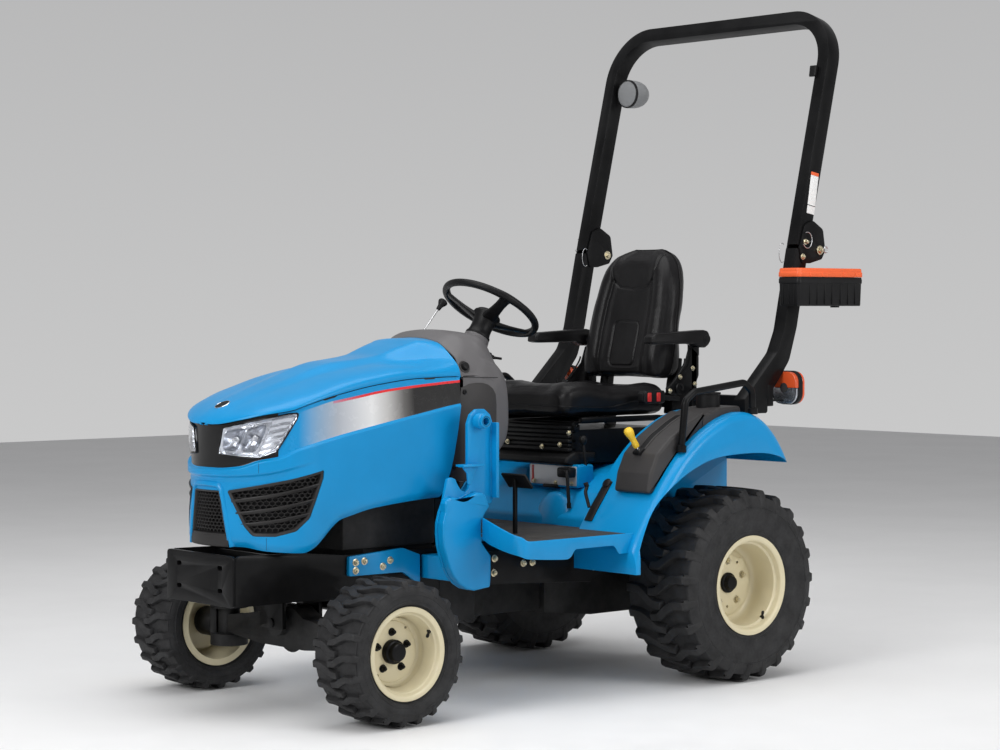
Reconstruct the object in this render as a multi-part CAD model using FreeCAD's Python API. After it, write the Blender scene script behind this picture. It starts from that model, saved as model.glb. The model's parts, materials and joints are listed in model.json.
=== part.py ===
import FreeCAD, Part
import os, math

# Compact (sub-compact class) tractor with foldable roll-over frame.
# Millimetres.  Front of the machine is -Y, its left side is +X, up is +Z.
# Working coordinates have Y = 0 half way between the axles; everything is moved
# along Y by Y_SHIFT at the end so that the origin lies on the ground under the
# middle of the overall length.

# ---------------------------------------------------------------- dimensions
Y_SHIFT = -122.0

WHEELBASE = 1442.0
YF = -WHEELBASE / 2          # front axle
YR = WHEELBASE / 2           # rear axle

FT_R = 224.0                 # front tyre 18 x 8.5 - 10
FT_W = 216.0
FT_X = 497.0                 # wheel centre off the middle plane
FR_BEAD = 127.0
RT_R = 329.0                 # rear tyre 26 x 12 - 12
RT_W = 305.0
RT_X = 518.0
RR_BEAD = 152.4

KP_X = 345.0                 # king pin off the middle plane
ARM_L = 130.0                # steering arm
HUB_ZF = FT_R
HUB_ZR = RT_R

FRAME_X = 178.0              # outside of the side rails
FRAME_T = 10.0

HOOD_W = 268.0               # half width of the hood
HOOD_T = 3.0
NOSE_D = 258.0                # nose: half ellipse in plan
HOOD_REAR = -222.0
HINGE_Y, HINGE_Z = -238.0, 1148.0

COWL_W = 240.0

PLATE_T = 3.0
FENDER_IN, FENDER_OUT = 340.0, 640.0

ROPS_X = 540.0               # post centre
TUBE_X, TUBE_Y = 50.0, 60.0
ROPS_RAKE = 13.5             # degrees, leaning back
ROPS_PY, ROPS_PZ = 1168.0, 1472.0

BOX_X0, BOX_X1 = 571.0, 670.0
BOX_Y0, BOX_Y1 = 950.0, 1292.0
BOX_Z0, BOX_ZS, BOX_Z1 = 1275.0, 1376.0, 1407.0
BOX_T = 3.0

BOSS_R = 12.75               # loader pivot bore
EYE_R = 11.2                 # lower link eye, category 1
TOP_R = 9.65                 # top link pin hole, category 1
PTO_R = 17.45                # 1 3/8 in shaft

V = FreeCAD.Vector
NODES = {}


def put(name, *shapes):
    s = shapes[0] if len(shapes) == 1 else Part.makeCompound(list(shapes))
    NODES[name] = s


def fuse(*s):
    r = s[0]
    if len(s) > 1:
        r = s[0].multiFuse(list(s[1:]))
    return r.removeSplitter()


def box(x0, x1, y0, y1, z0, z1):
    return Part.makeBox(x1 - x0, y1 - y0, z1 - z0, V(x0, y0, z0))


def cyl(p, d, r, h):
    return Part.makeCylinder(r, h, V(*p), V(*d))


def tube(p, d, r, ri, h):
    return cyl(p, d, r, h).cut(cyl(p, d, ri, h))


def mir(s):
    return s.mirror(V(0, 0, 0), V(1, 0, 0))


def wire_round(pts, radii):
    """closed wire of straight runs with an arc at each vertex"""
    n = len(pts)
    if not isinstance(radii, (list, tuple)):
        radii = [radii] * n
    edges = []
    ends = []
    for i in range(n):
        p, a, b = pts[i], pts[i - 1], pts[(i + 1) % n]
        r = radii[i]
        u = a.sub(p)
        w = b.sub(p)
        lu, lw = u.Length, w.Length
        u.normalize()
        w.normalize()
        ang = u.getAngle(w)
        if r <= 0 or abs(ang - math.pi) < 1e-3:
            ends.append((p, p, None))
            continue
        t = min(r / math.tan(ang / 2), 0.48 * lu, 0.48 * lw)
        rr = t * math.tan(ang / 2)
        s, e = p + u * t, p + w * t
        bis = u + w
        bis.normalize()
        c = p + bis * (rr / math.sin(ang / 2))
        m = c - bis * rr
        ends.append((s, e, m))
    for i in range(n):
        s, e, m = ends[i]
        if m is not None:
            edges.append(Part.Arc(s, m, e).toShape())
        nx = ends[(i + 1) % n][0]
        if e.distanceToPoint(nx) > 1e-6:
            edges.append(Part.makeLine(e, nx))
    return Part.Wire(edges)


def prism_yz(pts, x0, x1, r=0):
    w = wire_round([V(x0, y, z) for y, z in pts], r)
    return Part.Face(w).extrude(V(x1 - x0, 0, 0))


def prism_xz(pts, y0, y1, r=0):
    w = wire_round([V(x, y0, z) for x, z in pts], r)
    return Part.Face(w).extrude(V(0, y1 - y0, 0))


def prism_xy(pts, z0, z1, r=0):
    w = wire_round([V(x, y, z0) for x, y in pts], r)
    return Part.Face(w).extrude(V(0, 0, z1 - z0))


def rbox(x0, x1, y0, y1, z0, z1, r):
    s = box(x0, x1, y0, y1, z0, z1)
    try:
        return s.makeFillet(r, s.Edges)
    except Exception:
        return s


def revolve_x(pts, cy, cz, x_sign=1):
    """closed (x, r) profile turned about the line y = cy, z = cz"""
    ps = [V(x_sign * x, cy, cz + r) for x, r in pts]
    ps.append(ps[0])
    f = Part.Face(Part.makePolygon(ps))
    return f.revolve(V(0, cy, cz), V(1, 0, 0), 360)


def bar(points, r, bend):
    """round bar: straight runs joined by tangent arcs"""
    pts = [V(*p) for p in points]
    parts = []
    edges = []
    start = pts[0]
    for i in range(1, len(pts) - 1):
        p, a, b = pts[i], pts[i - 1], pts[i + 1]
        u = a.sub(p)
        w = b.sub(p)
        lu, lw = u.Length, w.Length
        u.normalize()
        w.normalize()
        ang = u.getAngle(w)
        t = min(bend / math.tan(ang / 2), 0.45 * lu, 0.45 * lw)
        rr = t * math.tan(ang / 2)
        s, e = p + u * t, p + w * t
        bis = u + w
        bis.normalize()
        c = p + bis * (rr / math.sin(ang / 2))
        m = c - bis * rr
        edges.append(Part.makeLine(start, s))
        edges.append(Part.Arc(s, m, e).toShape())
        start = e
    edges.append(Part.makeLine(start, pts[-1]))
    path = Part.Wire(edges)
    d = pts[1].sub(pts[0])
    prof = Part.Wire([Part.Circle(pts[0], d, r).toShape()])
    return path.makePipeShell([prof], True, False)


# ------------------------------------------------------------------- wheels
def tyre(xc, w, R, bead, cy, cz, sgn, flat, t, seat):
    """seat: half distance between the rim flanges"""
    h = w / 2
    fb = bead + 1.3
    fs = seat - 2.6
    o = [(-fs, fb), (-fs, bead + 20), (-h * 0.985, bead + (R - bead) * 0.34), (-h, bead + (R - bead) * 0.55),
         (-h * 0.96, R - flat * 1.6), (-h * 0.86, R - flat * 0.5), (-h * 0.70, R),
         (h * 0.70, R), (h * 0.86, R - flat * 0.5), (h * 0.96, R - flat * 1.6),
         (h, bead + (R - bead) * 0.55), (h * 0.985, bead + (R - bead) * 0.34), (fs, bead + 20), (fs, fb),
         (fs - t - 4, fb), (h - t, bead + (R - bead) * 0.45), (h * 0.82 - t * 0.4, R - flat - t),
         (-h * 0.82 + t * 0.4, R - flat - t), (-h + t, bead + (R - bead) * 0.45), (-fs + t + 4, fb)]
    return revolve_x([(xc + x, r) for x, r in o], cy, cz, sgn)


def rim(x_in, x_out, bead, x_disc, hub_r, cy, cz, sgn, holes, pcd, hr, td=6.0):
    t = 4.0
    fl = bead + 17
    pr = [(x_in, fl), (x_in, bead - t), (x_disc - 34, bead - t - 10), (x_disc - 22, bead - 16 - t),
          (x_disc - 10, bead - 40), (x_disc - td, bead - 52), (x_disc - td, hub_r), (x_disc, hub_r),
          (x_disc, bead - 50), (x_disc - 4, bead - 36), (x_disc - 14, bead - 15),
          (x_disc - 4, bead - 13), (x_out - 42, bead - 12), (x_out - 30, bead - t - 1), (x_out, bead - t),
          (x_out, fl), (x_out - t, fl), (x_out - t - 2, bead + 1), (x_in + t + 2, bead + 1), (x_in + t, fl)]
    s = revolve_x(pr, cy, cz, sgn)
    cuts = []
    for i in range(holes):
        a = 2 * math.pi * i / holes + math.pi / 2
        p = V(sgn * (x_disc - 30), cy + pcd / 2 * math.cos(a), cz + pcd / 2 * math.sin(a))
        cuts.append(Part.makeCylinder(hr, 60, p, V(sgn, 0, 0)))
    for c in cuts:
        s = s.cut(c)
    return s


FDISC = 512.0
RDISC = 545.0
for side, sg in (("left", 1), ("right", -1)):
    put("front_tyre_" + side, tyre(FT_X, FT_W, FT_R, FR_BEAD, YF, HUB_ZF, sg, 12, 10, 91))
    fr = fuse(rim(402, 592, FR_BEAD, FDISC, 28, YF, HUB_ZF, sg, 5, 120, 6.0),
              cyl((sg * (FDISC - 20), YF, HUB_ZF), (sg, 0, 0), 76, 14.2),
              cyl((sg * (FDISC - 20), YF, HUB_ZF), (sg, 0, 0), 40, 52),
              cyl((sg * (FDISC + 32), YF, HUB_ZF), (sg, 0, 0), 30, 7),
              *[cyl((sg * (FDISC - 12), YF + 60 * math.cos(2 * math.pi * i / 5 + math.pi / 2),
                     HUB_ZF + 60 * math.sin(2 * math.pi * i / 5 + math.pi / 2)), (sg, 0, 0), 9, 30)
                for i in range(5)])
    put("front_rim_" + side, fr)
    put("rear_tyre_" + side, tyre(RT_X, RT_W, RT_R, RR_BEAD, YR, HUB_ZR, sg, 16, 13, 141))
    rr = fuse(rim(373, 663, RR_BEAD, RDISC, 36, YR, HUB_ZR, sg, 5, 150, 7.0),
              cyl((sg * (RDISC - 22), YR, HUB_ZR), (sg, 0, 0), 94, 16.2),
              cyl((sg * (RDISC - 22), YR, HUB_ZR), (sg, 0, 0), 38, 52),
              *[cyl((sg * (RDISC - 14), YR + 75 * math.cos(2 * math.pi * i / 5 + math.pi / 2),
                     HUB_ZR + 75 * math.sin(2 * math.pi * i / 5 + math.pi / 2)), (sg, 0, 0), 10, 34)
                for i in range(5)])
    put("rear_rim_" + side, rr)

# ------------------------------------------------------------- front chassis
rail_pts = [(-1062, 353), (-1062, 510), (-820, 505), (-640, 486), (-250, 486), (-250, 345), (-560, 345), (-640, 353)]
rail = prism_yz(rail_pts, FRAME_X - FRAME_T, FRAME_X, [0, 20, 0, 0, 8, 8, 0, 0])
cross1 = box(-FRAME_X + FRAME_T, FRAME_X - FRAME_T, -900, -890, 360, 500)
cross2 = box(-FRAME_X + FRAME_T, FRAME_X - FRAME_T, -1062, -1052, 360, 500)
put("frame_rails", fuse(rail, mir(rail), cross1, cross2))

bump = prism_xz([(-178, 353), (178, 353), (178, 510), (-178, 510)], -1074, -1062, 12)
SLOT_X, SLOT_Z0, SLOT_Z1, SLOT_R, SLOT_L = 111.0, 400.0, 470.0, 7.0, 26.0
for sx in (-1, 1):
    for z in (SLOT_Z0, SLOT_Z1):
        c = sx * SLOT_X
        sl = fuse(cyl((c - (SLOT_L / 2 - SLOT_R), -1090, z), (0, 1, 0), SLOT_R, 60),
                  cyl((c + (SLOT_L / 2 - SLOT_R), -1090, z), (0, 1, 0), SLOT_R, 60),
                  box(c - (SLOT_L / 2 - SLOT_R), c + (SLOT_L / 2 - SLOT_R), -1090, -1030, z - SLOT_R, z + SLOT_R))
        bump = bump.cut(sl)
        NODES["frame_rails"] = NODES["frame_rails"].cut(sl)
put("front_bumper", bump)

# saddle that carries the front axle under the rails
saddle = fuse(box(-168, 168, -800, -642, 345, 357),
              prism_xz([(-60, 345), (-60, 250), (60, 250), (60, 345)], -800, -786, 6),
              prism_xz([(-60, 345), (-60, 250), (60, 250), (60, 345)], -656, -642, 6))
beam = fuse(
    prism_xz([(-300, 205), (-120, 188), (120, 188), (300, 205), (300, 262), (110, 290), (60, 318), (-60, 318),
              (-110, 290), (-300, 262)], YF - 38, YF + 38, 12),
    cyl((0, -785, 268), (0, 1, 0), 44, 128),
    cyl((0, YF, 245), (0, 1, 0), 78, 1).translate(V(0, -0.5, 0)),
    cyl((KP_X, YF, 196), (0, 0, 1), 36, 84), cyl((-KP_X, YF, 196), (0, 0, 1), 36, 84),
    box(-315, -270, YF - 30, YF + 30, 205, 262), box(270, 315, YF - 30, YF + 30, 205, 262))
pivot = cyl((0, -806, 268), (0, 1, 0), 15.9, 170)
beam = beam.cut(cyl((0, -830, 268), (0, 1, 0), 16.0, 230))
put("front_axle", beam)
NODES["frame_rails"] = fuse(NODES["frame_rails"], saddle, pivot)

for side, sg in (("left", 1), ("right", -1)):
    kx = sg * KP_X
    ring = tube((kx, YF, 190), (0, 0, 1), 62, 42, 100)
    a = math.radians(52)
    wedge = prism_xy([(kx, YF), (kx + sg * 120 * math.cos(a), YF - 120 * math.sin(a)),
                      (kx + sg * 160, YF), (kx + sg * 120 * math.cos(a), YF + 120 * math.sin(a))], 190, 290)
    web = ring.common(wedge)
    k = fuse(web,
             cyl((kx, YF, 280.3), (0, 0, 1), 62, 16),
             cyl((kx, YF, 158), (0, 0, 1), 62, 37.7),
             cyl((kx + sg * 46, YF, HUB_ZF), (sg, 0, 0), 48, FDISC - 20.5 - KP_X - 46 - 12),
             cyl((kx + sg * 46, YF, HUB_ZF), (sg, 0, 0), 34, FDISC - 20.5 - KP_X - 46),
             prism_xy([(kx - sg * 26, YF), (kx + sg * 26, YF), (kx + sg * 12, YF + ARM_L + 10), (kx - sg * 12, YF + ARM_L + 10)],
                      282, 296, [0, 0, 10, 10]))
    k = k.cut(cyl((kx, YF + ARM_L, 270), (0, 0, 1), 8, 40))
    put("knuckle_" + side, k)

# steering cylinder on the axle, through-rod with an eye over each steering arm
cyl_y = YF + ARM_L
put("steering_cylinder",
    fuse(tube((-110, cyl_y, 318), (1, 0, 0), 24, 12.1, 220),
         box(-95, -75, YF + 36, cyl_y - 18, 232, 270), box(75, 95, YF + 36, cyl_y - 18, 232, 270),
         box(-95, -75, cyl_y - 26, cyl_y - 8, 232, 306), box(75, 95, cyl_y - 26, cyl_y - 8, 232, 306)).cut(beam))
rodp = fuse(cyl((-KP_X + 14, cyl_y, 318), (1, 0, 0), 12.05, 2 * KP_X - 28),
            cyl((-KP_X, cyl_y, 306), (0, 0, 1), 17, 24), cyl((KP_X, cyl_y, 306), (0, 0, 1), 17, 24))
put("steering_rod", rodp)

# ---------------------------------------------------------------- power train
eng = fuse(box(-150, 150, -548, -262, 300, 500), box(-175, 165, -640, -262, 500, 800),
           box(-120, 110, -600, -300, 800, 850))
put("engine", eng)
put("radiator", fuse(box(-190, 190, -862, -800, 525, 930), box(-150, 150, -800, -790, 560, 900)))
mid = fuse(box(-105, 105, -262, 260, 235, 452),
           prism_yz([(-262, 235), (-262, 486), (-140, 486), (-90, 452), (-90, 235)], -167, 167, 0))
put("mid_housing", mid)
trans = fuse(prism_yz([(260, 225), (260, 470), (560, 520), (860, 520), (880, 500), (880, 235), (820, 200), (480, 200)],
                      -125, 125, [0, 0, 20, 20, 20, 20, 20, 20]),
             cyl((125, YR, HUB_ZR), (1, 0, 0), 58, 170), cyl((-295, YR, HUB_ZR), (1, 0, 0), 58, 170),
             cyl((295, YR, HUB_ZR), (1, 0, 0), 92, 62), cyl((-357, YR, HUB_ZR), (1, 0, 0), 92, 62),
             cyl((357, YR, HUB_ZR), (1, 0, 0), 60, 120), cyl((-477, YR, HUB_ZR), (1, 0, 0), 60, 120),
             cyl((477, YR, HUB_ZR), (1, 0, 0), 36, RDISC - 22.5 - 477), cyl((-(RDISC - 22.5), YR, HUB_ZR), (1, 0, 0), 36, RDISC - 22.5 - 477))
pto = cyl((0, 879, 330), (0, 1, 0), PTO_R, 96)
shield = prism_xz([(-75, 300), (-75, 410), (75, 410), (75, 300), (71, 300), (71, 406), (-71, 406), (-71, 300)], 880, 985, 0)
put("pto_shield", shield)

# ----------------------------------------------------------------------- hood
def prof(vals, y):
    """linear table look-up: list of (y, value)"""
    if y <= vals[0][0]:
        return vals[0][1]
    for (a, va), (b, vb) in zip(vals, vals[1:]):
        if y <= b:
            return va + (vb - va) * (y - a) / (b - a)
    return vals[-1][1]


ZC = [(-1100, 905), (-1059, 916), (-987, 966), (-900, 1000), (-760, 1047), (-605, 1094), (-524, 1103), (-433, 1116), (-400, 1127),
      (-362, 1141), (-316, 1156), (-280, 1168), (-222, 1170)]
ZS = [(-1100, 800), (-1000, 870), (-900, 925), (-700, 955), (-222, 975)]
HOOD_N = 2.25                # fullness of the hood's cross-section


def hood_solid(t):
    secs = []
    for y in (-1120, -1020, -900, -760, -605, -440, -362, -290, HOOD_REAR + (40 if t else 0)):
        zc = prof(ZC, y) - t
        zs = prof(ZS, y)
        w = HOOD_W - t
        pts = []
        n = 12
        for i in range(n + 1):
            a = math.pi * i / n
            c, s = math.cos(a), math.sin(a)
            x = w * (abs(c) ** (2 / HOOD_N)) * (1 if c > 0 else -1)
            pts.append(V(x, y, zs + (zc - zs) * (abs(s) ** (2 / HOOD_N))))
        pts[0] = V(w, y, zs)
        pts[-1] = V(-w, y, zs)
        cv = Part.BSplineCurve()
        cv.interpolate(pts)
        secs.append(Part.Wire([Part.makeLine(V(-w, y, 400), V(w, y, 400)), Part.makeLine(V(w, y, 400), pts[0]),
                               cv.toShape(), Part.makeLine(pts[-1], V(-w, y, 400))]))
    body = Part.makeLoft(secs, True, False)
    # plan shape: straight sides, rounded nose
    e = 0.0 if t == 0 else t
    pl = [V(-(HOOD_W + 5), 200, 300), V(-(HOOD_W + 5), -800, 300)]
    nose = []
    n = 14
    for i in range(n + 1):
        a = math.pi - math.pi * i / n
        c, s = math.cos(a), math.sin(a)
        nose.append(V((HOOD_W + 1 - e) * c, -800 - (NOSE_D - e) * s, 300))
    cv = Part.BSplineCurve()
    cv.interpolate(nose)
    w = Part.Wire([cv.toShape(), Part.makeLine(nose[-1], V(HOOD_W + 1 - e, 200, 300)),
                   Part.makeLine(V(HOOD_W + 1 - e, 200, 300), V(-(HOOD_W + 1 - e), 200, 300)),
                   Part.makeLine(V(-(HOOD_W + 1 - e), 200, 300), nose[0])])
    plan = Part.Face(w).extrude(V(0, 0, 1100))
    body = body.common(plan)
    # side view: raked nose and lip
    f = [(-1066 + t, 420), (-1064 + t, 560), (-1060 + t, 700), (-1058 + t, 860), (-1050 + t, 916 - t), (-1000, 975 + 0 * t),
         (-900, 1300), (300, 1300), (300, 420)]
    body = body.common(prism_yz(f, -400, 400, 0))
    return body


hood_out = hood_solid(0)
hood_in = hood_solid(HOOD_T)
under = prism_yz([(-1200, 530), (-1080, 536), (-894, 520), (-812, 537), (-724, 609), (-582, 640), (-336, 658),
                  (-336, 658.5), (-327, 680), (-306, 700), (-278, 760), (-264, 810), (-247, 890), (-234, 970), (-222, 1044), (-222, 300), (-1200, 300)], -400, 400, 0)
hood_shell = hood_out.cut(hood_in).cut(under)

# openings: lamps, shield-shaped centre grille, side grilles
lamp_pts = [(57, 815), (77, 900), (118, 912), (250, 950), (257, 940), (229, 823), (189, 803), (136, 807)]
shield_pts = [(-65, 703), (65, 703), (90, 567), (-90, 567)]
sidegr_pts = [(-1040, 704), (-788, 771), (-791, 742), (-844, 618), (-886, 579), (-943, 564), (-996, 566), (-1013, 597)]
lamp_c = prism_xz(lamp_pts, -1200, -840, 4)
shield_c = prism_xz(shield_pts, -1200, -980, 8)
side_c = prism_yz(sidegr_pts, 60, 400, 8)
hood = hood_shell.cut(lamp_c).cut(mir(lamp_c)).cut(shield_c).cut(side_c).cut(mir(side_c))
if len(hood.Solids) > 1:
    hood = max(hood.Solids, key=lambda q: q.Volume)
# hinge rings under the rear edge
RING_X0, RING_X1 = 60.0, 74.0
rings = [tube((x, HINGE_Y, HINGE_Z), (1, 0, 0), 10, 5.3, RING_X1 - RING_X0) for x in (RING_X0, -RING_X1)]
rings += [box(x, x + RING_X1 - RING_X0, HINGE_Y - 7, HINGE_Y + 7, HINGE_Z + 8, HINGE_Z + 16) for x in (RING_X0, -RING_X1)]
hood = fuse(hood, *rings)
put("hood", hood)

ins_out = hood_solid(0.8)
ins_in = hood_solid(16)


def insert(pts, maker, a, b):
    s = maker(pts, a, b, 8)
    return s.common(ins_out).cut(ins_in)


def shrink(pts, d):
    cx = sum(p[0] for p in pts) / len(pts)
    cz = sum(p[1] for p in pts) / len(pts)
    out = []
    for p in pts:
        l = math.hypot(p[0] - cx, p[1] - cz)
        out.append((cx + (p[0] - cx) * (1 - d / l), cz + (p[1] - cz) * (1 - d / l)))
    return out


lampL = insert(shrink(lamp_pts, 1.0), prism_xz, -1200, -840)
put("headlights", lampL, mir(lampL))
sg_ = insert(shrink(sidegr_pts, 1.0), prism_yz, 60, 400)
put("grilles", insert(shrink(shield_pts, 1.0), prism_xz, -1200, -980), sg_, mir(sg_))
# ------------------------------------------------------------------ dash cowl
def inner(pts, d):
    """closed polygon moved inwards by d"""
    n = len(pts)
    ar = sum(pts[i - 1][0] * pts[i][1] - pts[i][0] * pts[i - 1][1] for i in range(n))
    sg = 1 if ar > 0 else -1
    out = []
    for i in range(n):
        a, p, b = pts[i - 1], pts[i], pts[(i + 1) % n]
        la, lb = math.hypot(p[0] - a[0], p[1] - a[1]), math.hypot(b[0] - p[0], b[1] - p[1])
        na = (-(p[1] - a[1]) / la * sg, (p[0] - a[0]) / la * sg)
        nb = (-(b[1] - p[1]) / lb * sg, (b[0] - p[0]) / lb * sg)
        k = (na[0] + nb[0], na[1] + nb[1])
        q = k[0] * na[0] + k[1] * na[1]
        out.append((p[0] + k[0] * d / q, p[1] + k[1] * d / q))
    return out


COWL_SIDE = [(-208, 700), (-208, 1160), (-196, 1183), (-165, 1196), (-127, 1196), (-74, 1191), (-13, 1170), (14, 1160), (70, 1117), (104, 1082),
             (122, 1040), (128, 990), (128, 870), (112, 826), (74, 783), (36, 752), (-20, 722), (-60, 700)]
COWL_FRONT = [(-240, 690), (240, 690), (240, 1040), (228, 1074), (196, 1123), (160, 1156), (110, 1180), (60, 1191), (0, 1197), (-60, 1191),
              (-110, 1180), (-160, 1156), (-196, 1123), (-228, 1074), (-240, 1040)]
COWL_PLAN = [(-240, -208), (240, -208), (240, -40), (222, 8), (100, 114), (50, 128), (-50, 128), (-100, 114), (-222, 8), (-240, -40)]


def cowl(t):
    s = prism_yz(inner(COWL_SIDE, t) if t else COWL_SIDE, -300, 300, 0)
    s = s.common(prism_xz(inner(COWL_FRONT, t) if t else COWL_FRONT, -400, 200, 0))
    return s.common(prism_xy(inner(COWL_PLAN, t) if t else COWL_PLAN, 600, 1300, 0))


cw = cowl(0).cut(cowl(3)).cut(box(-COWL_W + 3, COWL_W - 3, -400, -180, 650, 1130)).cut(box(-300, 300, -400, 200, 650, 726))
put("dash_cowl", cw)
pan = prism_yz([(-200, 735), (-200, 1016), (-156, 1025), (-104, 1019), (-73, 1001), (-58, 978), (-62, 932), (-65, 833), (-88, 762), (-110, 735)], COWL_W, COWL_W + 4, [4, 8, 8, 12, 12, 12, 8, 12, 12, 8])
put("dash_panels", pan, mir(pan))
# firewall that carries the cowl and the hood hinge
fw = fuse(box(-225, 225, -208, -204, 640, 1085), box(-100, 100, -208, -120, 486, 640))
arm_pts = [(-204, 1030), (-204, 1070), (-222, 1084), (-230, 1104), (-230, 1140), (-246, 1140), (-246, 1098), (-236, 1072), (-214, 1046), (-214, 1030)]
hp = fuse(cyl((-80, HINGE_Y, HINGE_Z), (1, 0, 0), 5, 160), prism_yz(arm_pts, 44, 54, 0), prism_yz(arm_pts, -54, -44, 0),
          cyl((44, HINGE_Y, HINGE_Z), (1, 0, 0), 9.5, 10), cyl((-54, HINGE_Y, HINGE_Z), (1, 0, 0), 9.5, 10))
put("firewall", fuse(fw, hp))

# steering column
TILT = math.radians(32)
ax = V(0, math.sin(TILT), math.cos(TILT))         # wheel axis, leaning to the driver
WC = V(0, 126, 1268)
p0 = WC - ax * 180
p1 = WC - ax * 34
put("steering_column",
    fuse(cyl(tuple(p0), tuple(ax), 26, 100), cyl(tuple(p0 - ax * 90), tuple(ax), 44, 150),
         cyl(tuple(p0 + ax * 100), tuple(ax), 14, 46.0)).cut(cowl(0)))
ring = Part.makeTorus(179 - 14, 14, WC, ax)
hub = fuse(cyl(tuple(WC - ax * 33.5), tuple(ax), 30, 36), cyl(tuple(WC + ax * 2), tuple(ax), 24, 10))
spk = []
for a in (90, 210, 330):
    d = V(math.cos(math.radians(a)), 0, 0) + V(0, math.cos(TILT), -math.sin(TILT)) * math.sin(math.radians(a))
    sidev = ax.cross(d)
    q = WC - ax * 20
    e = WC + d * 160
    pth = e - q
    L = pth.Length
    spk.append(Part.makeCylinder(9, L, q, pth))
put("steering_wheel", fuse(ring, hub, *spk))

# ------------------------------------------------------------ loader brackets
BX0, BX1 = 340.0, 352.0
BOSS_Y, BOSS_Z = -233.0, 905.0
low_back = [(-190, 638), (-210, 627), (-229, 611), (-245, 587), (-247, 552), (-245, 518), (-229, 497), (-206, 471), (-206, 411), (-210, 370), (-275, 363),
            (-307, 370), (-336, 387), (-361, 413), (-380, 444), (-393, 479), (-403, 513), (-407, 552), (-406, 586), (-396, 620)]
br_pts = [(-169, 656), (-171, 893), (-184, 925), (-208, 943), (-243, 943), (-267, 926), (-279, 897), (-279, 762), (-268, 738), (-269, 710), (-276, 686), (-289, 678),
          (-309, 688), (-321, 704), (-331, 722), (-347, 728), (-363, 724), (-382, 650)] + low_back[::-1] + [(-179, 638)]
box_pts = [(-397, 648), (-391, 660), (-375, 667), (-359, 666), (-343, 661), (-324, 657), (-308, 659), (-292, 667), (-276, 674), (-259, 678), (-243, 676), (-230, 668),
           (-212, 630)] + low_back[2:]
mid_y, mid_z = -325.0, 525.0
box_in = [(mid_y + (y - mid_y) * 0.9, mid_z + (z - mid_z) * 0.95) for y, z in box_pts]
plate = prism_yz(br_pts, BX0, BX1, 0)
shell = prism_yz(box_pts, BX1, BX1 + 32, 0).cut(prism_yz(box_in, BX0, BX1 + 26, 0))
plate = plate.cut(prism_yz(box_in, BX0 + 4, BX1 + 1, 0))
rib = prism_yz([(-179, 656), (-167, 656), (-167, 900), (-179, 900)], BX1, BX1 + 26, 0)
rib2 = box(BX1, BX1 + 30, -321, -233, 760, 768).common(box(0, 700, -400, -200, 0, 900))
web = prism_yz([(-321, 760), (-321, 768), (-279, 768), (-270, 745)], BX0, BX1, 0)
boss = cyl((BX0 - 14, BOSS_Y, BOSS_Z), (1, 0, 0), 26, 64)
arm = box(FRAME_X + 40, BX0, -330, -215, 392, 468)
foot = box(FRAME_X + 0.0, FRAME_X + 42, -330, -215, 392, 468)
brk = fuse(plate, shell, rib, rib2, web, boss, arm, foot).cut(cyl((BX0 - 40, BOSS_Y, BOSS_Z), (1, 0, 0), BOSS_R, 140))
put("loader_brackets", brk, mir(brk))
# blue stiffening rail bolted along the frame side in front of each bracket
lr = fuse(prism_yz([(-635, 419), (-635, 482), (-416, 496), (-345, 470), (-345, 372), (-416, 418)], FRAME_X + 0.0, FRAME_X + 14, [6, 6, 20, 6, 6, 20]))
put("loader_rails", lr, mir(lr))

# --------------------------------------------------------------- foot platform
DECK_Z = 527.0                # top of the foot plate
RIM_Z = 534.0                 # top of its folded outer edge
MAT_T = 4.0


def deck_plan(d, z0, z1):
    """outline of the foot plate, outer edges drawn in by d"""
    h = [(600 - d, 262), (600 - d, -270 + d), (500, -275 + d), (440, -265 + d), (389, -249 + d), (330, -300), (262, -300), (262, -120)]
    return prism_xy(h + [(-x, y) for x, y in h[::-1]], z0, z1, [0, 42 - d, 30, 30] + [0] * 8 + [30, 30, 42 - d, 0])


ring = deck_plan(0, 380, 700).cut(deck_plan(PLATE_T, 370, 710))
sheet = deck_plan(0, DECK_Z - PLATE_T, DECK_Z)
side_z = prism_yz([(262, 469), (160, 469), (132, 498), (-38, 497), (-51, 478), (-71, 467), (-137, 470), (-226, 476), (-226, RIM_Z), (262, RIM_Z)], -610, 610, 0)
front_h = [(384, 529), (430, 517), (490, 506), (540, 496), (580, 489), (601, 478), (601, 534), (590, 547), (550, 558), (500, 573), (440, 587), (384, 597)]
front_z = prism_xz(front_h, -290, -226, 0)
PLATFORM = fuse(sheet, ring.common(side_z), ring.common(front_z), mir(ring.common(front_z)))

mat_h = [(270, 258), (590, 258), (590, -252), (500, -264), (440, -254), (389, -238), (330, -290), (270, -290)]
matL = prism_xy(mat_h, DECK_Z, DECK_Z + MAT_T, [10, 10, 30, 20, 20, 0, 0, 10])
sup = []
for sg in (1, -1):
    a0, a1 = (322, 330) if sg > 0 else (-330, -322)
    sup.append(prism_yz([(-173, 371), (-174, 476), (354, 451), (354, 368), (286, 347), (-66, 366)], a0, a1, [14, 14, 14, 20, 20, 20]))
    b0, b1 = (106, 322) if sg > 0 else (-322, -106)
    sup.append(box(b0, b1, -30, 20, 405, 450))
put("platform_supports", sup[0].fuse(sup[1]), sup[2].fuse(sup[3]))

# --------------------------------------------------------------------- fenders
TOPL = [(196, 479), (240, 556), (303, 640), (370, 725), (443, 798), (560, 873), (640, 905), (709, 916), (790, 900), (868, 845), (937, 751)]
ARCH = [(215, 479), (252, 555), (300, 622), (380, 690), (491, 744), (560, 764), (636, 773), (750, 776), (850, 768), (920, 745)]


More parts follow.
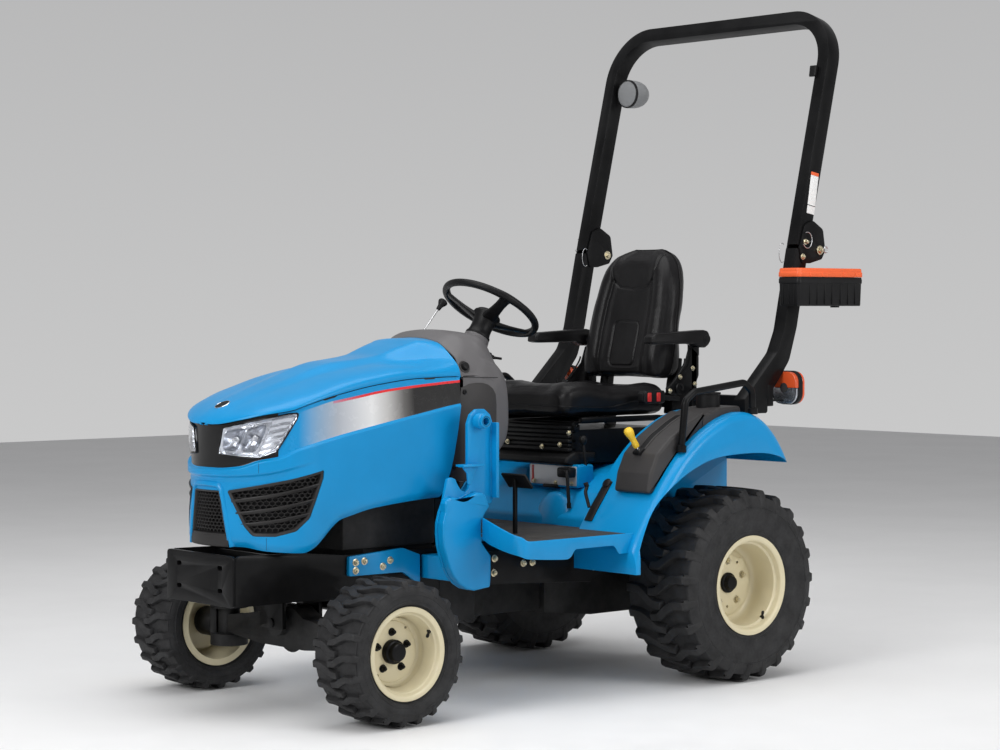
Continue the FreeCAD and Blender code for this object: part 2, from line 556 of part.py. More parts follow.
def offs(pts, d):
    out = []
    for i, p in enumerate(pts):
        a = pts[max(0, i - 1)]
        b = pts[min(len(pts) - 1, i + 1)]
        ty, tz = b[0] - a[0], b[1] - a[1]
        l = math.hypot(ty, tz)
        out.append((p[0] + tz / l * d, p[1] - ty / l * d))
    return out


def curve_face(top, bottom, x):
    c = Part.BSplineCurve()
    c.interpolate([V(x, y, z) for y, z in top])
    es = [c.toShape()]
    bp = [V(x, y, z) for y, z in bottom]
    es.append(Part.makeLine(V(x, *top[-1]), bp[0]))
    for a, b in zip(bp, bp[1:]):
        es.append(Part.makeLine(a, b))
    es.append(Part.makeLine(bp[-1], V(x, *top[0])))
    return Part.Face(Part.Wire(es))


low = [(937, 400), (196, 400)]
f_out = curve_face(TOPL, low, FENDER_IN).extrude(V(FENDER_OUT - FENDER_IN, 0, 0))
top_in = offs(TOPL, 3.0)
f_in = curve_face(top_in, [(top_in[-1][0], 380), (top_in[0][0], 380)], FENDER_IN + 3).extrude(V(FENDER_OUT - FENDER_IN - 6, 0, 0))


def fil(s, x, r):
    es = [e for e in s.Edges if e.Curve.TypeId == "Part::GeomBSplineCurve" and abs(e.BoundBox.XMin - x) < 0.5 and abs(e.BoundBox.XMax - x) < 0.5]
    try:
        return s.makeFillet(r, es)
    except Exception as ex:
        print("fillet failed", ex)
        return s


f_out = fil(f_out, FENDER_OUT, 34)
f_in = fil(f_in, FENDER_OUT - 3, 31)
sh = f_out.cut(f_in)
# open wheel arch outboard of the inner wall
c = Part.BSplineCurve()
c.interpolate([V(FENDER_IN + 3, y, z) for y, z in ARCH])
arch = Part.Face(Part.Wire([c.toShape(), Part.makeLine(V(FENDER_IN + 3, *ARCH[-1]), V(FENDER_IN + 3, 1000, 700)), Part.makeLine(V(FENDER_IN + 3, 1000, 700), V(FENDER_IN + 3, 1000, 300)),
                            Part.makeLine(V(FENDER_IN + 3, 1000, 300), V(FENDER_IN + 3, 215, 300)),
                            Part.makeLine(V(FENDER_IN + 3, 215, 300), V(FENDER_IN + 3, *ARCH[0]))])).extrude(V(400, 0, 0))
sh = sh.cut(arch)
# inner wall ends above the axle
sh = sh.cut(prism_yz([(150, 380), (150, 470), (420, 470), (560, 560), (880, 560), (960, 640), (960, 380)], FENDER_IN - 5, FENDER_IN + 3, 0))
sh = max(sh.Solids, key=lambda q: q.Volume)
put("fenders", sh, mir(sh))

# platform and mats end against the fenders and leave a slot for each loader bracket
fcut = curve_face(offs(TOPL, -0.5), low, FENDER_IN - 60).extrude(V(FENDER_OUT - FENDER_IN + 60, 0, 0))
fcut = fcut.common(box(FENDER_IN - 1, 700, 150, 400, 400, 700))
slot = box(330, 389, -412, -182, 300, 760)
for q in (fcut, mir(fcut), slot, mir(slot)):
    PLATFORM = PLATFORM.cut(q)
PLATFORM = max(PLATFORM.Solids, key=lambda q: q.Volume)
put("platform", PLATFORM)
matL = matL.cut(fcut).cut(slot)
matR = mir(matL).cut(box(-408, -390, -204, -178, 480, 620))
matL = matL.cut(box(317, 343, -70, -42, 480, 560))
matL = max(matL.Solids, key=lambda q: q.Volume)
matR = max(matR.Solids, key=lambda q: q.Volume)
put("floor_mats", matL, matR)

# grey consoles on the fenders, front part with lever slots and rear part with a cup holder
con = prism_yz([(296, 655), (304, 720), (345, 830), (420, 905), (520, 950), (560, 956), (560, 878), (440, 800), (372, 728), (330, 680)], 430, 596, [10, 20, 30, 30, 20, 8, 0, 0, 0, 0])
f_gap = curve_face(offs(TOPL, -0.4), low, FENDER_IN - 40).extrude(V(400, 0, 0))
con = con.cut(f_gap)
con2 = prism_yz([(575, 870), (575, 958), (620, 985), (735, 985), (745, 960), (745, 900)], 430, 590, [0, 20, 20, 15, 10, 0]).cut(f_gap)
con2 = con2.cut(cyl((510, 665, 925), (0, 0, 1), 37, 100))
put("fender_consoles", con, con2, mir(con), mir(con2))

# hand rails, bent tube feet on the fender tops
def rail_bar(sg):
    return bar([(sg * 612, 430, 792), (sg * 612, 450, 960), (sg * 612, 492, 988), (sg * 612, 735, 1015), (sg * 612, 775, 985), (sg * 612, 778, 908)], 12, 30)


hr = rail_bar(1)
f_solid = curve_face(offs(TOPL, -0.2), low, FENDER_IN - 40).extrude(V(400, 0, 0))
hr = hr.cut(f_solid)
hr = max(hr.Solids, key=lambda q: q.Volume)
put("hand_rails", hr, mir(hr))

# ------------------------------------------------------------------ seat group
base = fuse(prism_yz([(262, 472), (262, 560), (330, 640), (420, 700), (560, 735), (800, 735), (800, 530), (560, 525), (300, 480)], -FENDER_IN + 0.0, FENDER_IN, [0, 30, 40, 40, 10, 10, 0, 0, 0]))
base_in = prism_yz([(265, 400), (265, 559), (332, 637.5), (421, 697), (560, 732), (797, 732), (797, 400)], -FENDER_IN + 3, FENDER_IN - 3, [0, 27, 37, 37, 7, 7, 0])
base = base.cut(base_in)
base = base.cut(prism_yz([(590, 400), (590, 655), (820, 655), (820, 400)], -400, 400, 0))
put("seat_base", max(base.Solids, key=lambda q: q.Volume))
SB_Z = 735.0
ped = fuse(box(-190, 190, 330, 345, 735, 850).common(box(-190, 190, 330, 345, 700, 850)),
           box(-190, -180, 330, 760, 735.0, 850), box(180, 190, 330, 760, 735.0, 850), box(-190, 190, 330, 760, 840, 850),
           box(-190, 190, 745, 760, 735.0, 850))
ped = ped.cut(prism_yz([(250, 560), (330, 640), (420, 700), (560, 735.2), (560, 500)], -400, 400, 0))
put("seat_pedestal", ped)
SHY, SHZ = 345.0, 868.0          # seat tilt hinge
sp = fuse(box(-200, 200, 362, 740, 872, 878), box(-205, -190, 362, 740, 878, 892), box(190, 205, 362, 740, 878, 892),
          cyl((-185, SHY, SHZ), (1, 0, 0), 9, 370), box(-184, 184, 345, 366, 866, 876))
hb = fuse(box(-199, -187, 333, 357, 850, 880), box(187, 199, 333, 357, 850, 880)).cut(cyl((-230, SHY, SHZ), (1, 0, 0), 9.1, 460))
hb = hb.cut(box(-400, 400, 300, 400, 869, 900))
NODES["seat_pedestal"] = fuse(NODES["seat_pedestal"], hb)

cush = prism_yz([(262, 905), (268, 985), (350, 1012), (520, 988), (760, 1000), (790, 1010), (790, 892), (300, 892)], -228, 228, [25, 30, 40, 60, 40, 10, 20, 20])
try:
    ed = [e for e in cush.Edges if (abs(e.BoundBox.XMin - 228) < .1 and abs(e.BoundBox.XMax - 228) < .1) or (abs(e.BoundBox.XMin + 228) < .1 and abs(e.BoundBox.XMax + 228) < .1)]
    cush = cush.makeFillet(14, ed)
except Exception as ex:
    print("cushion fillet", ex)
put("seat_cushion", cush)
back = prism_yz([(712, 1018), (740, 1160), (775, 1300), (815, 1440), (860, 1500), (915, 1500), (935, 1440), (880, 1200), (845, 900), (794, 900), (794, 1014)], -230, 230, [10, 20, 20, 40, 26, 26, 40, 40, 20, 4, 4])
frv = [(-205, 890), (205, 890), (213, 1150), (200, 1330), (140, 1480), (100, 1503), (-100, 1503), (-140, 1480), (-200, 1330), (-213, 1150)]
back = back.common(prism_xz(frv, 650, 1000, [20, 20, 80, 120, 60, 60, 60, 60, 120, 80]))
put("seat_back", max(back.Solids, key=lambda q: q.Volume))
rec = fuse(box(246, 268, 836, 872, 1100, 1172), box(246, 268, 836, 860, 884, 1110), box(190, 268, 836, 860, 878, 890),
           box(190, 205, 735, 860, 878, 890))
put("seat_pan", fuse(sp, rec, mir(rec)))
AY, AZ = 854.0, 1148.0
for side, sg in (("left", 1), ("right", -1)):
    a = fuse(cyl((sg * 268.3, AY, AZ), (sg, 0, 0), 20, 20),
             prism_yz([(586, 1142), (580, 1190), (650, 1192), (AY + 8, 1176), (AY + 14, 1140), (AY - 10, 1130), (680, 1128)], sg * 274, sg * 326, [20, 24, 20, 12, 12, 12, 30]))
    put("armrest_" + side, a)

# ------------------------------------------------------------------------ ROPS
# lower posts: bent box tube from a cross beam behind the seat
def post(sg):
    x0, x1 = (ROPS_X - TUBE_X / 2, ROPS_X + TUBE_X / 2)
    if sg < 0:
        x0, x1 = -x1, -x0
    front = [(790, 955), (953, 1112), (989, 1190), (1053, 1478)]
    rear = [(1111, 1464), (1055, 1202), (1016, 1086), (958, 1014), (905, 960), (905, 905), (790, 905)]
    o = prism_yz(front + rear, x0, x1, [10, 60, 120, 0, 0, 120, 80, 60, 10, 10, 10])
    return o


lowp = fuse(post(1), post(-1))
# cross beam between the posts and legs down to the axle
cb = fuse(box(-520, 520, 892, 944, 910, 962))
legs = fuse(box(225, 240, 895, 942, 400, 912), box(-240, -225, 895, 942, 400, 912))
rl = fuse(lowp, cb, legs)
# clamp straps down to the axle tubes
strap = fuse(box(200, 245, YR - 70, 942, 388, 400), box(-245, -200, YR - 70, 942, 388, 400))
rl = fuse(rl, strap)
# hinge plates both sides of each post
pl_pts = [(1075, 1425), (1062, 1480), (1088, 1560), (1131, 1576), (1185, 1545), (1197, 1470), (1178, 1440), (1115, 1425)]
for sg in (1, -1):
    for a, b in ((ROPS_X - TUBE_X / 2 - 6.5, ROPS_X - TUBE_X / 2), (ROPS_X + TUBE_X / 2, ROPS_X + TUBE_X / 2 + 6.0)):
        x0, x1 = (a, b) if sg > 0 else (-b, -a)
        rl = fuse(rl, prism_yz(pl_pts, x0, x1, [10, 10, 20, 20, 20, 12, 12, 10]))
rl = rl.cut(cyl((-700, ROPS_PY, ROPS_PZ), (1, 0, 0), 10.05, 1400))
put("rops_lower", rl)
# upper hoop, built upright then leaned back
H0, H1 = 1492.0, 2362.0
RO, RI = 200.0, 150.0
xo, xi = ROPS_X + TUBE_X / 2 - 0.6, ROPS_X - TUBE_X / 2 + 0.6
yh0 = 1055.0
outer = prism_xz([(-xo, H0), (-xo, H1), (xo, H1), (xo, H0)], yh0, yh0 + TUBE_Y, [0, RO, RO, 0])
inner = prism_xz([(-xi, H0 - 10), (-xi, H1 - TUBE_X), (xi, H1 - TUBE_X), (xi, H0 - 10)], yh0 - 5, yh0 + TUBE_Y + 5, [0, RI, RI, 0])
hoop = outer.cut(inner)
rot = FreeCAD.Placement()
hoop.rotate(V(0, 1053, 1485), V(1, 0, 0), -ROPS_RAKE)
# keep the joint faces apart
hoop = hoop.cut(prism_yz([(900, 1300), (900, 1488), (1300, 1488), (1300, 1300)], -700, 700, 0))
ears = []
for sg in (1, -1):
    x0, x1 = (xi + 2, xo - 2) if sg > 0 else (-xo + 2, -xi - 2)
    ears.append(prism_yz([(1100, 1500), (1105, 1545), (1150, 1530), (1188, 1490), (1188, 1452), (1150, 1452), (1122, 1496)], x0, x1, [0, 0, 10, 15, 15, 10, 6]))
up = fuse(hoop, *ears)
up = up.cut(cyl((-700, ROPS_PY, ROPS_PZ), (1, 0, 0), 10.05, 1400))
put("rops_upper", up)
pins2 = []
for sg in (1, -1):
    a, b = (ROPS_X - 40, ROPS_X + 40) if sg > 0 else (-ROPS_X - 40, -ROPS_X + 40)
    pins2.append(cyl((a, ROPS_PY, ROPS_PZ), (1, 0, 0), 9.98, b - a))
put("rops_hinge_pins", *pins2)

# lamp on the hoop and its stalk
lamp = fuse(cyl((-452, 1216, 2092), (0, 1, 0), 54, 46), Part.makeSphere(54, V(-452, 1262, 2092)).common(box(-600, -300, 1262, 1400, 2000, 2200)),
            box(-517, -480, 1228, 1250, 2082, 2102))
put("work_light", lamp.cut(up))

# tail lamps on brackets behind the posts
tl = []
for sg in (1, -1):
    x0, x1 = (505, 600) if sg > 0 else (-600, -505)
    body = rbox(x0, x1, 985, 1035, 940, 1042, 18)
    stem = box(min(sg * 520, sg * 560), max(sg * 520, sg * 560), 905.0, 990, 948, 955)
    tl.append(fuse(body, stem))
put("tail_lights", *tl)

# tool box on the left post
tb = box(BOX_X0 + 3, BOX_X1 - 5, BOX_Y0 + 5, BOX_Y1 - 5, BOX_Z0, BOX_ZS).cut(box(BOX_X0 + 3 + BOX_T, BOX_X1 - 5 - BOX_T, BOX_Y0 + 5 + BOX_T, BOX_Y1 - 5 - BOX_T, BOX_Z0 + BOX_T, BOX_ZS + 5))
tb = fuse(tb, box(BOX_X0, BOX_X1 - 2, BOX_Y0, BOX_Y1, BOX_ZS - 14, BOX_ZS).cut(box(BOX_X0 + 3, BOX_X1 - 5, BOX_Y0 + 5, BOX_Y1 - 5, BOX_ZS - 20, BOX_ZS + 5)),
          box(565.0, 574, 1020, 1060, 1290, 1330))
HB_R = 2.2
for y0 in (1000, 1180):
    tb = tb.cut(cyl((BOX_X1 - 2, y0 - 1, BOX_ZS + 0.5), (0, 1, 0), HB_R + 0.4, 62))
put("toolbox", max(tb.Solids, key=lambda q: q.Volume))
lid = box(BOX_X0, BOX_X1 - 2, BOX_Y0, BOX_Y1, BOX_ZS + 0.5, BOX_Z1).cut(box(BOX_X0 + 3, BOX_X1 - 5, BOX_Y0 + 3, BOX_Y1 - 3, BOX_ZS - 1, BOX_Z1 - 3))
lid = fuse(lid, *[cyl((BOX_X1 - 2, y0, BOX_ZS + 0.5), (0, 1, 0), HB_R, 60) for y0 in (1000, 1180)])
put("toolbox_lid", lid)

# -------------------------------------------------------------------- controls
ped_l = fuse(prism_yz([(-61, 728), (-26, 682), (-33, 677), (-68, 723)], 270, 390, 2), prism_yz([(-62, 524), (-62, 713), (-50, 698), (-50, 524)], 324, 336, 0))
ped_r = fuse(prism_yz([(-240, 590), (-232, 604), (-140, 566), (-148, 552)], -430, -370, 3), prism_yz([(-198, 524), (-198, 573), (-184, 568), (-184, 524)], -404, -394, 0))
ped_l, ped_r = [max(q.cut(PLATFORM).Solids, key=lambda u: u.Volume) for q in (ped_l, ped_r)]
put("pedals", ped_l, ped_r)
lever_y = fuse(Part.makeCylinder(5, 60, V(505, 380, 868), V(0, -0.65, 0.76)), Part.makeCylinder(12, 50, V(505, 341, 914), V(0, -0.65, 0.76)))
lever_b = fuse(Part.makeCylinder(5, 150, V(224, 372, 664), V(0, -0.15, 0.99)), Part.makeSphere(14, V(224, 350, 812))).cut(base)
lever_t = fuse(Part.makeCylinder(4, 150, V(-90, -10, 1100), V(-0.5, 0.42, 0.76)), Part.makeCylinder(9, 45, V(-162.5, 51, 1210), V(-0.5, 0.42, 0.76)))
lever_y = lever_y.cut(con)
lt = lever_t.cut(cowl(0))
put("control_levers", max(lever_y.Solids, key=lambda q: q.Volume), max(lever_b.Solids, key=lambda q: q.Volume), max(lt.Solids, key=lambda q: q.Volume))

# ------------------------------------------------------------- three-point hitch
LA_Y, LA_Z = 790.0, 560.0
LT_Y, LT_Z = 1000.0, 600.0
LB_Y, LB_Z = 860.0, 262.0
LE_Y, LE_Z = 1290.0, 285.0
LM_Y, LM_Z = 1110.0, 275.0
shaft = cyl((-150, LA_Y, LA_Z), (1, 0, 0), 18, 300)
hous = fuse(box(-110, 110, 700, 860, 520, 590)).cut(cyl((-160, LA_Y, LA_Z), (1, 0, 0), 18.06, 320))


def link(a, b, x0, x1, w, ra, rb):
    (ay, az), (by, bz) = a, b
    dy, dz = by - ay, bz - az
    l = math.hypot(dy, dz)
    ny, nz = -dz / l * w / 2, dy / l * w / 2
    s = prism_yz([(ay + ny, az + nz), (by + ny, bz + nz), (by - ny, bz - nz), (ay - ny, az - nz)], x0, x1, 0)
    return fuse(s, cyl((x0, ay, az), (1, 0, 0), ra, x1 - x0), cyl((x0, by, bz), (1, 0, 0), rb, x1 - x0))


armL = link((LA_Y, LA_Z), (LT_Y, LT_Z), 134, 150, 40, 30, 22).cut(cyl((100, LT_Y, LT_Z), (1, 0, 0), 9, 80))
put("lift_arms", fuse(shaft, armL, mir(armL)))
LX0, LX1 = 205.0, 217.0
links, rods = [], []
for side, sg in (("left", 1), ("right", -1)):
    a, b = (LX0, LX1) if sg > 0 else (-LX1, -LX0)
    lk = link((LB_Y, LB_Z), (LE_Y, LE_Z), a, b, 42, 26, 24)
    eye = cyl((a - 11, LE_Y, LE_Z), (1, 0, 0), 24, 34)
    lk = fuse(lk, eye).cut(cyl((a - 20, LE_Y, LE_Z), (1, 0, 0), EYE_R, 60)).cut(cyl((a - 20, LB_Y, LB_Z), (1, 0, 0), 11.06, 60))
    links.append(lk)
    q0, q1 = (134, 150) if sg > 0 else (-150, -134)
    r0, r1 = (156, 176) if sg > 0 else (-176, -156)
    rd = fuse(link((LT_Y, LT_Z), (LM_Y, LM_Z), 158, 170, 18, 18, 18), cyl((157, (LT_Y + LM_Y) / 2 - 0, (LT_Z + LM_Z) / 2), (1, 0, 0), 17, 14),
              cyl((126, LT_Y, LT_Z), (1, 0, 0), 8.9, 50))
    rods.append(rd if sg > 0 else mir(rd))
put("lower_links", *links)
put("lift_rods", *rods)
lbk = fuse(box(120, 200, 835, 880, 236, 288), cyl((190, LB_Y, LB_Z), (1, 0, 0), 11, 36))
TL_Y, TL_Z = 986.0, 551.0
tl_pts = [(870, 430), (870, 520), (962, 574), (1004, 574), (1010, 530), (960, 500)]
tlb = fuse(prism_yz(tl_pts, -32, -22, [0, 0, 20, 20, 20, 20]), prism_yz(tl_pts, 22, 32, [0, 0, 20, 20, 20, 20]))
tlb = tlb.cut(cyl((-60, TL_Y, TL_Z), (1, 0, 0), TOP_R, 120))
put("rear_axle", fuse(trans, hous, lbk, mir(lbk), tlb, pto))
db = fuse(box(-30, 30, 840, 1060, 182, 198), box(-60, 60, 835, 876, 182, 240)).cut(cyl((0, 1030, 150), (0, 0, 1), 11, 60))
put("drawbar", db.cut(trans))

# --------------------------------------------------------------------- export
os.makedirs("parts", exist_ok=True)
lo = [1e9] * 3
hi = [-1e9] * 3
for name, s in NODES.items():
    s = s.copy()
    s.translate(V(0, Y_SHIFT, 0))
    bad = [q for q in s.Solids if not q.isValid()]
    if bad or not s.Solids:
        print("CHECK", name, "solids", len(s.Solids), "invalid", len(bad))
    if len(s.Solids) == 1:
        s = s.Solids[0]
    else:
        s = Part.makeCompound(s.Solids)
    s.exportStep("parts/%s.step" % name)
    b = s.BoundBox
    lo = [min(lo[0], b.XMin), min(lo[1], b.YMin), min(lo[2], b.ZMin)]
    hi = [max(hi[0], b.XMax), max(hi[1], b.YMax), max(hi[2], b.ZMax)]
    print("%-22s solids %d  x %.0f..%.0f  y %.0f..%.0f  z %.0f..%.0f  vol %.0f cm3" % (
        name, len(s.Solids), b.XMin, b.XMax, b.YMin - Y_SHIFT, b.YMax - Y_SHIFT, b.ZMin, b.ZMax, s.Volume / 1000))
print("nodes", len(NODES), "box", [round(v, 1) for v in lo], [round(v, 1) for v in hi], "y centre", round((lo[1] + hi[1]) / 2, 1))
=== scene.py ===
import bpy
import bmesh
import json
import math
import random
from mathutils import Matrix, Vector

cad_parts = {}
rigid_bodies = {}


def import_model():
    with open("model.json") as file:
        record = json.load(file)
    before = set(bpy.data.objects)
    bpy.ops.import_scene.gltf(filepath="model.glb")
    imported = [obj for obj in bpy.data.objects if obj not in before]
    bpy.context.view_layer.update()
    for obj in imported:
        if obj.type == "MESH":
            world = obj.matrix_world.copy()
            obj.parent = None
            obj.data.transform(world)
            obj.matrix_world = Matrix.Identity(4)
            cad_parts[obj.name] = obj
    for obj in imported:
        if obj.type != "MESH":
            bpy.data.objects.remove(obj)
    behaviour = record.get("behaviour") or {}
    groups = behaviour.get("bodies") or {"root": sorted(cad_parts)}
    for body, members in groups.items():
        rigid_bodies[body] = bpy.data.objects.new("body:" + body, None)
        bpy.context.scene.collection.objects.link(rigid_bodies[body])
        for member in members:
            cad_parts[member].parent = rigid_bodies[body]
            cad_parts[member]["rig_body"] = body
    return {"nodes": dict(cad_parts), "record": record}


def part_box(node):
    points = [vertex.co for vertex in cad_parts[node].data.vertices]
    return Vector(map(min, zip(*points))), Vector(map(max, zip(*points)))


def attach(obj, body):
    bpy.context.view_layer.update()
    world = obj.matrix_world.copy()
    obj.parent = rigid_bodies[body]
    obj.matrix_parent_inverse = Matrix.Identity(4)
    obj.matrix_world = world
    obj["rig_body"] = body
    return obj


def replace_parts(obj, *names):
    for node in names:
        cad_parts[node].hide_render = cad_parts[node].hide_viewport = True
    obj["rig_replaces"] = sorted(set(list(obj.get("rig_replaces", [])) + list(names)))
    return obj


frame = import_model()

random.seed(7)
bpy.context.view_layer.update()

# ------------------------------------------------------------------ frame
# All shapes below are written in millimetres with Y = 0 half way between the
# axles (front of the tractor at -Y, its left side at +X); mk() moves them into
# the row frame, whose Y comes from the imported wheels.
_a, _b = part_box("rear_tyre_left")
YS = (_a.y + _b.y) / 2 - 0.721
NODES = frame["nodes"]


def P(x, y, z):
    return Vector((x * 0.001, y * 0.001 + YS, z * 0.001))


def lut(tab, x):
    if x <= tab[0][0]:
        return tab[0][1]
    for (a, va), (b, vb) in zip(tab, tab[1:]):
        if x <= b:
            return va + (vb - va) * (x - a) / (b - a)
    return tab[-1][1]


def slut(tab, x):
    """smooth look-up (cubic through the points, monotone tangents)"""
    n = len(tab)
    if x <= tab[0][0]:
        return tab[0][1]
    if x >= tab[-1][0]:
        return tab[-1][1]
    d = [(tab[i + 1][1] - tab[i][1]) / (tab[i + 1][0] - tab[i][0]) for i in range(n - 1)]
    m = [d[0]] + [0.0 if d[i - 1] * d[i] <= 0 else 2 * d[i - 1] * d[i] / (d[i - 1] + d[i]) for i in range(1, n - 1)] + [d[-1]]
    for i in range(n - 1):
        if x <= tab[i + 1][0]:
            h = tab[i + 1][0] - tab[i][0]
            t = (x - tab[i][0]) / h
            return ((2 * t ** 3 - 3 * t * t + 1) * tab[i][1] + (t ** 3 - 2 * t * t + t) * h * m[i]
                    + (-2 * t ** 3 + 3 * t * t) * tab[i + 1][1] + (t ** 3 - t * t) * h * m[i + 1])
    return tab[-1][1]


def sm(t):
    t = max(0.0, min(1.0, t))
    return t * t * (3 - 2 * t)


def V(*a):
    return Vector(a[0]) if len(a) == 1 else Vector(a)


# ------------------------------------------------------------------ materials
class Graph:
    def __init__(self, name):
        self.m = bpy.data.materials.new(name)
        self.m.use_nodes = True
        self.t = self.m.node_tree
        self.t.nodes.clear()
        self.out = self.t.nodes.new("ShaderNodeOutputMaterial")
        self.b = self.t.nodes.new("ShaderNodeBsdfPrincipled")
        self.t.links.new(self.b.outputs[0], self.out.inputs[0])
        self.tc = self.t.nodes.new("ShaderNodeTexCoord")

    def n(self, kind, **kw):
        x = self.t.nodes.new(kind)
        for k, v in kw.items():
            if k in x.inputs:
                x.inputs[k].default_value = v
            else:
                setattr(x, k, v)
        return x

    def l(self, a, b):
        self.t.links.new(a, b)

    def noise(self, scale, detail=3.0, rough=0.55, dist=0.0, vec=None):
        x = self.n("ShaderNodeTexNoise")
        x.inputs["Scale"].default_value = scale
        x.inputs["Detail"].default_value = detail
        x.inputs["Roughness"].default_value = rough
        x.inputs["Distortion"].default_value = dist
        self.l(vec or self.tc.outputs["Object"], x.inputs["Vector"])
        return x.outputs["Fac"]

    def ramp(self, fac, stops, interp="LINEAR"):
        r = self.n("ShaderNodeValToRGB")
        e = r.color_ramp.elements
        r.color_ramp.interpolation = interp
        while len(e) > 1:
            e.remove(e[-1])
        e[0].position = stops[0][0]
        e[0].color = (*stops[0][1], 1)
        for p, c in stops[1:]:
            q = e.new(p)
            q.color = (*c, 1)
        self.l(fac, r.inputs["Fac"])
        return r.outputs["Color"]

    def rng(self, fac, a, b, lo=0.0, hi=1.0):
        r = self.n("ShaderNodeMapRange")
        r.inputs["From Min"].default_value = a
        r.inputs["From Max"].default_value = b
        r.inputs["To Min"].default_value = lo
        r.inputs["To Max"].default_value = hi
        self.l(fac, r.inputs["Value"])
        return r.outputs["Result"]

    def math(self, op, a, b):
        r = self.n("ShaderNodeMath", operation=op)
        for i, v in enumerate((a, b)):
            if isinstance(v, (int, float)):
                r.inputs[i].default_value = v
            else:
                self.l(v, r.inputs[i])
        return r.outputs[0]

    def mix(self, fac, c1, c2, kind="MIX"):
        r = self.n("ShaderNodeMix", data_type="RGBA", blend_type=kind)
        if isinstance(fac, (int, float)):
            r.inputs["Factor"].default_value = fac
        else:
            self.l(fac, r.inputs["Factor"])
        for i, c in ((6, c1), (7, c2)):
            if isinstance(c, tuple):
                r.inputs[i].default_value = (*c, 1) if len(c) == 3 else c
            else:
                self.l(c, r.inputs[i])
        return r.outputs[2]

    def bump(self, h, strength=0.2, dist=0.001, prev=None):
        r = self.n("ShaderNodeBump")
        r.inputs["Strength"].default_value = strength
        r.inputs["Distance"].default_value = dist
        self.l(h, r.inputs["Height"])
        if prev is not None:
            self.l(prev, r.inputs["Normal"])
        return r.outputs["Normal"]


MATS = {}


def material(name, col, rough=0.4, metal=0.0, coat=0.0, coat_rough=0.05, spec=0.5, var=0.08, vscale=6.0,
             rvar=0.10, fine=500.0, fine_s=0.10, fine_d=0.0004, wave=0.0, wave_scale=30.0, dust=0.0,
             dust_col=(0.30, 0.28, 0.25), sheen=0.0, trans=0.0, ior=1.5, kind="noise"):
    g = Graph(name)
    b = g.b
    n1 = g.noise(vscale, 4, 0.6)
    lo = tuple(c * (1 - var) for c in col)
    hi = tuple(min(1.0, c * (1 + var) + 0.004 * var * 10) for c in col)
    c = g.ramp(n1, [(0.3, lo), (0.7, hi)])
    if dust > 0:
        d = g.noise(18, 6, 0.65)
        geo = g.n("ShaderNodeNewGeometry")
        sep = g.n("ShaderNodeSeparateXYZ")
        g.l(geo.outputs["Normal"], sep.inputs[0])
        up = g.rng(sep.outputs["Z"], -0.2, 1.0, 0.25, 1.0)
        f = g.math("MULTIPLY", g.rng(d, 0.38, 0.75, 0.0, dust), up)
        c = g.mix(f, c, dust_col)
    g.l(c, b.inputs["Base Color"])
    n2 = g.noise(vscale * 4.3, 5, 0.6)
    r = g.rng(n2, 0.25, 0.75, max(0.02, rough * (1 - rvar)), min(1.0, rough * (1 + rvar)))
    g.l(r, b.inputs["Roughness"])
    b.inputs["Metallic"].default_value = metal
    b.inputs["Coat Weight"].default_value = coat
    b.inputs["Coat Roughness"].default_value = coat_rough
    b.inputs["Specular IOR Level"].default_value = spec
    b.inputs["Sheen Weight"].default_value = sheen
    b.inputs["IOR"].default_value = ior
    b.inputs["Transmission Weight"].default_value = trans
    if kind == "leather":
        vo = g.n("ShaderNodeTexVoronoi", feature="DISTANCE_TO_EDGE")
        vo.inputs["Scale"].default_value = fine
        g.l(g.tc.outputs["Object"], vo.inputs["Vector"])
        h = g.rng(vo.outputs["Distance"], 0.0, 0.25)
    elif kind == "brushed":
        mp = g.n("ShaderNodeMapping")
        mp.inputs["Scale"].default_value = (1, 1, 40)
        g.l(g.tc.outputs["Object"], mp.inputs["Vector"])
        h = g.noise(fine, 2, 0.5, vec=mp.outputs[0])
    else:
        h = g.noise(fine, 2, 0.5)
    nb = g.bump(h, fine_s, fine_d)
    if wave > 0:
        nb = g.bump(g.noise(wave_scale, 1, 0.4), wave, 0.003, nb)
    g.l(nb, b.inputs["Normal"])
    MATS[name] = g.m
    return g.m


BLUE = (0.0, 0.250, 0.56)
material("blue", BLUE, 0.34, coat=0.14, coat_rough=0.08, spec=0.25, var=0.05, vscale=5, fine=420, fine_s=0.05, fine_d=0.0003, wave=0.035, wave_scale=22)
material("black_paint", (0.0038, 0.0038, 0.0042), 0.34, coat=0.06, coat_rough=0.06, spec=0.09, var=0.15, fine=380, fine_s=0.07, fine_d=0.0003, wave=0.04)
material("gloss_black", (0.005, 0.005, 0.0055), 0.16, coat=0.25, coat_rough=0.03, spec=0.25, var=0.15, fine=500, fine_s=0.02)
material("black_cast", (0.008, 0.008, 0.0085), 0.55, spec=0.22, var=0.25, vscale=14, fine=260, fine_s=0.35, fine_d=0.0008, dust=0.08)
material("cream", (0.66, 0.59, 0.40), 0.34, coat=0.18, spec=0.3, coat_rough=0.08, var=0.04, fine=400, fine_s=0.06, wave=0.05, wave_scale=16)
material("tyre", (0.013, 0.013, 0.014), 0.62, spec=0.28, var=0.25, vscale=22, rvar=0.18, fine=650, fine_s=0.30, fine_d=0.0006, dust=0.16, dust_col=(0.075, 0.072, 0.068))
material("grey_plastic", (0.115, 0.111, 0.114), 0.44, spec=0.3, var=0.05, fine=900, fine_s=0.22, fine_d=0.0003)
material("dark_plastic", (0.036, 0.034, 0.034), 0.50, spec=0.28, var=0.07, fine=900, fine_s=0.30, fine_d=0.0003)
material("grille_plastic", (0.022, 0.021, 0.021), 0.44, spec=0.28, var=0.1, fine=800, fine_s=0.25, fine_d=0.0003)
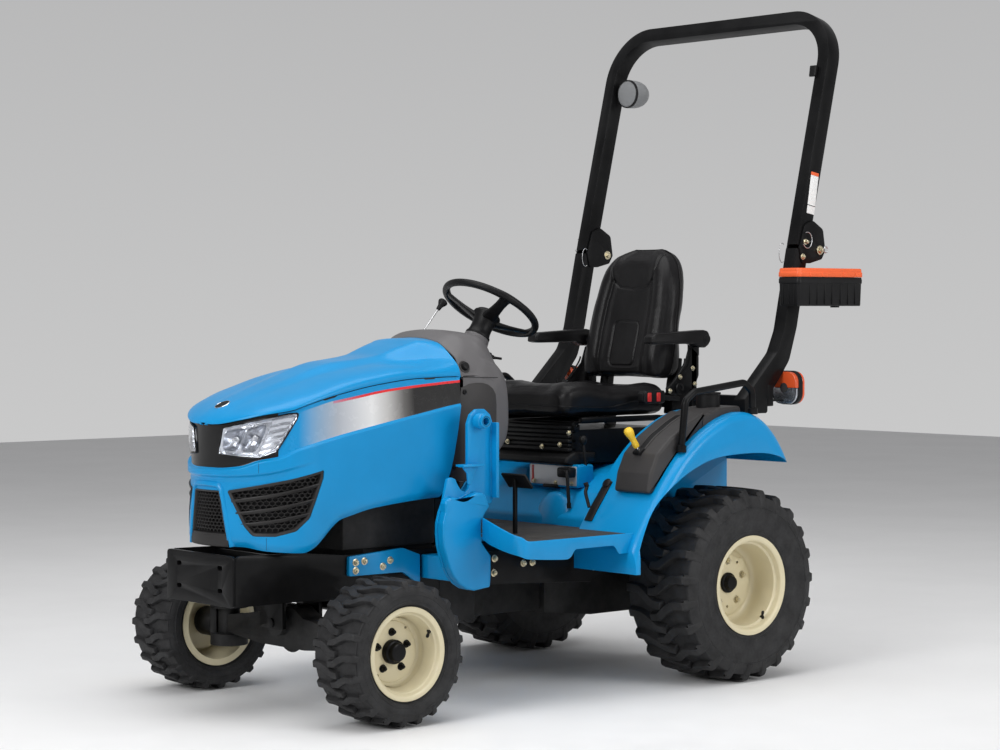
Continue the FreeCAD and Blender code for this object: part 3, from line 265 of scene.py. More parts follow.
material("black_plastic", (0.0055, 0.0055, 0.006), 0.42, spec=0.18, var=0.12, fine=850, fine_s=0.28, fine_d=0.0003)
material("vinyl", (0.0038, 0.0035, 0.0040), 0.34, spec=0.18, coat=0.03, var=0.12, vscale=9, fine=520, fine_s=0.22, fine_d=0.0005, kind="leather", wave=0.10, wave_scale=26)
material("rubber_mat", (0.030, 0.028, 0.026), 0.72, spec=0.25, var=0.15, vscale=20, fine=700, fine_s=0.35, fine_d=0.0005, dust=0.25, dust_col=(0.12, 0.11, 0.10))
material("tail_lens", (0.75, 0.10, 0.03), 0.12, coat=0.4, var=0.05, fine=240, fine_s=0.10)
material("amber_lens", (0.62, 0.085, 0.022), 0.12, coat=0.4, var=0.05, fine=240, fine_s=0.10)
material("orange_plastic", (0.798, 0.124, 0.033), 0.42, spec=0.35, var=0.05, fine=800, fine_s=0.2, fine_d=0.0003)
material("red_plastic", (0.62, 0.02, 0.015), 0.40, var=0.06, fine=800, fine_s=0.2)
material("yellow_plastic", (0.80, 0.52, 0.03), 0.42, var=0.06, fine=800, fine_s=0.2)
material("lamp_grey", (0.20, 0.205, 0.21), 0.35, spec=0.3, var=0.05, fine=700, fine_s=0.1)
material("zinc", (0.62, 0.56, 0.40), 0.30, metal=0.9, var=0.2, vscale=60, rvar=0.3, fine=500, fine_s=0.15, fine_d=0.0004)
material("steel", (0.52, 0.52, 0.53), 0.30, metal=0.95, var=0.12, vscale=40, rvar=0.3, fine=600, fine_s=0.15, kind="brushed")
material("chrome", (0.86, 0.87, 0.89), 0.07, metal=1.0, var=0.03, rvar=0.3, fine=90, fine_s=0.03)
material("reflector", (0.62, 0.64, 0.68), 0.24, metal=0.9, var=0.05, vscale=20, rvar=0.2, fine=40, fine_s=0.02, fine_d=0.0003)
material("white_label", (0.78, 0.78, 0.77), 0.35, var=0.03, fine=500, fine_s=0.05)
material("silver_label", (0.55, 0.56, 0.58), 0.32, metal=0.4, var=0.04, fine=500, fine_s=0.05)
material("tan_plastic", (0.33, 0.22, 0.12), 0.5, var=0.12, fine=600, fine_s=0.2)
material("engine_grey", (0.020, 0.021, 0.022), 0.5, spec=0.25, metal=0.3, var=0.35, vscale=25, fine=250, fine_s=0.4, fine_d=0.0008, dust=0.1)
material("hose", (0.014, 0.014, 0.014), 0.5, var=0.2, vscale=40, fine=900, fine_s=0.3)
# near-black for the shut-line gap, slots, part lines, seams and the sheets behind the grilles: painted shade standing
# in for the shadow inside these gaps
material("gap_dark", (0.004, 0.004, 0.005), 0.8, var=0.2, fine=500, fine_s=0.1)
material("bulb", (0.9, 0.9, 0.92), 0.1, metal=0.2, var=0.05, trans=0.3, fine=200, fine_s=0.05)


def glass(name, col, rough, bumpy, ior=1.35, amt=0.06):
    g = Graph(name)
    b = g.b
    c = g.ramp(g.noise(20, 2), [(0.3, tuple(x * 0.98 for x in col)), (0.7, col)])
    g.l(c, b.inputs["Base Color"])
    g.l(g.rng(g.noise(60, 3), 0.3, 0.7, rough * 0.7, rough * 1.4), b.inputs["Roughness"])
    b.inputs["Transmission Weight"].default_value = 1.0
    b.inputs["IOR"].default_value = ior
    b.inputs["Specular IOR Level"].default_value = 0.5
    g.l(g.bump(g.noise(bumpy, 1), amt, 0.0006), b.inputs["Normal"])
    MATS[name] = g.m


glass("lens", (0.97, 0.98, 1.0), 0.02, 12, 1.16, 0.01)
glass("clear_lens", (0.93, 0.95, 0.97), 0.08, 200)


def decal_material():
    g = Graph("decal")
    sep = g.n("ShaderNodeSeparateXYZ")
    g.l(g.tc.outputs["Object"], sep.inputs[0])
    f = g.rng(sep.outputs["Y"], YS - 0.93, YS - 0.225, 0.0, 1.0)
    wob = g.math("MULTIPLY", g.math("SUBTRACT", g.noise(9, 2), 0.5), 0.02)
    f = g.math("ADD", f, wob)
    c = g.ramp(f, [(0.0, BLUE), (0.08, BLUE), (0.17, (0.22, 0.36, 0.52)), (0.28, (0.40, 0.43, 0.48)), (0.47, (0.74, 0.74, 0.74)),
                   (0.56, (0.50, 0.49, 0.48)), (0.66, (0.12, 0.115, 0.11)), (0.72, (0.012, 0.011, 0.011)), (1.0, (0.010, 0.010, 0.010))])
    g.l(c, g.b.inputs["Base Color"])
    g.l(g.rng(g.noise(30, 3), 0.3, 0.7, 0.22, 0.30), g.b.inputs["Roughness"])
    g.b.inputs["Coat Weight"].default_value = 0.3
    g.b.inputs["Specular IOR Level"].default_value = 0.35
    g.l(g.bump(g.noise(500, 2), 0.03, 0.0003), g.b.inputs["Normal"])
    MATS["decal"] = g.m
    g = Graph("red_stripe")
    sep = g.n("ShaderNodeSeparateXYZ")
    g.l(g.tc.outputs["Object"], sep.inputs[0])
    f = g.rng(sep.outputs["Y"], YS - 0.80, YS - 0.62, 0.0, 1.0)
    f = g.math("ADD", f, g.math("MULTIPLY", g.math("SUBTRACT", g.noise(12, 2), 0.5), 0.02))
    c = g.ramp(f, [(0.0, (0.35, 0.36, 0.50)), (0.5, (0.55, 0.12, 0.18)), (1.0, (0.72, 0.012, 0.018))])
    g.l(c, g.b.inputs["Base Color"])
    g.l(g.rng(g.noise(30, 3), 0.3, 0.7, 0.22, 0.30), g.b.inputs["Roughness"])
    g.b.inputs["Coat Weight"].default_value = 0.4
    g.l(g.bump(g.noise(500, 2), 0.03, 0.0003), g.b.inputs["Normal"])
    MATS["red_stripe"] = g.m


decal_material()

SLOT_MAT = {"blue": "blue", "black_paint": "black_paint", "black_cast": "black_cast", "cream": "cream", "tyre": "tyre",
            "grey_plastic": "grey_plastic", "dark_plastic": "dark_plastic", "black_plastic": "black_plastic", "lens": "lens",
            "vinyl": "vinyl", "rubber_mat": "rubber_mat", "tail_lens": "tail_lens", "orange_plastic": "orange_plastic",
            "lamp_grey": "lamp_grey", "zinc": "zinc", "steel": "steel"}


# ------------------------------------------------------------------ mesh code
class MB:
    """collects vertices and faces, in mm"""

    def __init__(self):
        self.v, self.f, self.m = [], [], []

    def add(self, v, f, m=0):
        o = len(self.v)
        self.v.extend(tuple(p) for p in v)
        self.f.extend(tuple(i + o for i in q) for q in f)
        self.m.extend([m] * len(f))
        return self

    def join(self, other, m=None):
        o = len(self.v)
        self.v.extend(other.v)
        self.f.extend(tuple(i + o for i in q) for q in other.f)
        self.m.extend(other.m if m is None else [m] * len(other.f))
        return self

    def mir(self):
        r = MB()
        r.v = [(-x, y, z) for x, y, z in self.v]
        r.f = [tuple(reversed(q)) for q in self.f]
        r.m = list(self.m)
        return r

    def both(self):
        r = MB()
        r.join(self).join(self.mir())
        return r

    def xf(self, mat):
        r = MB()
        r.v = [tuple(mat @ Vector(p)) for p in self.v]
        r.f, r.m = list(self.f), list(self.m)
        return r


def grid(mb, rows, m=0, wrap=False, caps=False):
    """rows: list of equally long lists of points"""
    n = len(rows[0])
    v = [p for r in rows for p in r]
    f = []
    for i in range(len(rows) - 1):
        for j in range(n if wrap else n - 1):
            k = (j + 1) % n
            f.append((i * n + j, i * n + k, (i + 1) * n + k, (i + 1) * n + j))
    if caps:
        f.append(tuple(reversed(range(n))))
        f.append(tuple((len(rows) - 1) * n + j for j in range(n)))
    mb.add(v, f, m)
    return mb


def basis(d):
    d = Vector(d).normalized()
    u = d.cross(Vector((0, 0, 1)) if abs(d.z) < 0.9 else Vector((1, 0, 0))).normalized()
    return u, d.cross(u).normalized(), d


def lathe(mb, prof, p, d, seg=40, m=0, closed=False, a0=0.0):
    """prof: (r, t) along the axis d from p"""
    u, w, d = basis(d)
    p = Vector(p)
    rows = []
    for k in range(seg):
        a = a0 + 2 * math.pi * k / seg
        e = u * math.cos(a) + w * math.sin(a)
        rows.append([p + e * r + d * t for r, t in prof])
    rows.append(rows[0])
    if closed:
        rows = [r + [r[0]] for r in rows]
    return grid(mb, rows, m)


def rod(mb, p, d, r, h, seg=24, ch=None, m=0):
    """round bar with small rounded ends"""
    c = min(0.8 if ch is None else ch, r * 0.45, h * 0.45)
    q = 0.29 * c
    prof = [(0, 0), (r - c, 0), (r - q, q), (r, c), (r, h - c), (r - q, h - q), (r - c, h), (0, h)]
    return lathe(mb, prof, p, d, seg, m)


def between(mb, a, b, r, seg=20, m=0, ch=None):
    a, b = Vector(a), Vector(b)
    return rod(mb, a, b - a, r, (b - a).length, seg, ch, m)


def hexbolt(mb, p, d, r=7.0, h=6.0, m=0, washer=True, a0=0.3):
    """hex head with a chamfered top on a washer; p is on the seat face"""
    u, w, d = basis(d)
    p = Vector(p)
    if washer:
        rod(mb, p, d, r * 1.35, 1.6, 20, 0.5, m)
        p = p + d * 1.6
    rows = []
    for rr, t in ((r, 0), (r, h * 0.78), (r * 0.86, h), (r * 0.80, h)):
        row = []
        for k in range(6):
            a = a0 + math.pi / 3 * k
            row.append(p + (u * math.cos(a) + w * math.sin(a)) * rr + d * t)
        rows.append(row)
    grid(mb, rows, m, wrap=True, caps=True)
    rod(mb, p + d * h * 0.6, d, r * 0.5, h * 0.9, 12, 0.6, m)
    return mb


def round_poly(pts, rad, seg=5):
    """rounds the corners of a closed 2-D polygon"""
    n = len(pts)
    if not isinstance(rad, (list, tuple)):
        rad = [rad] * n
    out = []
    for i in range(n):
        p = Vector((pts[i][0], pts[i][1]))
        a = Vector((pts[i - 1][0], pts[i - 1][1])) - p
        b = Vector((pts[(i + 1) % n][0], pts[(i + 1) % n][1])) - p
        la, lb = a.length, b.length
        a.normalize()
        b.normalize()
        ang = a.angle(b)
        if rad[i] <= 0 or abs(ang - math.pi) < 0.02:
            out.append((p.x, p.y))
            continue
        t = min(rad[i] / math.tan(ang / 2), 0.48 * la, 0.48 * lb)
        r = t * math.tan(ang / 2)
        bis = (a + b).normalized()
        c = p + bis * (r / math.sin(ang / 2))
        s, e = p + a * t - c, p + b * t - c
        tot = s.angle_signed(e) if s.length and e.length else 0
        for k in range(seg + 1):
            f = k / seg
            v = s.copy()
            ang2 = -tot * f
            out.append((c.x + s.x * math.cos(ang2) - s.y * math.sin(ang2), c.y + s.x * math.sin(ang2) + s.y * math.cos(ang2)))
    return out


def area2(p):
    return sum(p[i - 1][0] * p[i][1] - p[i][0] * p[i - 1][1] for i in range(len(p))) / 2


def inset(poly, d):
    """moves each corner of a closed polygon inwards by d (small against its edges)"""
    s = 1 if area2(poly) > 0 else -1
    n = len(poly)
    out = []
    for i in range(n):
        x0, y0 = poly[i - 1]
        x1, y1 = poly[i]
        x2, y2 = poly[(i + 1) % n]
        a = Vector((x1 - x0, y1 - y0))
        b = Vector((x2 - x1, y2 - y1))
        if a.length < 1e-9 or b.length < 1e-9:
            out.append((x1, y1))
            continue
        a.normalize()
        b.normalize()
        na, nb = Vector((-a.y, a.x)) * s, Vector((-b.y, b.x)) * s
        k = na + nb
        if k.length < 1e-6:
            k = na
        k.normalize()
        c = max(0.35, k.dot(na))
        out.append((x1 + k.x * d / c, y1 + k.y * d / c))
    return out


AX = {"x": lambda p, t: (t, p[0], p[1]), "y": lambda p, t: (p[0], t, p[1]), "z": lambda p, t: (p[0], p[1], t)}


def prism(mb, poly, axis, a, b, bev=1.2, m=0, seg=2):
    """closed polygon pushed along an axis, its rims rounded by bev"""
    f = AX[axis]
    rows = []
    lv = []
    for k in range(seg + 1):
        t = math.pi / 2 * k / seg
        lv.append((bev * (1 - math.sin(t)), bev * (1 - math.cos(t))))
    for ins, dep in lv:
        rows.append([f(p, a + dep) for p in inset(poly, ins)])
    for ins, dep in reversed(lv):
        rows.append([f(p, b - dep) for p in inset(poly, ins)])
    grid(mb, rows, m, wrap=True, caps=True)
    return mb


def rbox(mb, x0, x1, y0, y1, z0, z1, r=3.0, m=0, axis="x", bev=None):
    if axis == "x":
        pl = [(y0, z0), (y1, z0), (y1, z1), (y0, z1)]
        a, b = x0, x1
    elif axis == "y":
        pl = [(x0, z0), (x1, z0), (x1, z1), (x0, z1)]
        a, b = y0, y1
    else:
        pl = [(x0, y0), (x1, y0), (x1, y1), (x0, y1)]
        a, b = z0, z1
    return prism(mb, round_poly(pl, r, 3), axis, a, b, min(r, 1.5) if bev is None else bev, m)


def frames(pts):
    pts = [Vector(p) for p in pts]
    tn = []
    for i in range(len(pts)):
        a = pts[max(0, i - 1)]
        b = pts[min(len(pts) - 1, i + 1)]
        tn.append((b - a).normalized())
    u, w, _ = basis(tn[0])
    fr = [(u, w)]
    for i in range(1, len(pts)):
        q = tn[i - 1].rotation_difference(tn[i])
        u = (q @ fr[-1][0]).normalized()
        u = (u - tn[i] * u.dot(tn[i])).normalized()
        fr.append((u, tn[i].cross(u).normalized()))
    return pts, tn, fr


def pipe(mb, pts, r, seg=14, m=0, caps=True):
    pts, tn, fr = frames(pts)
    rows = []
    for i, p in enumerate(pts):
        rr = r[i] if isinstance(r, (list, tuple)) else r
        rows.append([p + (fr[i][0] * math.cos(2 * math.pi * k / seg) + fr[i][1] * math.sin(2 * math.pi * k / seg)) * rr for k in range(seg)])
    return grid(mb, rows, m, wrap=True, caps=caps)


def sweep(mb, pts, prof, up, m=0, caps=True, wrap=True):
    """prof: 2-D points (side, up); up: fixed direction or list"""
    pts = [Vector(p) for p in pts]
    rows = []
    for i, p in enumerate(pts):
        a = pts[max(0, i - 1)]
        b = pts[min(len(pts) - 1, i + 1)]
        t = (b - a).normalized()
        U = Vector(up[i] if isinstance(up, list) else up)
        s = t.cross(U).normalized()
        U = s.cross(t).normalized()
        rows.append([p + s * q[0] + U * q[1] for q in prof])
    return grid(mb, rows, m, wrap=wrap, caps=caps)


def spline(pts, n=8):
    """Catmull-Rom through points"""
    P_ = [Vector(p) for p in pts]
    out = []
    for i in range(len(P_) - 1):
        p0 = P_[max(0, i - 1)]
        p1, p2 = P_[i], P_[i + 1]
        p3 = P_[min(len(P_) - 1, i + 2)]
        for k in range(n):
            t = k / n
            out.append(0.5 * ((2 * p1) + (p2 - p0) * t + (2 * p0 - 5 * p1 + 4 * p2 - p3) * t * t + (3 * p1 - p0 - 3 * p2 + p3) * t ** 3))
    out.append(P_[-1])
    return out


def bend(pts, r, seg=6):
    """straight runs with arcs at the corners"""
    P_ = [Vector(p) for p in pts]
    out = [P_[0]]
    for i in range(1, len(P_) - 1):
        p, a, b = P_[i], P_[i - 1] - P_[i], P_[i + 1] - P_[i]
        la, lb = a.length, b.length
        a.normalize()
        b.normalize()
        ang = a.angle(b)
        if abs(ang - math.pi) < 0.02:
            out.append(p)
            continue
        t = min(r / math.tan(ang / 2), 0.48 * la, 0.48 * lb)
        rr = t * math.tan(ang / 2)
        c = p + (a + b).normalized() * (rr / math.sin(ang / 2))
        s, e = (p + a * t) - c, (p + b * t) - c
        tot = s.angle(e)
        ax = s.cross(e).normalized()
        for k in range(seg + 1):
            out.append(c + Matrix.Rotation(tot * k / seg, 3, ax) @ s)
    out.append(P_[-1])
    return out


def mk(name, mb, mats, body, rep=(), ang=35, normals=True, weld=0.02):
    me = bpy.data.meshes.new(name)
    me.from_pydata([P(*p) for p in mb.v], [], mb.f)
    for k in ([mats] if isinstance(mats, str) else mats):
        me.materials.append(MATS[k])
    for p, i in zip(me.polygons, mb.m):
        p.material_index = i
    bm = bmesh.new()
    bm.from_mesh(me)
    bmesh.ops.remove_doubles(bm, verts=bm.verts, dist=weld * 0.001)
    bmesh.ops.dissolve_degenerate(bm, dist=1e-6, edges=bm.edges)
    if normals:
        bmesh.ops.recalc_face_normals(bm, faces=bm.faces)
    bm.to_mesh(me)
    bm.free()
    ob = bpy.data.objects.new(name, me)
    bpy.context.scene.collection.objects.link(ob)
    finish(ob, body, rep, ang)
    return ob


def finish(ob, body, rep=(), ang=35):
    ob.data.shade_smooth()
    ob.data.set_sharp_from_angle(angle=math.radians(ang))
    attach(ob, body)
    if isinstance(rep, str):
        rep = (rep,)
    if rep:
        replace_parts(ob, *rep)


def apply_mods(ob):
    bpy.context.view_layer.update()
    dg = bpy.context.evaluated_depsgraph_get()
    me = bpy.data.meshes.new_from_object(ob.evaluated_get(dg), depsgraph=dg)
    old = ob.data
    ob.modifiers.clear()
    ob.data = me
    bpy.data.meshes.remove(old)
    me.name = ob.name
    return ob


def cut(ob, cutters, op="DIFFERENCE", solver="EXACT"):
    """boolean of ob with plain meshes (MB), then applied"""
    tmp = []
    for i, c in enumerate(cutters):
        me = bpy.data.meshes.new("cutter")
        me.from_pydata([P(*p) for p in c.v], [], c.f)
        bm = bmesh.new()
        bm.from_mesh(me)
        bmesh.ops.remove_doubles(bm, verts=bm.verts, dist=1e-6)
        bmesh.ops.recalc_face_normals(bm, faces=bm.faces)
        bm.to_mesh(me)
        bm.free()
        o = bpy.data.objects.new("cutter%d" % i, me)
        bpy.context.scene.collection.objects.link(o)
        md = ob.modifiers.new("b%d" % i, "BOOLEAN")
        md.operation = op
        md.solver = solver
        md.object = o
        tmp.append(o)
    apply_mods(ob)
    for o in tmp:
        me = o.data
        bpy.data.objects.remove(o)
        bpy.data.meshes.remove(me)
    return ob


def soft(node, w=1.2, mat=None, seg=2, ang=38, keep=False, name=None, dissolve=1.2):
    """a copy of a CAD node with its edges rounded"""
    src = NODES[node]
    me = src.data.copy()
    ob = bpy.data.objects.new(name or node + "_v", me)
    bpy.context.scene.collection.objects.link(ob)
    bm = bmesh.new()
    bm.from_mesh(me)
    bmesh.ops.remove_doubles(bm, verts=bm.verts, dist=3e-5)
    bmesh.ops.dissolve_limit(bm, angle_limit=math.radians(dissolve), verts=bm.verts, edges=bm.edges, delimit=set())
    bmesh.ops.recalc_face_normals(bm, faces=bm.faces)
    bm.to_mesh(me)
    bm.free()
    md = ob.modifiers.new("bev", "BEVEL")
    md.width = w * 0.001
    md.segments = seg
    md.limit_method = "ANGLE"
    md.angle_limit = math.radians(ang)
    md.use_clamp_overlap = True
    md.miter_outer = "MITER_ARC"
    apply_mods(ob)
    ob.data.materials.clear()
    ob.data.materials.append(MATS[mat])
    for p in ob.data.polygons:
        p.material_index = 0
    finish(ob, src["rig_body"], node, 35)
    return ob


def node_mat(node, mat):
    o = NODES[node]
    o.data.materials.clear()
    o.data.materials.append(MATS[mat])
    o.data.shade_smooth()
    o.data.set_sharp_from_angle(angle=math.radians(30))


# ------------------------------------------------------------------ wheels
def lug(xa, R, base, half, leng, w_top, w_base, depth, start, outer_drop, n=14, bend_s=0.46):
    """one bar of an R4 tread, right half, running from the shoulder (x = half) to just past the middle;
    returns its centre line as (x, s, nx, ns), each point with the normal across the bar; s is the distance round the
    tyre"""
    # centre line (x, s)
    pts = [(half, 0.0), (half * 0.80, 0.5), (half * 0.60, leng * 0.05), (half * 0.42, leng * 0.30), (half * 0.26, leng * 0.62),
           (half * 0.10, leng * 0.93), (-half * 0.06, leng * 1.0), (-half * 0.20, leng * 1.02)]
    cl = []
    for i in range(len(pts) - 1):
        for k in range(2):
            t = k / 2
            cl.append((pts[i][0] + (pts[i + 1][0] - pts[i][0]) * t, pts[i][1] + (pts[i + 1][1] - pts[i][1]) * t))
    cl.append(pts[-1])
    out = []
    for i, (x, s) in enumerate(cl):
        a = cl[max(0, i - 1)]
        b = cl[min(len(cl) - 1, i + 1)]
        dx, ds = b[0] - a[0], b[1] - a[1]
        L = math.hypot(dx, ds)
        nx, ns = -ds / L, dx / L
        out.append((x, s, nx, ns))
    return out


def tyre_mesh(name, body, node, xc, w, R, bead, cy, cz, sgn, seat, lugs, depth, wtop, offs, mirror_phase):
    h = w / 2
    fs = seat - 2.2
    Rc = R - depth                      # carcass under the lugs
    crown = depth * 0.28
    # carcass outline from the bead outwards, over the tread and back
    half = []
    half += [(fs - 12, bead + 2), (fs - 3, bead + 1.6), (fs - 0.6, bead + 4), (fs - 0.2, bead + 12), (fs + 0.6, bead + 17)]
    H = R - bead
    side = [(fs + 4, bead + 22), (h * 0.955, bead + H * 0.30), (h * 0.985, bead + H * 0.40), (h * 0.994, bead + H * 0.50),
            (h * 0.990, bead + H * 0.60), (h * 0.972, bead + H * 0.70), (h * 0.945, bead + H * 0.77)]
    half += side
    # tread of the carcass
    sh = h * 0.90
    half += [(h * 0.925, Rc - crown - 5), (sh, Rc - crown + 0.0), (sh * 0.85, Rc - crown * 0.72), (sh * 0.6, Rc - crown * 0.36), (sh * 0.3, Rc - crown * 0.1), (0, Rc)]
    # raised thin ring on the side wall and a rim-guard rib
    prof = []
    ring_r = bead + H * 0.635 if R > 280 else bead + H * 0.56
    for (x, r) in half:
        prof.append((x, r))
    sp = [Vector((x, r, 0)) for x, r in prof[4:]]
    fine = spline(sp, 4)
    prof = [(x, r) for x, r in prof[:4]] + [(p.x, p.y) for p in fine]
    out = []
    for i, (x, r) in enumerate(prof):
        out.append((x, r))
    # thin ring inserted on the flank
    def ins_ring(pr, rr, wd, ht):
        o = []
        done = False
        for i, (x, r) in enumerate(pr):
            o.append((x, r))
            if not done and i + 1 < len(pr) and r <= rr < pr[i + 1][1] and x > h * 0.9:
                x0 = x + (pr[i + 1][0] - x) * (rr - r) / (pr[i + 1][1] - r)
                o += [(x0, rr - wd), (x0 + ht, rr - wd * 0.45), (x0 + ht, rr + wd * 0.45), (x0, rr + wd)]
                done = True
        return o
    out = ins_ring(out, ring_r, 1.6, 1.1)
    out = ins_ring(out, bead + 27, 2.2, 1.2)
    out = ins_ring(out, bead + 35, 0.9, 0.7)
    full = out + [(-x, r) for x, r in reversed(out[:-1])]
    full = full + [(-(fs - 16), bead + 8), (-(h * 0.80), bead + H * 0.45), (-(h * 0.72), Rc - 14), (h * 0.72, Rc - 14), (h * 0.80, bead + H * 0.45), (fs - 16, bead + 8)]
    mb = MB()
    seg = 180 if R > 280 else 132
    rows = []
    for k in range(seg):
        a = 2 * math.pi * k / seg
        rows.append([(sgn * (xc + x), cy - r * math.sin(a), cz + r * math.cos(a)) for x, r in full])
    rows.append(rows[0])
    grid(mb, [r + [r[0]] for r in rows])
    # fine circumferential moulding lines come from the rings; now the lugs
    top = h * 0.84

    def rad(x):                          # crown of the lug tops
        t = min(1.0, abs(x) / top)
        return R - 0.4 - crown * 0.55 * t * t

    def base(x):
        t = min(1.0, abs(x) / sh)
        return Rc - crown * t * t - 3.0

    pitch = 2 * math.pi * R / lugs
    for rowi, sd in ((0, 1), (1, -1)):
        for k in range(lugs):
            s0 = pitch * (k + (0.5 if rowi else 0.0) + mirror_phase)
            cl = lug(0, R, 0, top, offs, wtop, wtop * 1.3, depth, 0, 0)
            sec = []
            n = len(cl)
            for i, (x, s, nx, ns) in enumerate(cl):
                u = i / (n - 1)
                wt = wtop * (1.0 if u < 0.75 else 1.0 - 0.10 * (u - 0.75) / 0.25)
                wb = wt + depth * 0.62
                rt, rb = rad(x), base(x)
                c = 1.3
                pr = [(-wb / 2, rb), (-wt / 2 - 0.5, rt - c), (-wt / 2 + c * 0.7, rt - 0.25), (-wt / 4, rt), (wt / 4, rt), (wt / 2 - c * 0.7, rt - 0.25), (wt / 2 + 0.5, rt - c), (wb / 2, rb)]
                sec.append([(x + nx * q, s + ns * q, r) for q, r in pr])
            # rounded inner end
            x, s, nx, ns = cl[-1]
            ex, es = cl[-1][0] - cl[-2][0], cl[-1][1] - cl[-2][1]
            L = math.hypot(ex, es)
            ex, es = ex / L, es / L
            e1 = [(px + ex * 1.2, ps + es * 1.2, r - (1.3 if r > base(x) + 2 else 0)) for px, ps, r in sec[-1]]
            e2 = [(px + ex * depth * 0.34, ps + es * depth * 0.34, base(x)) for px, ps, r in sec[-1]]
            sec += [e1, e2]
            # outer end: over the shoulder and down the flank as a buttress
            o1 = [(top + 2.2, ps, r - 1.6 if r > base(top) + 2 else r) for px, ps, r in sec[0]]
            drop = []
            for j, (xx, rr, ww, pr_) in enumerate(((h * 0.885, R - depth * 0.50, 1.02, 1.0), (h * 0.930, R - depth * 1.05, 1.06, 1.0), (h * 0.968, bead + H * 0.73, 1.02, 1.0),
                                                   (h * 0.992, bead + H * 0.665, 0.96, 1.0), (h * 0.972, bead + H * 0.635, 0.80, 1.0))):
                row = []
                for q, (px, ps, r) in enumerate(sec[0]):
                    f = (0, 1)[1] if 0 < q < 7 else 0
                    d = (ps - cl[0][1]) * ww
                    if q in (0, 7):
                        row.append((xx - depth * 0.35 - 2, cl[0][1] + d, rr - 4))
                    else:
                        e = 0.9 if q in (1, 6) else (0.2 if q in (2, 5) else 0.0)
                        row.append((xx - e, cl[0][1] + d, rr - e * 0.5))
                drop.append(row)
            sec = list(reversed(drop)) + [o1] + sec
            rows = []
            for row in sec:
                o = []
                for x, s, r in row:
                    a = (s0 + s) / R
                    o.append((sgn * (xc + sd * x), cy - r * math.sin(a), cz + r * math.cos(a)))
                rows.append(o)
            grid(mb, rows)
    ob = mk(name, mb, "tyre", body, node, ang=32, normals=True)
    return ob


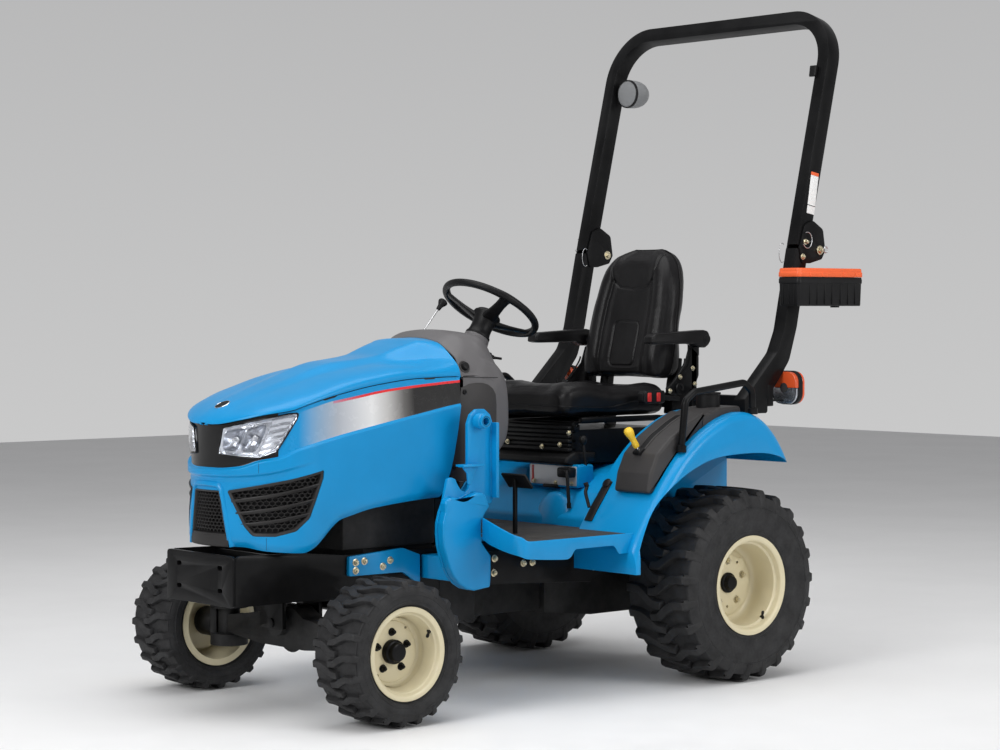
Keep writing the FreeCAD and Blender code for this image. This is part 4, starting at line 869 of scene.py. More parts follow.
def rim_mesh(name, body, node, xc_in, x_out, bead, disc, cy, cz, sgn, rear):
    fl = bead + 17.0 if RIM17 else bead + 13.6
    mb = MB()
    fl = bead + FLANGE_D
    t = 4.0

    def X(x, r):
        return (r, x)
    if rear:
        # wide stepped lip, barrel, scalloped centre plate
        pr = [(xc_in, fl - 0.6), (xc_in + 0.8, fl), (xc_in + 2.6, fl), (xc_in + 4, fl - 1.4), (xc_in + 4.6, bead + 4), (xc_in + 8, bead + 1.2), (xc_in + 40, bead - 3),
              (x_out - 60, bead - 3), (x_out - 8, bead + 1.2), (x_out - 4.6, bead + 4), (x_out - 4, fl - 1.4), (x_out - 2.8, fl), (x_out - 0.8, fl), (x_out, fl - 1.2),
              (x_out - 0.2, bead + 6), (x_out - 2.2, bead + 1.5), (x_out - 6, bead - 2.0), (x_out - 13, bead - 3.6), (x_out - 21, bead - 4.2), (x_out - 24, bead - 6), (x_out - 25.5, bead - 10),
              (x_out - 27, bead - 12.6), (x_out - 32, bead - 13.2), (disc + 26, bead - 14), (disc + 10, bead - 15.5), (disc + 2, bead - 19), (disc - 3, bead - 25), (disc - 4.5, bead - 31),
              (disc - 4.0, bead - 36), (disc - 1.2, bead - 39.5), (disc, bead - 43), (disc, 40), (disc - 1.5, 36), (disc - 8, 35),
              (disc - 8, bead - 40), (disc - 12, bead - 24), (disc - 4, bead - 20), (xc_in + 40, bead - 8), (xc_in + 6, bead - 5), (xc_in, bead - 3.4)]
    else:
        pr = [(xc_in, fl - 0.6), (xc_in + 0.8, fl), (xc_in + 2.6, fl), (xc_in + 4, fl - 1.4), (xc_in + 4.6, bead + 4), (xc_in + 8, bead + 1.2), (xc_in + 40, bead - 3),
              (x_out - 60, bead - 3), (x_out - 8, bead + 1.2), (x_out - 4.6, bead + 4), (x_out - 4, fl - 1.4), (x_out - 2.8, fl), (x_out - 0.8, fl), (x_out, fl - 1.2),
              (x_out - 0.4, bead + 5), (x_out - 2.6, bead + 0.6), (x_out - 7, bead - 2.4), (x_out - 11, bead - 3.4), (x_out - 14, bead - 5.2), (x_out - 16, bead - 8.4),
              (x_out - 22, bead - 11.2), (x_out - 34, bead - 13.8), (disc + 24, bead - 17.6), (disc + 11, bead - 21), (disc + 4, bead - 25), (disc - 0.5, bead - 28.5), (disc - 2.2, bead - 31.5), (disc - 1.2, bead - 33.2),
              (disc, bead - 35), (disc, 46), (disc + 0.0, 30), (disc - 8, 29),
              (disc - 8, bead - 30), (disc - 2, bead - 25), (disc + 20, bead - 22), (xc_in + 60, bead - 14), (xc_in + 6, bead - 6), (xc_in, bead - 4.5)]
    seg = 96
    pts = [(r, sgn * 0 + x) for x, r in pr]
    rows = []
    for k in range(seg):
        a = 2 * math.pi * k / seg
        rows.append([(sgn * x, cy - r * math.sin(a), cz + r * math.cos(a)) for x, r in pr])
    rows.append(rows[0])
    grid(mb, [r + [r[0]] for r in rows])
    bolts = MB()
    hubm = MB()
    if rear:
        # eight-sided scalloped plate with rounded lobes
        pl = []
        for k in range(160):
            a = 2 * math.pi * k / 160
            rr = 100 + 6.5 * math.cos(8 * a) * 1.0 + 2.0 * math.cos(16 * a)
            pl.append((cy + rr * math.sin(a), cz + rr * math.cos(a)))
        hole = [(cy + 35 * math.sin(2 * math.pi * k / 160), cz + 35 * math.cos(2 * math.pi * k / 160)) for k in range(160)]
        x0, x1 = disc - 2, disc + 5.5
        rows = [[(sgn * x0, y, z) for y, z in pl], [(sgn * (x1 - 2.2), y, z) for y, z in pl], [(sgn * (x1 - 0.7), y, z) for y, z in inset(pl, 0.8)],
                [(sgn * x1, y, z) for y, z in inset(pl, 2.4)], [(sgn * x1, y, z) for y, z in hole], [(sgn * x0, y, z) for y, z in hole]]
        grid(mb, rows, wrap=True)
        # hub and cap
        lathe(hubm, [(34.6, -4), (34.6, 12), (33, 14.5), (30, 15.5), (28, 15.8), (24, 27), (22.5, 29.5), (20, 30), (0, 30)], (sgn * disc, cy, cz), (sgn, 0, 0), 48)
        for k in range(5):
            a = 2 * math.pi * k / 5 + math.pi / 2
            p = (sgn * (disc + 5.5), cy + 75 * math.cos(a), cz + 75 * math.sin(a))
            lathe(bolts, [(13.5, 0), (13.5, 2), (12.8, 2.8), (10.5, 2.8)], p, (sgn, 0, 0), 24)
            hexbolt(bolts, (p[0] + sgn * 2.0, p[1], p[2]), (sgn, 0, 0), 9.6, 9, washer=False, a0=a)
    else:
        lathe(hubm, [(37.5, -2), (37.5, 16), (36.6, 19), (33.5, 21.4), (29.8, 22.2), (29.4, 26), (28.6, 33), (26.8, 36.4), (23, 38), (10, 38.4), (0, 38.5)], (sgn * disc, cy, cz), (sgn, 0, 0), 56)
        for k in range(5):
            a = 2 * math.pi * k / 5 + math.pi / 2
            p = (sgn * (disc), cy + 60 * math.cos(a), cz + 60 * math.sin(a))
            hexbolt(bolts, p, (sgn, 0, 0), 9.4, 11, washer=True, a0=a)
    rm = mk(name, mb, "cream", body, node, ang=28)
    cuts = []
    if rear:
        for k in range(5):
            a = 2 * math.pi * (k + 0.5) / 5 + math.pi / 2
            c = MB()
            p = Vector((sgn * (disc - 30), cy + 82 * math.cos(a), cz + 82 * math.sin(a)))
            if k in (0, 2, 4):
                rod(c, p, (sgn, 0, 0), 5.5, 60, 20)
                cuts.append(c)
    else:
        for k in range(2):
            a = math.pi * k + 0.9
            c = MB()
            p = Vector((sgn * (disc - 30), cy + 88 * math.cos(a), cz + 88 * math.sin(a)))
            rod(c, p, (sgn, 0, 0), 5.0, 60, 20)
            cuts.append(c)
    cut(rm, cuts)
    rm.data.shade_smooth()
    rm.data.set_sharp_from_angle(angle=math.radians(28))
    mk(name + "_hub", hubm, "black_paint", body, (), ang=30)
    mk(name + "_bolts", bolts, "zinc" if rear else "black_paint", body, (), ang=30)
    # tyre valve
    v = MB()
    va = math.radians(215 if rear else 300)
    vr = bead - 12
    vx = x_out - 28 if rear else x_out - 24
    p0 = Vector((sgn * vx, cy - (vr + 3) * math.sin(va), cz + (vr + 3) * math.cos(va)))
    d = Vector((sgn * 0.55, math.sin(va) * 0.8, -math.cos(va) * 0.8)).normalized()
    lathe(v, [(0, -4), (8, -4), (8.2, 1), (6.5, 4), (4.6, 8), (4.2, 20), (4.2, 21), (5.0, 21.5), (5.0, 31), (4.2, 32.4), (0, 32.6)], p0, d, 20)
    mk(name + "_valve", v, "black_plastic", body, (), ang=30)


_r, _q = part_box("rear_rim_left")
FLANGE_D = ((_q.z - _r.z) / 2 * 1000) - 152.4 - 0.2
RIM17 = FLANGE_D > 15.5
for side, sg in (("left", 1), ("right", -1)):
    tyre_mesh("front_tyre_%s_v" % side, "front_wheel_" + side, "front_tyre_" + side, 497, 216, 224, 127, -721, 224, sg, 91, 21, 14.0, 19.0, 25.0, 0.18)
    tyre_mesh("rear_tyre_%s_v" % side, "rear_wheel_" + side, "rear_tyre_" + side, 518, 305, 329, 152.4, 721, 329, sg, 141, 23, 21.0, 26.0, 50.0, 0.30)
    rim_mesh("front_rim_%s_v" % side, "front_wheel_" + side, "front_rim_" + side, 402, 592, 127, 512, -721, 224, sg, False)
    rim_mesh("rear_rim_%s_v" % side, "rear_wheel_" + side, "rear_rim_" + side, 373, 663, 152.4, 545, 721, 329, sg, True)


# ------------------------------------------------------------------ hood: surface
HW, NY, ND = 268.0, -800.0, 258.0
PER = []
_n = 120
for i in range(_n + 1):
    th = math.pi / 2 * i / _n
    PER.append([0.0, HW * math.sin(th), NY - ND * math.cos(th)])
for i in range(1, _n + 1):
    PER[i][0] = PER[i - 1][0] + math.hypot(PER[i][1] - PER[i - 1][1], PER[i][2] - PER[i - 1][2])
S_END = PER[-1][0]                                   # where the straight side starts


def per(s):
    """point and outward normal of the plan outline at the distance s from the middle of the nose"""
    if s >= S_END:
        return HW, NY + (s - S_END), 1.0, 0.0
    lo_, hi_ = 0, _n
    while hi_ - lo_ > 1:
        m = (lo_ + hi_) // 2
        if PER[m][0] <= s:
            lo_ = m
        else:
            hi_ = m
    a, b = PER[lo_], PER[hi_]
    t = (s - a[0]) / (b[0] - a[0])
    x, y = a[1] + (b[1] - a[1]) * t, a[2] + (b[2] - a[2]) * t
    nx, ny = x / HW ** 2, (y - NY) / ND ** 2
    L = math.hypot(nx, ny)
    return x, y, nx / L, ny / L


def s_of_x(x):
    return lut([(p[1], p[0]) for p in PER], x)


def s_of_y(y):
    return S_END + (y - NY) if y > NY else lut([(p[2], p[0]) for p in PER], y)


LIP = [(0, 911), (54, 911), (136, 924), (207, 943), (251, 957)]
SHUT = [(-890, 957), (-860, 968), (-808, 983), (-730, 1001), (-571, 1029), (-408, 1045), (-253, 1048), (-200, 1048)]
S_E = s_of_y(-890)
EDGE = [(s_of_x(x), z) for x, z in LIP[:-1]] + [(s_of_y(y), z) for y, z in SHUT]
RA = [(0, 775), (s_of_x(53), 775), (s_of_x(136), 782), (s_of_x(189), 801), (s_of_y(-931), 813), (s_of_y(-873), 838), (s_of_y(-760), 866), (s_of_y(-581), 900), (s_of_y(-400), 932), (s_of_y(-251), 957), (s_of_y(-200), 962)]
RB = [(0, 748), (s_of_x(71), 748), (s_of_x(135), 750), (s_of_x(207), 758), (s_of_y(-886), 777), (s_of_y(-800), 800), (s_of_y(-600), 840), (s_of_y(-222), 880)]
LOW = [(0, 532), (s_of_x(139), 533), (s_of_x(201), 521), (s_of_y(-935), 517), (s_of_y(-864), 513), (s_of_y(-845), 517), (s_of_y(-819), 530), (s_of_y(-721), 609), (s_of_y(-690), 617), (s_of_y(-582), 639), (s_of_y(-336), 658), (s_of_y(-222), 660)]
REAR = [(640, -329), (649, -327), (680, -306), (744, -278), (792, -264), (872, -247), (953, -234), (995, -230), (1044, -225), (1070, -222)]
RED_T = [(s_of_y(-760), 978), (s_of_y(-681), 989.5), (s_of_y(-526), 1012), (s_of_y(-286), 1031), (s_of_y(-200), 1036)]
ZC_ = [(-1059, 912), (-1040, 934), (-987, 966), (-900, 1000), (-760, 1047), (-605, 1094), (-524, 1103), (-433, 1116), (-400, 1127), (-362, 1141), (-316, 1156), (-280, 1168), (-222, 1170)]
ZS_ = [(-1060, 912), (-1040, 932), (-987, 962), (-900, 996), (-800, 1026), (-700, 1056), (-600, 1077), (-465, 1094), (-380, 1099), (-300, 1118), (-222, 1150)]
NN = [(-1060, 2.0), (-900, 2.3), (-700, 2.8), (-450, 2.9), (-330, 2.4), (-222, 2.05)]
DW = [(-1060, 40), (-900, 62), (-600, 92), (-450, 108), (-300, 142), (-222, 176)]
DE = [(-1060, 30), (-600, 36), (-400, 34), (-300, 40), (-222, 50)]


def half_w(y):
    w = HW if y > NY else HW * math.sqrt(max(0.0, 1 - ((NY - y) / ND) ** 2))
    # the upper body draws in towards the rear
    return w - lut([(-890, 0), (-800, 5), (-500, 10), (-222, 19)], y)


def z_edge(y, s=None):
    return slut(EDGE, s if s is not None else s_of_y(y))


def top_z(x, y):
    a = half_w(y)
    t = min(1.0, abs(x) / a)
    ze = z_edge(y)
    n = lut(NN, y)
    zs, zc = slut(ZS_, y), slut(ZC_, y)
    z = ze + max(0.0, zs - ze) * (1 - t ** n) ** (1 / n)
    dw, de = lut(DW, y), lut(DE, y)
    d = 1 - sm((abs(x) - (dw - de)) / (2 * de))
    return z + max(0.0, zc - zs) * d


GAP = 4.2


def inset_at(s, z):
    """how far the lower body lies inside the plan outline"""
    zt, ra, rb, zl = slut(EDGE, s), slut(RA, s), slut(RB, s), slut(LOW, s)
    y = per(s)[1]
    nose = 1 - sm((s - s_of_x(205)) / (s_of_y(-800) - s_of_x(205)))     # 1 on the nose, 0 along the side
    up_r = lut([(-890, 2), (-800, 6), (-500, 11), (-222, 20)], y)
    if z >= ra:
        f = (z - ra) / max(1.0, zt - ra)
        side = 5.0 + (up_r - 5.0) * f
        nz = 11.0 + 3.0 * f
        d = side + (nz - side) * nose
    elif z >= ra - 9:
        f = sm((ra - z) / 9.0)
        d = (5.0 + 6.0 * nose) * (1 - f)
    else:
        d = 0.0
        if z < rb + 6:
            f = sm((rb + 6 - z) / 12.0)
            g = sm((rb - z) / max(1.0, rb - zl - 40))
            d += nose * f * (9.0 - 5.0 * g)
        if z < zl + 26:
            f = (zl + 26 - z) / 26.0
            d += 9.0 * f * f
    return d


def hp(s, z, off=0.0):
    """point of the lower body's surface (off: outwards)"""
    sg_ = 1 if s >= 0 else -1
    x, y, nx, ny = per(abs(s))
    d = inset_at(abs(s), z) - off
    return (sg_ * (x - nx * d), y - ny * d, z)


def hpo(s, z, off=0.0):
    """the same, measured from the plan outline itself"""
    sg_ = 1 if s >= 0 else -1
    x, y, nx, ny = per(abs(s))
    return (sg_ * (x + nx * off), y + ny * off, z)


# columns round the nose and along the side
cols = [S_END * (i / 52) for i in range(53)]
rear_n = 46


def side_grid():
    rows_f = []
    for k in range(60):
        rows_f.append(k)
    grid_cols = []
    for c in range(len(cols) + rear_n):
        col = []
        for k in range(62):
            def zs(s):
                zt, ra, rb, zl = slut(EDGE, s) - GAP, slut(RA, s), slut(RB, s), slut(LOW, s)
                rt = slut(RED_T, s) if s > s_of_y(-760) else zt - (zt - ra) * 0.10
                rt = min(rt, zt - 4)
                bot = rt - (8.0 if s > s_of_y(-760) else 8.0)
                if k <= 3:
                    return zt + (rt - zt) * k / 3
                if k <= 5:
                    return rt + (bot - rt) * (k - 3) / 2
                if k <= 19:
                    return bot + (ra - bot) * (k - 5) / 14
                if k <= 26:
                    return ra - 9.0 * (k - 19) / 7
                if k <= 36:
                    a, b = ra - 9, rb + 6
                    return a + (b - a) * (k - 26) / 10
                if k <= 42:
                    return rb + 6 - 12.0 * (k - 36) / 6
                if k <= 54:
                    a, b = rb - 6, zl + 26
                    return a + (b - a) * (k - 42) / 12
                return zl + 26 - 26.0 * (k - 54) / 7
            if c < len(cols):
                s = cols[c]
                z = zs(s)
            else:
                w = (c - len(cols) + 1) / rear_n
                s = S_END + w * 550
                for _ in range(4):
                    z = zs(s)
                    yr = lut(REAR, z)
                    s = S_END + w * (yr - NY)
            if k == 61 and 0:
                pass
            col.append((s, z))
        grid_cols.append(col)
    return grid_cols


SG = side_grid()
NROW = len(SG[0])


def side_material(s, z):
    zt, ra = slut(EDGE, s), slut(RA, s)
    return 0


hb = MB()
full = []
for c in list(range(len(SG) - 1, 0, -1)):
    full.append([hp(-s, z) for s, z in SG[c]])
for c in range(len(SG)):
    full.append([hp(s, z) for s, z in SG[c]])
grid(hb, full)
# materials by row and column
nfr = NROW - 1
S_BLK = s_of_x(229)
hb.m = []
for i in range(len(full) - 1):
    ci = (len(SG) - 1) - i if i < len(SG) - 1 else i - (len(SG) - 1)
    cc = ci - 1 if i < len(SG) - 1 else ci
    for k in range(nfr):
        s = (SG[cc][k][0] + SG[min(cc + 1, len(SG) - 1)][k + 1][0]) / 2
        z = (SG[cc][k][1] + SG[cc][k + 1][1]) / 2
        m = 0
        if s < s_of_x(60) and z < slut(RB, s) - 40 and 0:
            m = 1
        if s < S_BLK and z > slut(RA, s):
            # black field round the lamps
            m = 1
        if s > s_of_y(-905) and s >= S_BLK and k < 19 and (k >= 5 or (k >= 3 and s <= s_of_y(-755))):
            m = 2
        if s > s_of_y(-755) and 3 <= k < 5:
            m = 3
        hb.m.append(m)
side = mk("hood_body_v", hb, ["blue", "gloss_black", "decal", "red_stripe"], "hood", (), ang=30)
md = side.modifiers.new("sol", "SOLIDIFY")
md.thickness = 0.003
md.offset = -1
md.use_even_offset = False
apply_mods(side)


def cutter(poly_s, o0=-45, o1=150):
    """closed polygon in (s, z) turned into a block that follows the nose"""
    c = MB()
    pts = []
    n = len(poly_s)
    for i in range(n):
        a, b = poly_s[i], poly_s[(i + 1) % n]
        k = max(1, int(math.hypot(b[0] - a[0], b[1] - a[1]) / 12))
        for j in range(k):
            pts.append((a[0] + (b[0] - a[0]) * j / k, a[1] + (b[1] - a[1]) * j / k))
    rows = [[hpo(s, z, o0) for s, z in pts], [hpo(s, z, o1) for s, z in pts]]
    grid(c, rows, wrap=True)
    # triangulated caps
    from mathutils.geometry import tessellate_polygon
    tr = tessellate_polygon([[Vector((s, z, 0)) for s, z in pts]])
    m = len(pts)
    for a, b, d in tr:
        c.f.append((a, b, d))
        c.f.append((m + d, m + b, m + a))
        c.m += [0, 0]
    return c


LAMP = [(s_of_x(57), 815), (s_of_x(77), 900), (s_of_x(118), 910), (s_of_y(-905), 946), (s_of_y(-872), 948), (s_of_y(-880), 925), (s_of_y(-940), 822), (s_of_x(189), 804), (s_of_x(136), 808)]
SIDEG = [(s_of_x(98), 706), (s_of_y(-905), 741), (s_of_y(-790), 768), (s_of_y(-792), 742), (s_of_y(-842), 620), (s_of_y(-886), 581), (s_of_y(-943), 566), (s_of_y(-996), 567), (s_of_y(-1013), 597)]
SHIELD = [(-s_of_x(66), 705), (s_of_x(66), 705), (s_of_x(96), 566), (s_of_x(100), 536), (-s_of_x(100), 536), (-s_of_x(96), 566)]


def grow(poly, d):
    return inset(poly, -d)


lamp_r = round_poly(LAMP, [8, 6, 20, 10, 8, 20, 14, 14, 14], 4)
sg_r = round_poly(SIDEG, [6, 30, 5, 8, 30, 30, 30, 18, 14], 4)
sh_r = round_poly(SHIELD, [6, 6, 3, 4, 4, 3], 3)


def mirs(poly):
    return [(-s, z) for s, z in reversed(poly)]


cut(side, [cutter(lamp_r), cutter(mirs(lamp_r)), cutter(sg_r), cutter(mirs(sg_r)), cutter(sh_r)])
side.data.shade_smooth()
side.data.set_sharp_from_angle(angle=math.radians(30))
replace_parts(side, "hood")

# ---- top panel
ys = [-1057.5, -1056.5, -1054, -1050, -1045, -1039, -1032, -1024, -1014, -1002, -988, -972, -954, -934, -912, -890, -868, -846, -824, -802]
ys += [-780 + 18 * i for i in range(30)] + [-247, -236, -227, -222]
tb = MB()
rows = []
TN = 34
for y in ys:
    a = half_w(y)
    ze = z_edge(y)
    row = []
    for j in range(-TN, TN + 1):
        ph = math.pi / 2 * j / TN
        x = a * math.sin(ph)
        z = top_z(x, y)
        row.append((x, y, z))
    # turned-in edge
    for sgn_, ins_ in ((-1, 0), (1, -1)):
        x, yy, z = row[ins_] if sgn_ > 0 else row[0]
        ex = [(x - sgn_ * 0.2, yy, z - 0.9), (x - sgn_ * 1.2, yy + 0.2, z - 1.6), (x - sgn_ * 7.0, yy + 1.5, z - 1.8)]
        if sgn_ < 0:
            row = [ex[2], ex[1], ex[0]] + row
        else:
            row = row + ex
    rows.append(row)
# close the front tip: the lip turns down and in
front = [(p[0] * 0.93, -1057.9, p[2] - 1.0) for p in rows[0]]
front2 = [(p[0] * 0.86, -1052.0, p[2] - 2.2) for p in rows[0]]
rows = [front2, front] + rows
last = rows[-1]
r1 = [(p[0] * 0.9985, -221.2, p[2] - 0.8) for p in last]
r2 = [(p[0] * 0.994, -222.0, p[2] - 2.0) for p in last]
r3 = [(p[0] * 0.975, -234.0, p[2] - 5.0) for p in last]
rows += [r1, r2, r3]
grid(tb, rows)
top = mk("hood_top_v", tb, "blue", "hood", (), ang=38)
md = top.modifiers.new("sol", "SOLIDIFY")
md.thickness = 0.0022
md.offset = -1
apply_mods(top)
top.data.shade_smooth()
top.data.set_sharp_from_angle(angle=math.radians(38))
# dark liner under the shut line: painted shade that makes the gap read as a dark line
lb = MB()
for sd in (1, -1):
    rows = []
    for i in range(0, 90):
        s = lut([(0, 0), (89, s_of_y(-226))], i)
        z = slut(EDGE, s)
        rows.append([hp(sd * s, z - 16, -5.5), hp(sd * s, z - 3, -6.5), hpo(sd * s, z + 3, -(inset_at(s, z - 1) + 11))])
    grid(lb, rows)
mk("hood_seal_v", lb, "gap_dark", "hood", (), ang=60)
# short louvre slots in the shut line, as dark inlays: painted shade in place of open slots
sl = MB()
for y0, y1 in ((-790, -735), (-380, -330)):
    for sd in (1, -1):
        rows = []
        for i in range(9):
            y = y0 + (y1 - y0) * i / 8
            s = s_of_y(y)
            z = slut(EDGE, s)
            e = 0.35 if i in (0, 8) else 1.0
            rows.append([hp(sd * s, z - 2.2, -1.0), hp(sd * s, z - 2.4, 0.5), hp(sd * s, z - 2.4 - 5.0 * e, 0.5), hp(sd * s, z - 2.6 - 5.0 * e, -1.0)])
        grid(sl, rows, caps=True)
mk("hood_slots_v", sl, "gap_dark", "hood", (), ang=40)
# fine vertical part lines on the nose corner, as dark strips: painted shade of the panel gaps
pl = MB()
for s0, z0, z1 in ((s_of_x(189), 799, 762), (s_of_x(205), 563, 524)):
    for sd in (1, -1):
        rows = []
        for i in range(7):
            z = z0 + (z1 - z0) * i / 6
            rows.append([hp(sd * (s0 - 0.7), z, -0.6), hp(sd * (s0 - 0.5), z, 0.25), hp(sd * (s0 + 0.5), z, 0.25), hp(sd * (s0 + 0.7), z, -0.6)])
        grid(pl, rows, caps=True)
mk("hood_part_lines_v", pl, "gap_dark", "hood", (), ang=40)
# round latch plug on the crest behind the lip (blank)
bd = MB()
zc0 = top_z(0, -985)
nrm = Vector((0, -0.42, 0.9)).normalized()
lathe(bd, [(25, -3), (25, 0.8), (24.2, 1.8), (22.5, 2.2), (21.6, 1.4), (20, 1.2), (12, 1.6), (0, 1.8)], (0, -985, zc0 - 0.5), nrm, 40)
bdo = mk("hood_plug_v", bd, "black_plastic", "hood", (), ang=30)
bd = MB()
lathe(bd, [(25.6, -2), (25.8, 1.6), (24.6, 2.6), (23.0, 2.0)], (0, -985, zc0 - 0.5), nrm, 40)
mk("hood_plug_ring_v", bd, "chrome", "hood", (), ang=30)


# ---- helpers for pieces that follow the nose
def resample(pl_, n):
    L = [0.0]
    for a, b in zip(pl_, pl_[1:]):
        L.append(L[-1] + math.hypot(b[0] - a[0], b[1] - a[1]))
    out = []
    for i in range(n + 1):
        d = L[-1] * i / n
        j = 0
        while j < len(L) - 2 and L[j + 1] < d:
            j += 1
        t = 0 if L[j + 1] == L[j] else (d - L[j]) / (L[j + 1] - L[j])
        out.append((pl_[j][0] + (pl_[j + 1][0] - pl_[j][0]) * t, pl_[j][1] + (pl_[j + 1][1] - pl_[j][1]) * t))
    return out


def coons(left, right, bottom, top_, nu, nv):
    """left/right run from bottom to top, bottom/top from left to right"""
    L, R, B, T = resample(left, nv), resample(right, nv), resample(bottom, nu), resample(top_, nu)
    out = []
    for j in range(nv + 1):
        v = j / nv
        row = []
        for i in range(nu + 1):
            u = i / nu
            p = []
            for q in (0, 1):
                p.append((1 - u) * L[j][q] + u * R[j][q] + (1 - v) * B[i][q] + v * T[i][q]
                         - ((1 - u) * (1 - v) * B[0][q] + u * (1 - v) * B[nu][q] + (1 - u) * v * T[0][q] + u * v * T[nu][q]))
            row.append(tuple(p))
        out.append(row)
    return out


def inside(poly, x, y):
    c = False
    for i in range(len(poly)):
        x0, y0 = poly[i - 1]
        x1, y1 = poly[i]
        if (y0 > y) != (y1 > y) and x < (x1 - x0) * (y - y0) / (y1 - y0) + x0:
            c = not c
    return c


def ring_frame(mb, outer, wdt, off_out, off_in, depth, m=0, f=hpo, rnd=1.6):
    """frame following a closed outline: face from the outer edge, rounded, then down the inside"""
    # resample the outline finely
    o = []
    n = len(outer)
    for i in range(n):
        a, b = outer[i], outer[(i + 1) % n]
        k = max(1, int(math.hypot(b[0] - a[0], b[1] - a[1]) / 9))
        for j in range(k):
            o.append((a[0] + (b[0] - a[0]) * j / k, a[1] + (b[1] - a[1]) * j / k))
    lv = [(0.0, off_out - 6), (0.0, off_out - rnd), (rnd * 0.3, off_out - rnd * 0.3), (rnd, off_out), (wdt - rnd, off_in), (wdt - rnd * 0.3, off_in - rnd * 0.3),
          (wdt, off_in - rnd), (wdt + 0.5, off_in - depth)]
    rows = []
    for ins_, of in lv:
        q = inset(o, ins_)
        rows.append([f(s, z, of) for s, z in q])
    grid(mb, rows, m, wrap=True)
    return mb


def hexmesh(mb, poly, cw, ch, wall, off0, off1, m=0, f=hpo, clip=0.0):
    """honeycomb of thin walls inside a polygon in (s, z)"""
    xs = [p[0] for p in poly]
    zs_ = [p[1] for p in poly]
    r0, r1 = int(min(zs_) / (ch * 0.75)) - 1, int(max(zs_) / (ch * 0.75)) + 2
    seen = set()
    for r in range(r0, r1):
        zc = r * ch * 0.78
        for c in range(int(min(xs) / cw) - 2, int(max(xs) / cw) + 3):
            xc = (c + (0.5 if r % 2 else 0)) * cw
            pts = [(xc - cw * 0.5, zc), (xc - cw * 0.28, zc + ch * 0.5), (xc + cw * 0.28, zc + ch * 0.5), (xc + cw * 0.5, zc), (xc + cw * 0.28, zc - ch * 0.5), (xc - cw * 0.28, zc - ch * 0.5)]
            # flat-topped cells: walls up-left, top, up-right
            pts = [(xc - cw * 0.5, zc + ch * 0.25), (xc, zc + ch * 0.55), (xc + cw * 0.5, zc + ch * 0.25), (xc + cw * 0.5, zc - ch * 0.25)]
            for a, b in ((0, 1), (1, 2), (2, 3)):
                p, q = pts[a], pts[b]
                mx, mz = (p[0] + q[0]) / 2, (p[1] + q[1]) / 2
                key = (round(mx, 1), round(mz, 1))
                if key in seen or not inside(poly, mx, mz):
                    continue
                seen.add(key)
                dx, dz = q[0] - p[0], q[1] - p[1]
                L = math.hypot(dx, dz)
                nx_, nz_ = -dz / L * wall / 2, dx / L * wall / 2
                rows = []
                for (s, z) in (p, q):
                    rows.append([f(s + nx_, z + nz_, off0), f(s + nx_ * 0.7, z + nz_ * 0.7, off1), f(s - nx_ * 0.7, z - nz_ * 0.7, off1), f(s - nx_, z - nz_, off0)])
                grid(mb, rows, m)
    return mb


# dark sheet behind a grille, in the gap material: painted shade standing in for the dark space behind it
def shade_backing(mb, poly, off, m=0, f=hpo, nu=24):
    xs = [p[0] for p in poly]
    zs_ = [p[1] for p in poly]
    rows = []
    for i in range(nu + 1):
        s = min(xs) + (max(xs) - min(xs)) * i / nu
        rows.append([f(s, min(zs_) + (max(zs_) - min(zs_)) * j / 6, off) for j in range(7)])
    grid(mb, rows, m)
    return mb


# ---- side grilles
gm = MB()
for flip in (1, -1):
    one = MB()
    ring_frame(one, sg_r, 9.5, -3.0, -4.5, 16, 0)
    inner_ = inset(sg_r, 9.0)
    hexmesh(one, inner_, 20.0, 15.0, 3.0, -24, -15.5, 0)
    # painted shade behind the side grille
    shade_backing(one, inset(sg_r, 3), -27, 1)
    L = [(s_of_y(-1013), 597), (s_of_x(124), 652), (s_of_x(98), 706)]
    # louvre bars: three, following the nose, each with a sloping face
    for (a, b) in (((s_of_x(112), 672), (s_of_y(-800), 722)), ((s_of_x(126), 634), (s_of_y(-815), 676)), ((s_of_x(142), 600), (s_of_y(-836), 633))):
        rows = []
        N_ = 26
        for i in range(N_ + 1):
            u = i / N_
            s = a[0] + (b[0] - a[0]) * u
            z = a[1] + (b[1] - a[1]) * u - 9.0 * math.sin(math.pi * u) * 0.35
            rows.append([hpo(s, z + 5.0, -17), hpo(s, z + 6.5, -6.5), hpo(s, z + 5.6, -4.6), hpo(s, z + 3.5, -4.0), hpo(s, z - 4.2, -7.5), hpo(s, z - 5.6, -9.0), hpo(s, z - 5.0, -17)])
        grid(one, rows, 0, wrap=True, caps=True)
    if flip < 0:
        one = one.mir()
    gm.join(one)
# ---- centre grille
cg = round_poly([(-s_of_x(66), 705), (s_of_x(66), 705), (s_of_x(96), 566), (-s_of_x(96), 566)], [6, 6, 4, 4], 3)
ring_frame(gm, cg, 6.0, -6.0, -7.0, 14, 0)
hexmesh(gm, inset(cg, 5.5), 17.0, 13.5, 2.8, -24, -14, 0)
# painted shade behind the centre grille
shade_backing(gm, inset(cg, 3), -27, 1)
# black base under it
rows = []
for i in range(25):
    s = -s_of_x(102) + 2 * s_of_x(102) * i / 24
    rows.append([hpo(s, 569, -16), hpo(s, 567, -7), hpo(s, 563, -5), hpo(s, 540, -4), hpo(s, 534, -5), hpo(s, 531, -10), hpo(s, 531, -16)])
grid(gm, rows, 0, caps=True)
mk("grilles_v", gm, ["grille_plastic", "gap_dark"], "hood", "grilles", ang=35)
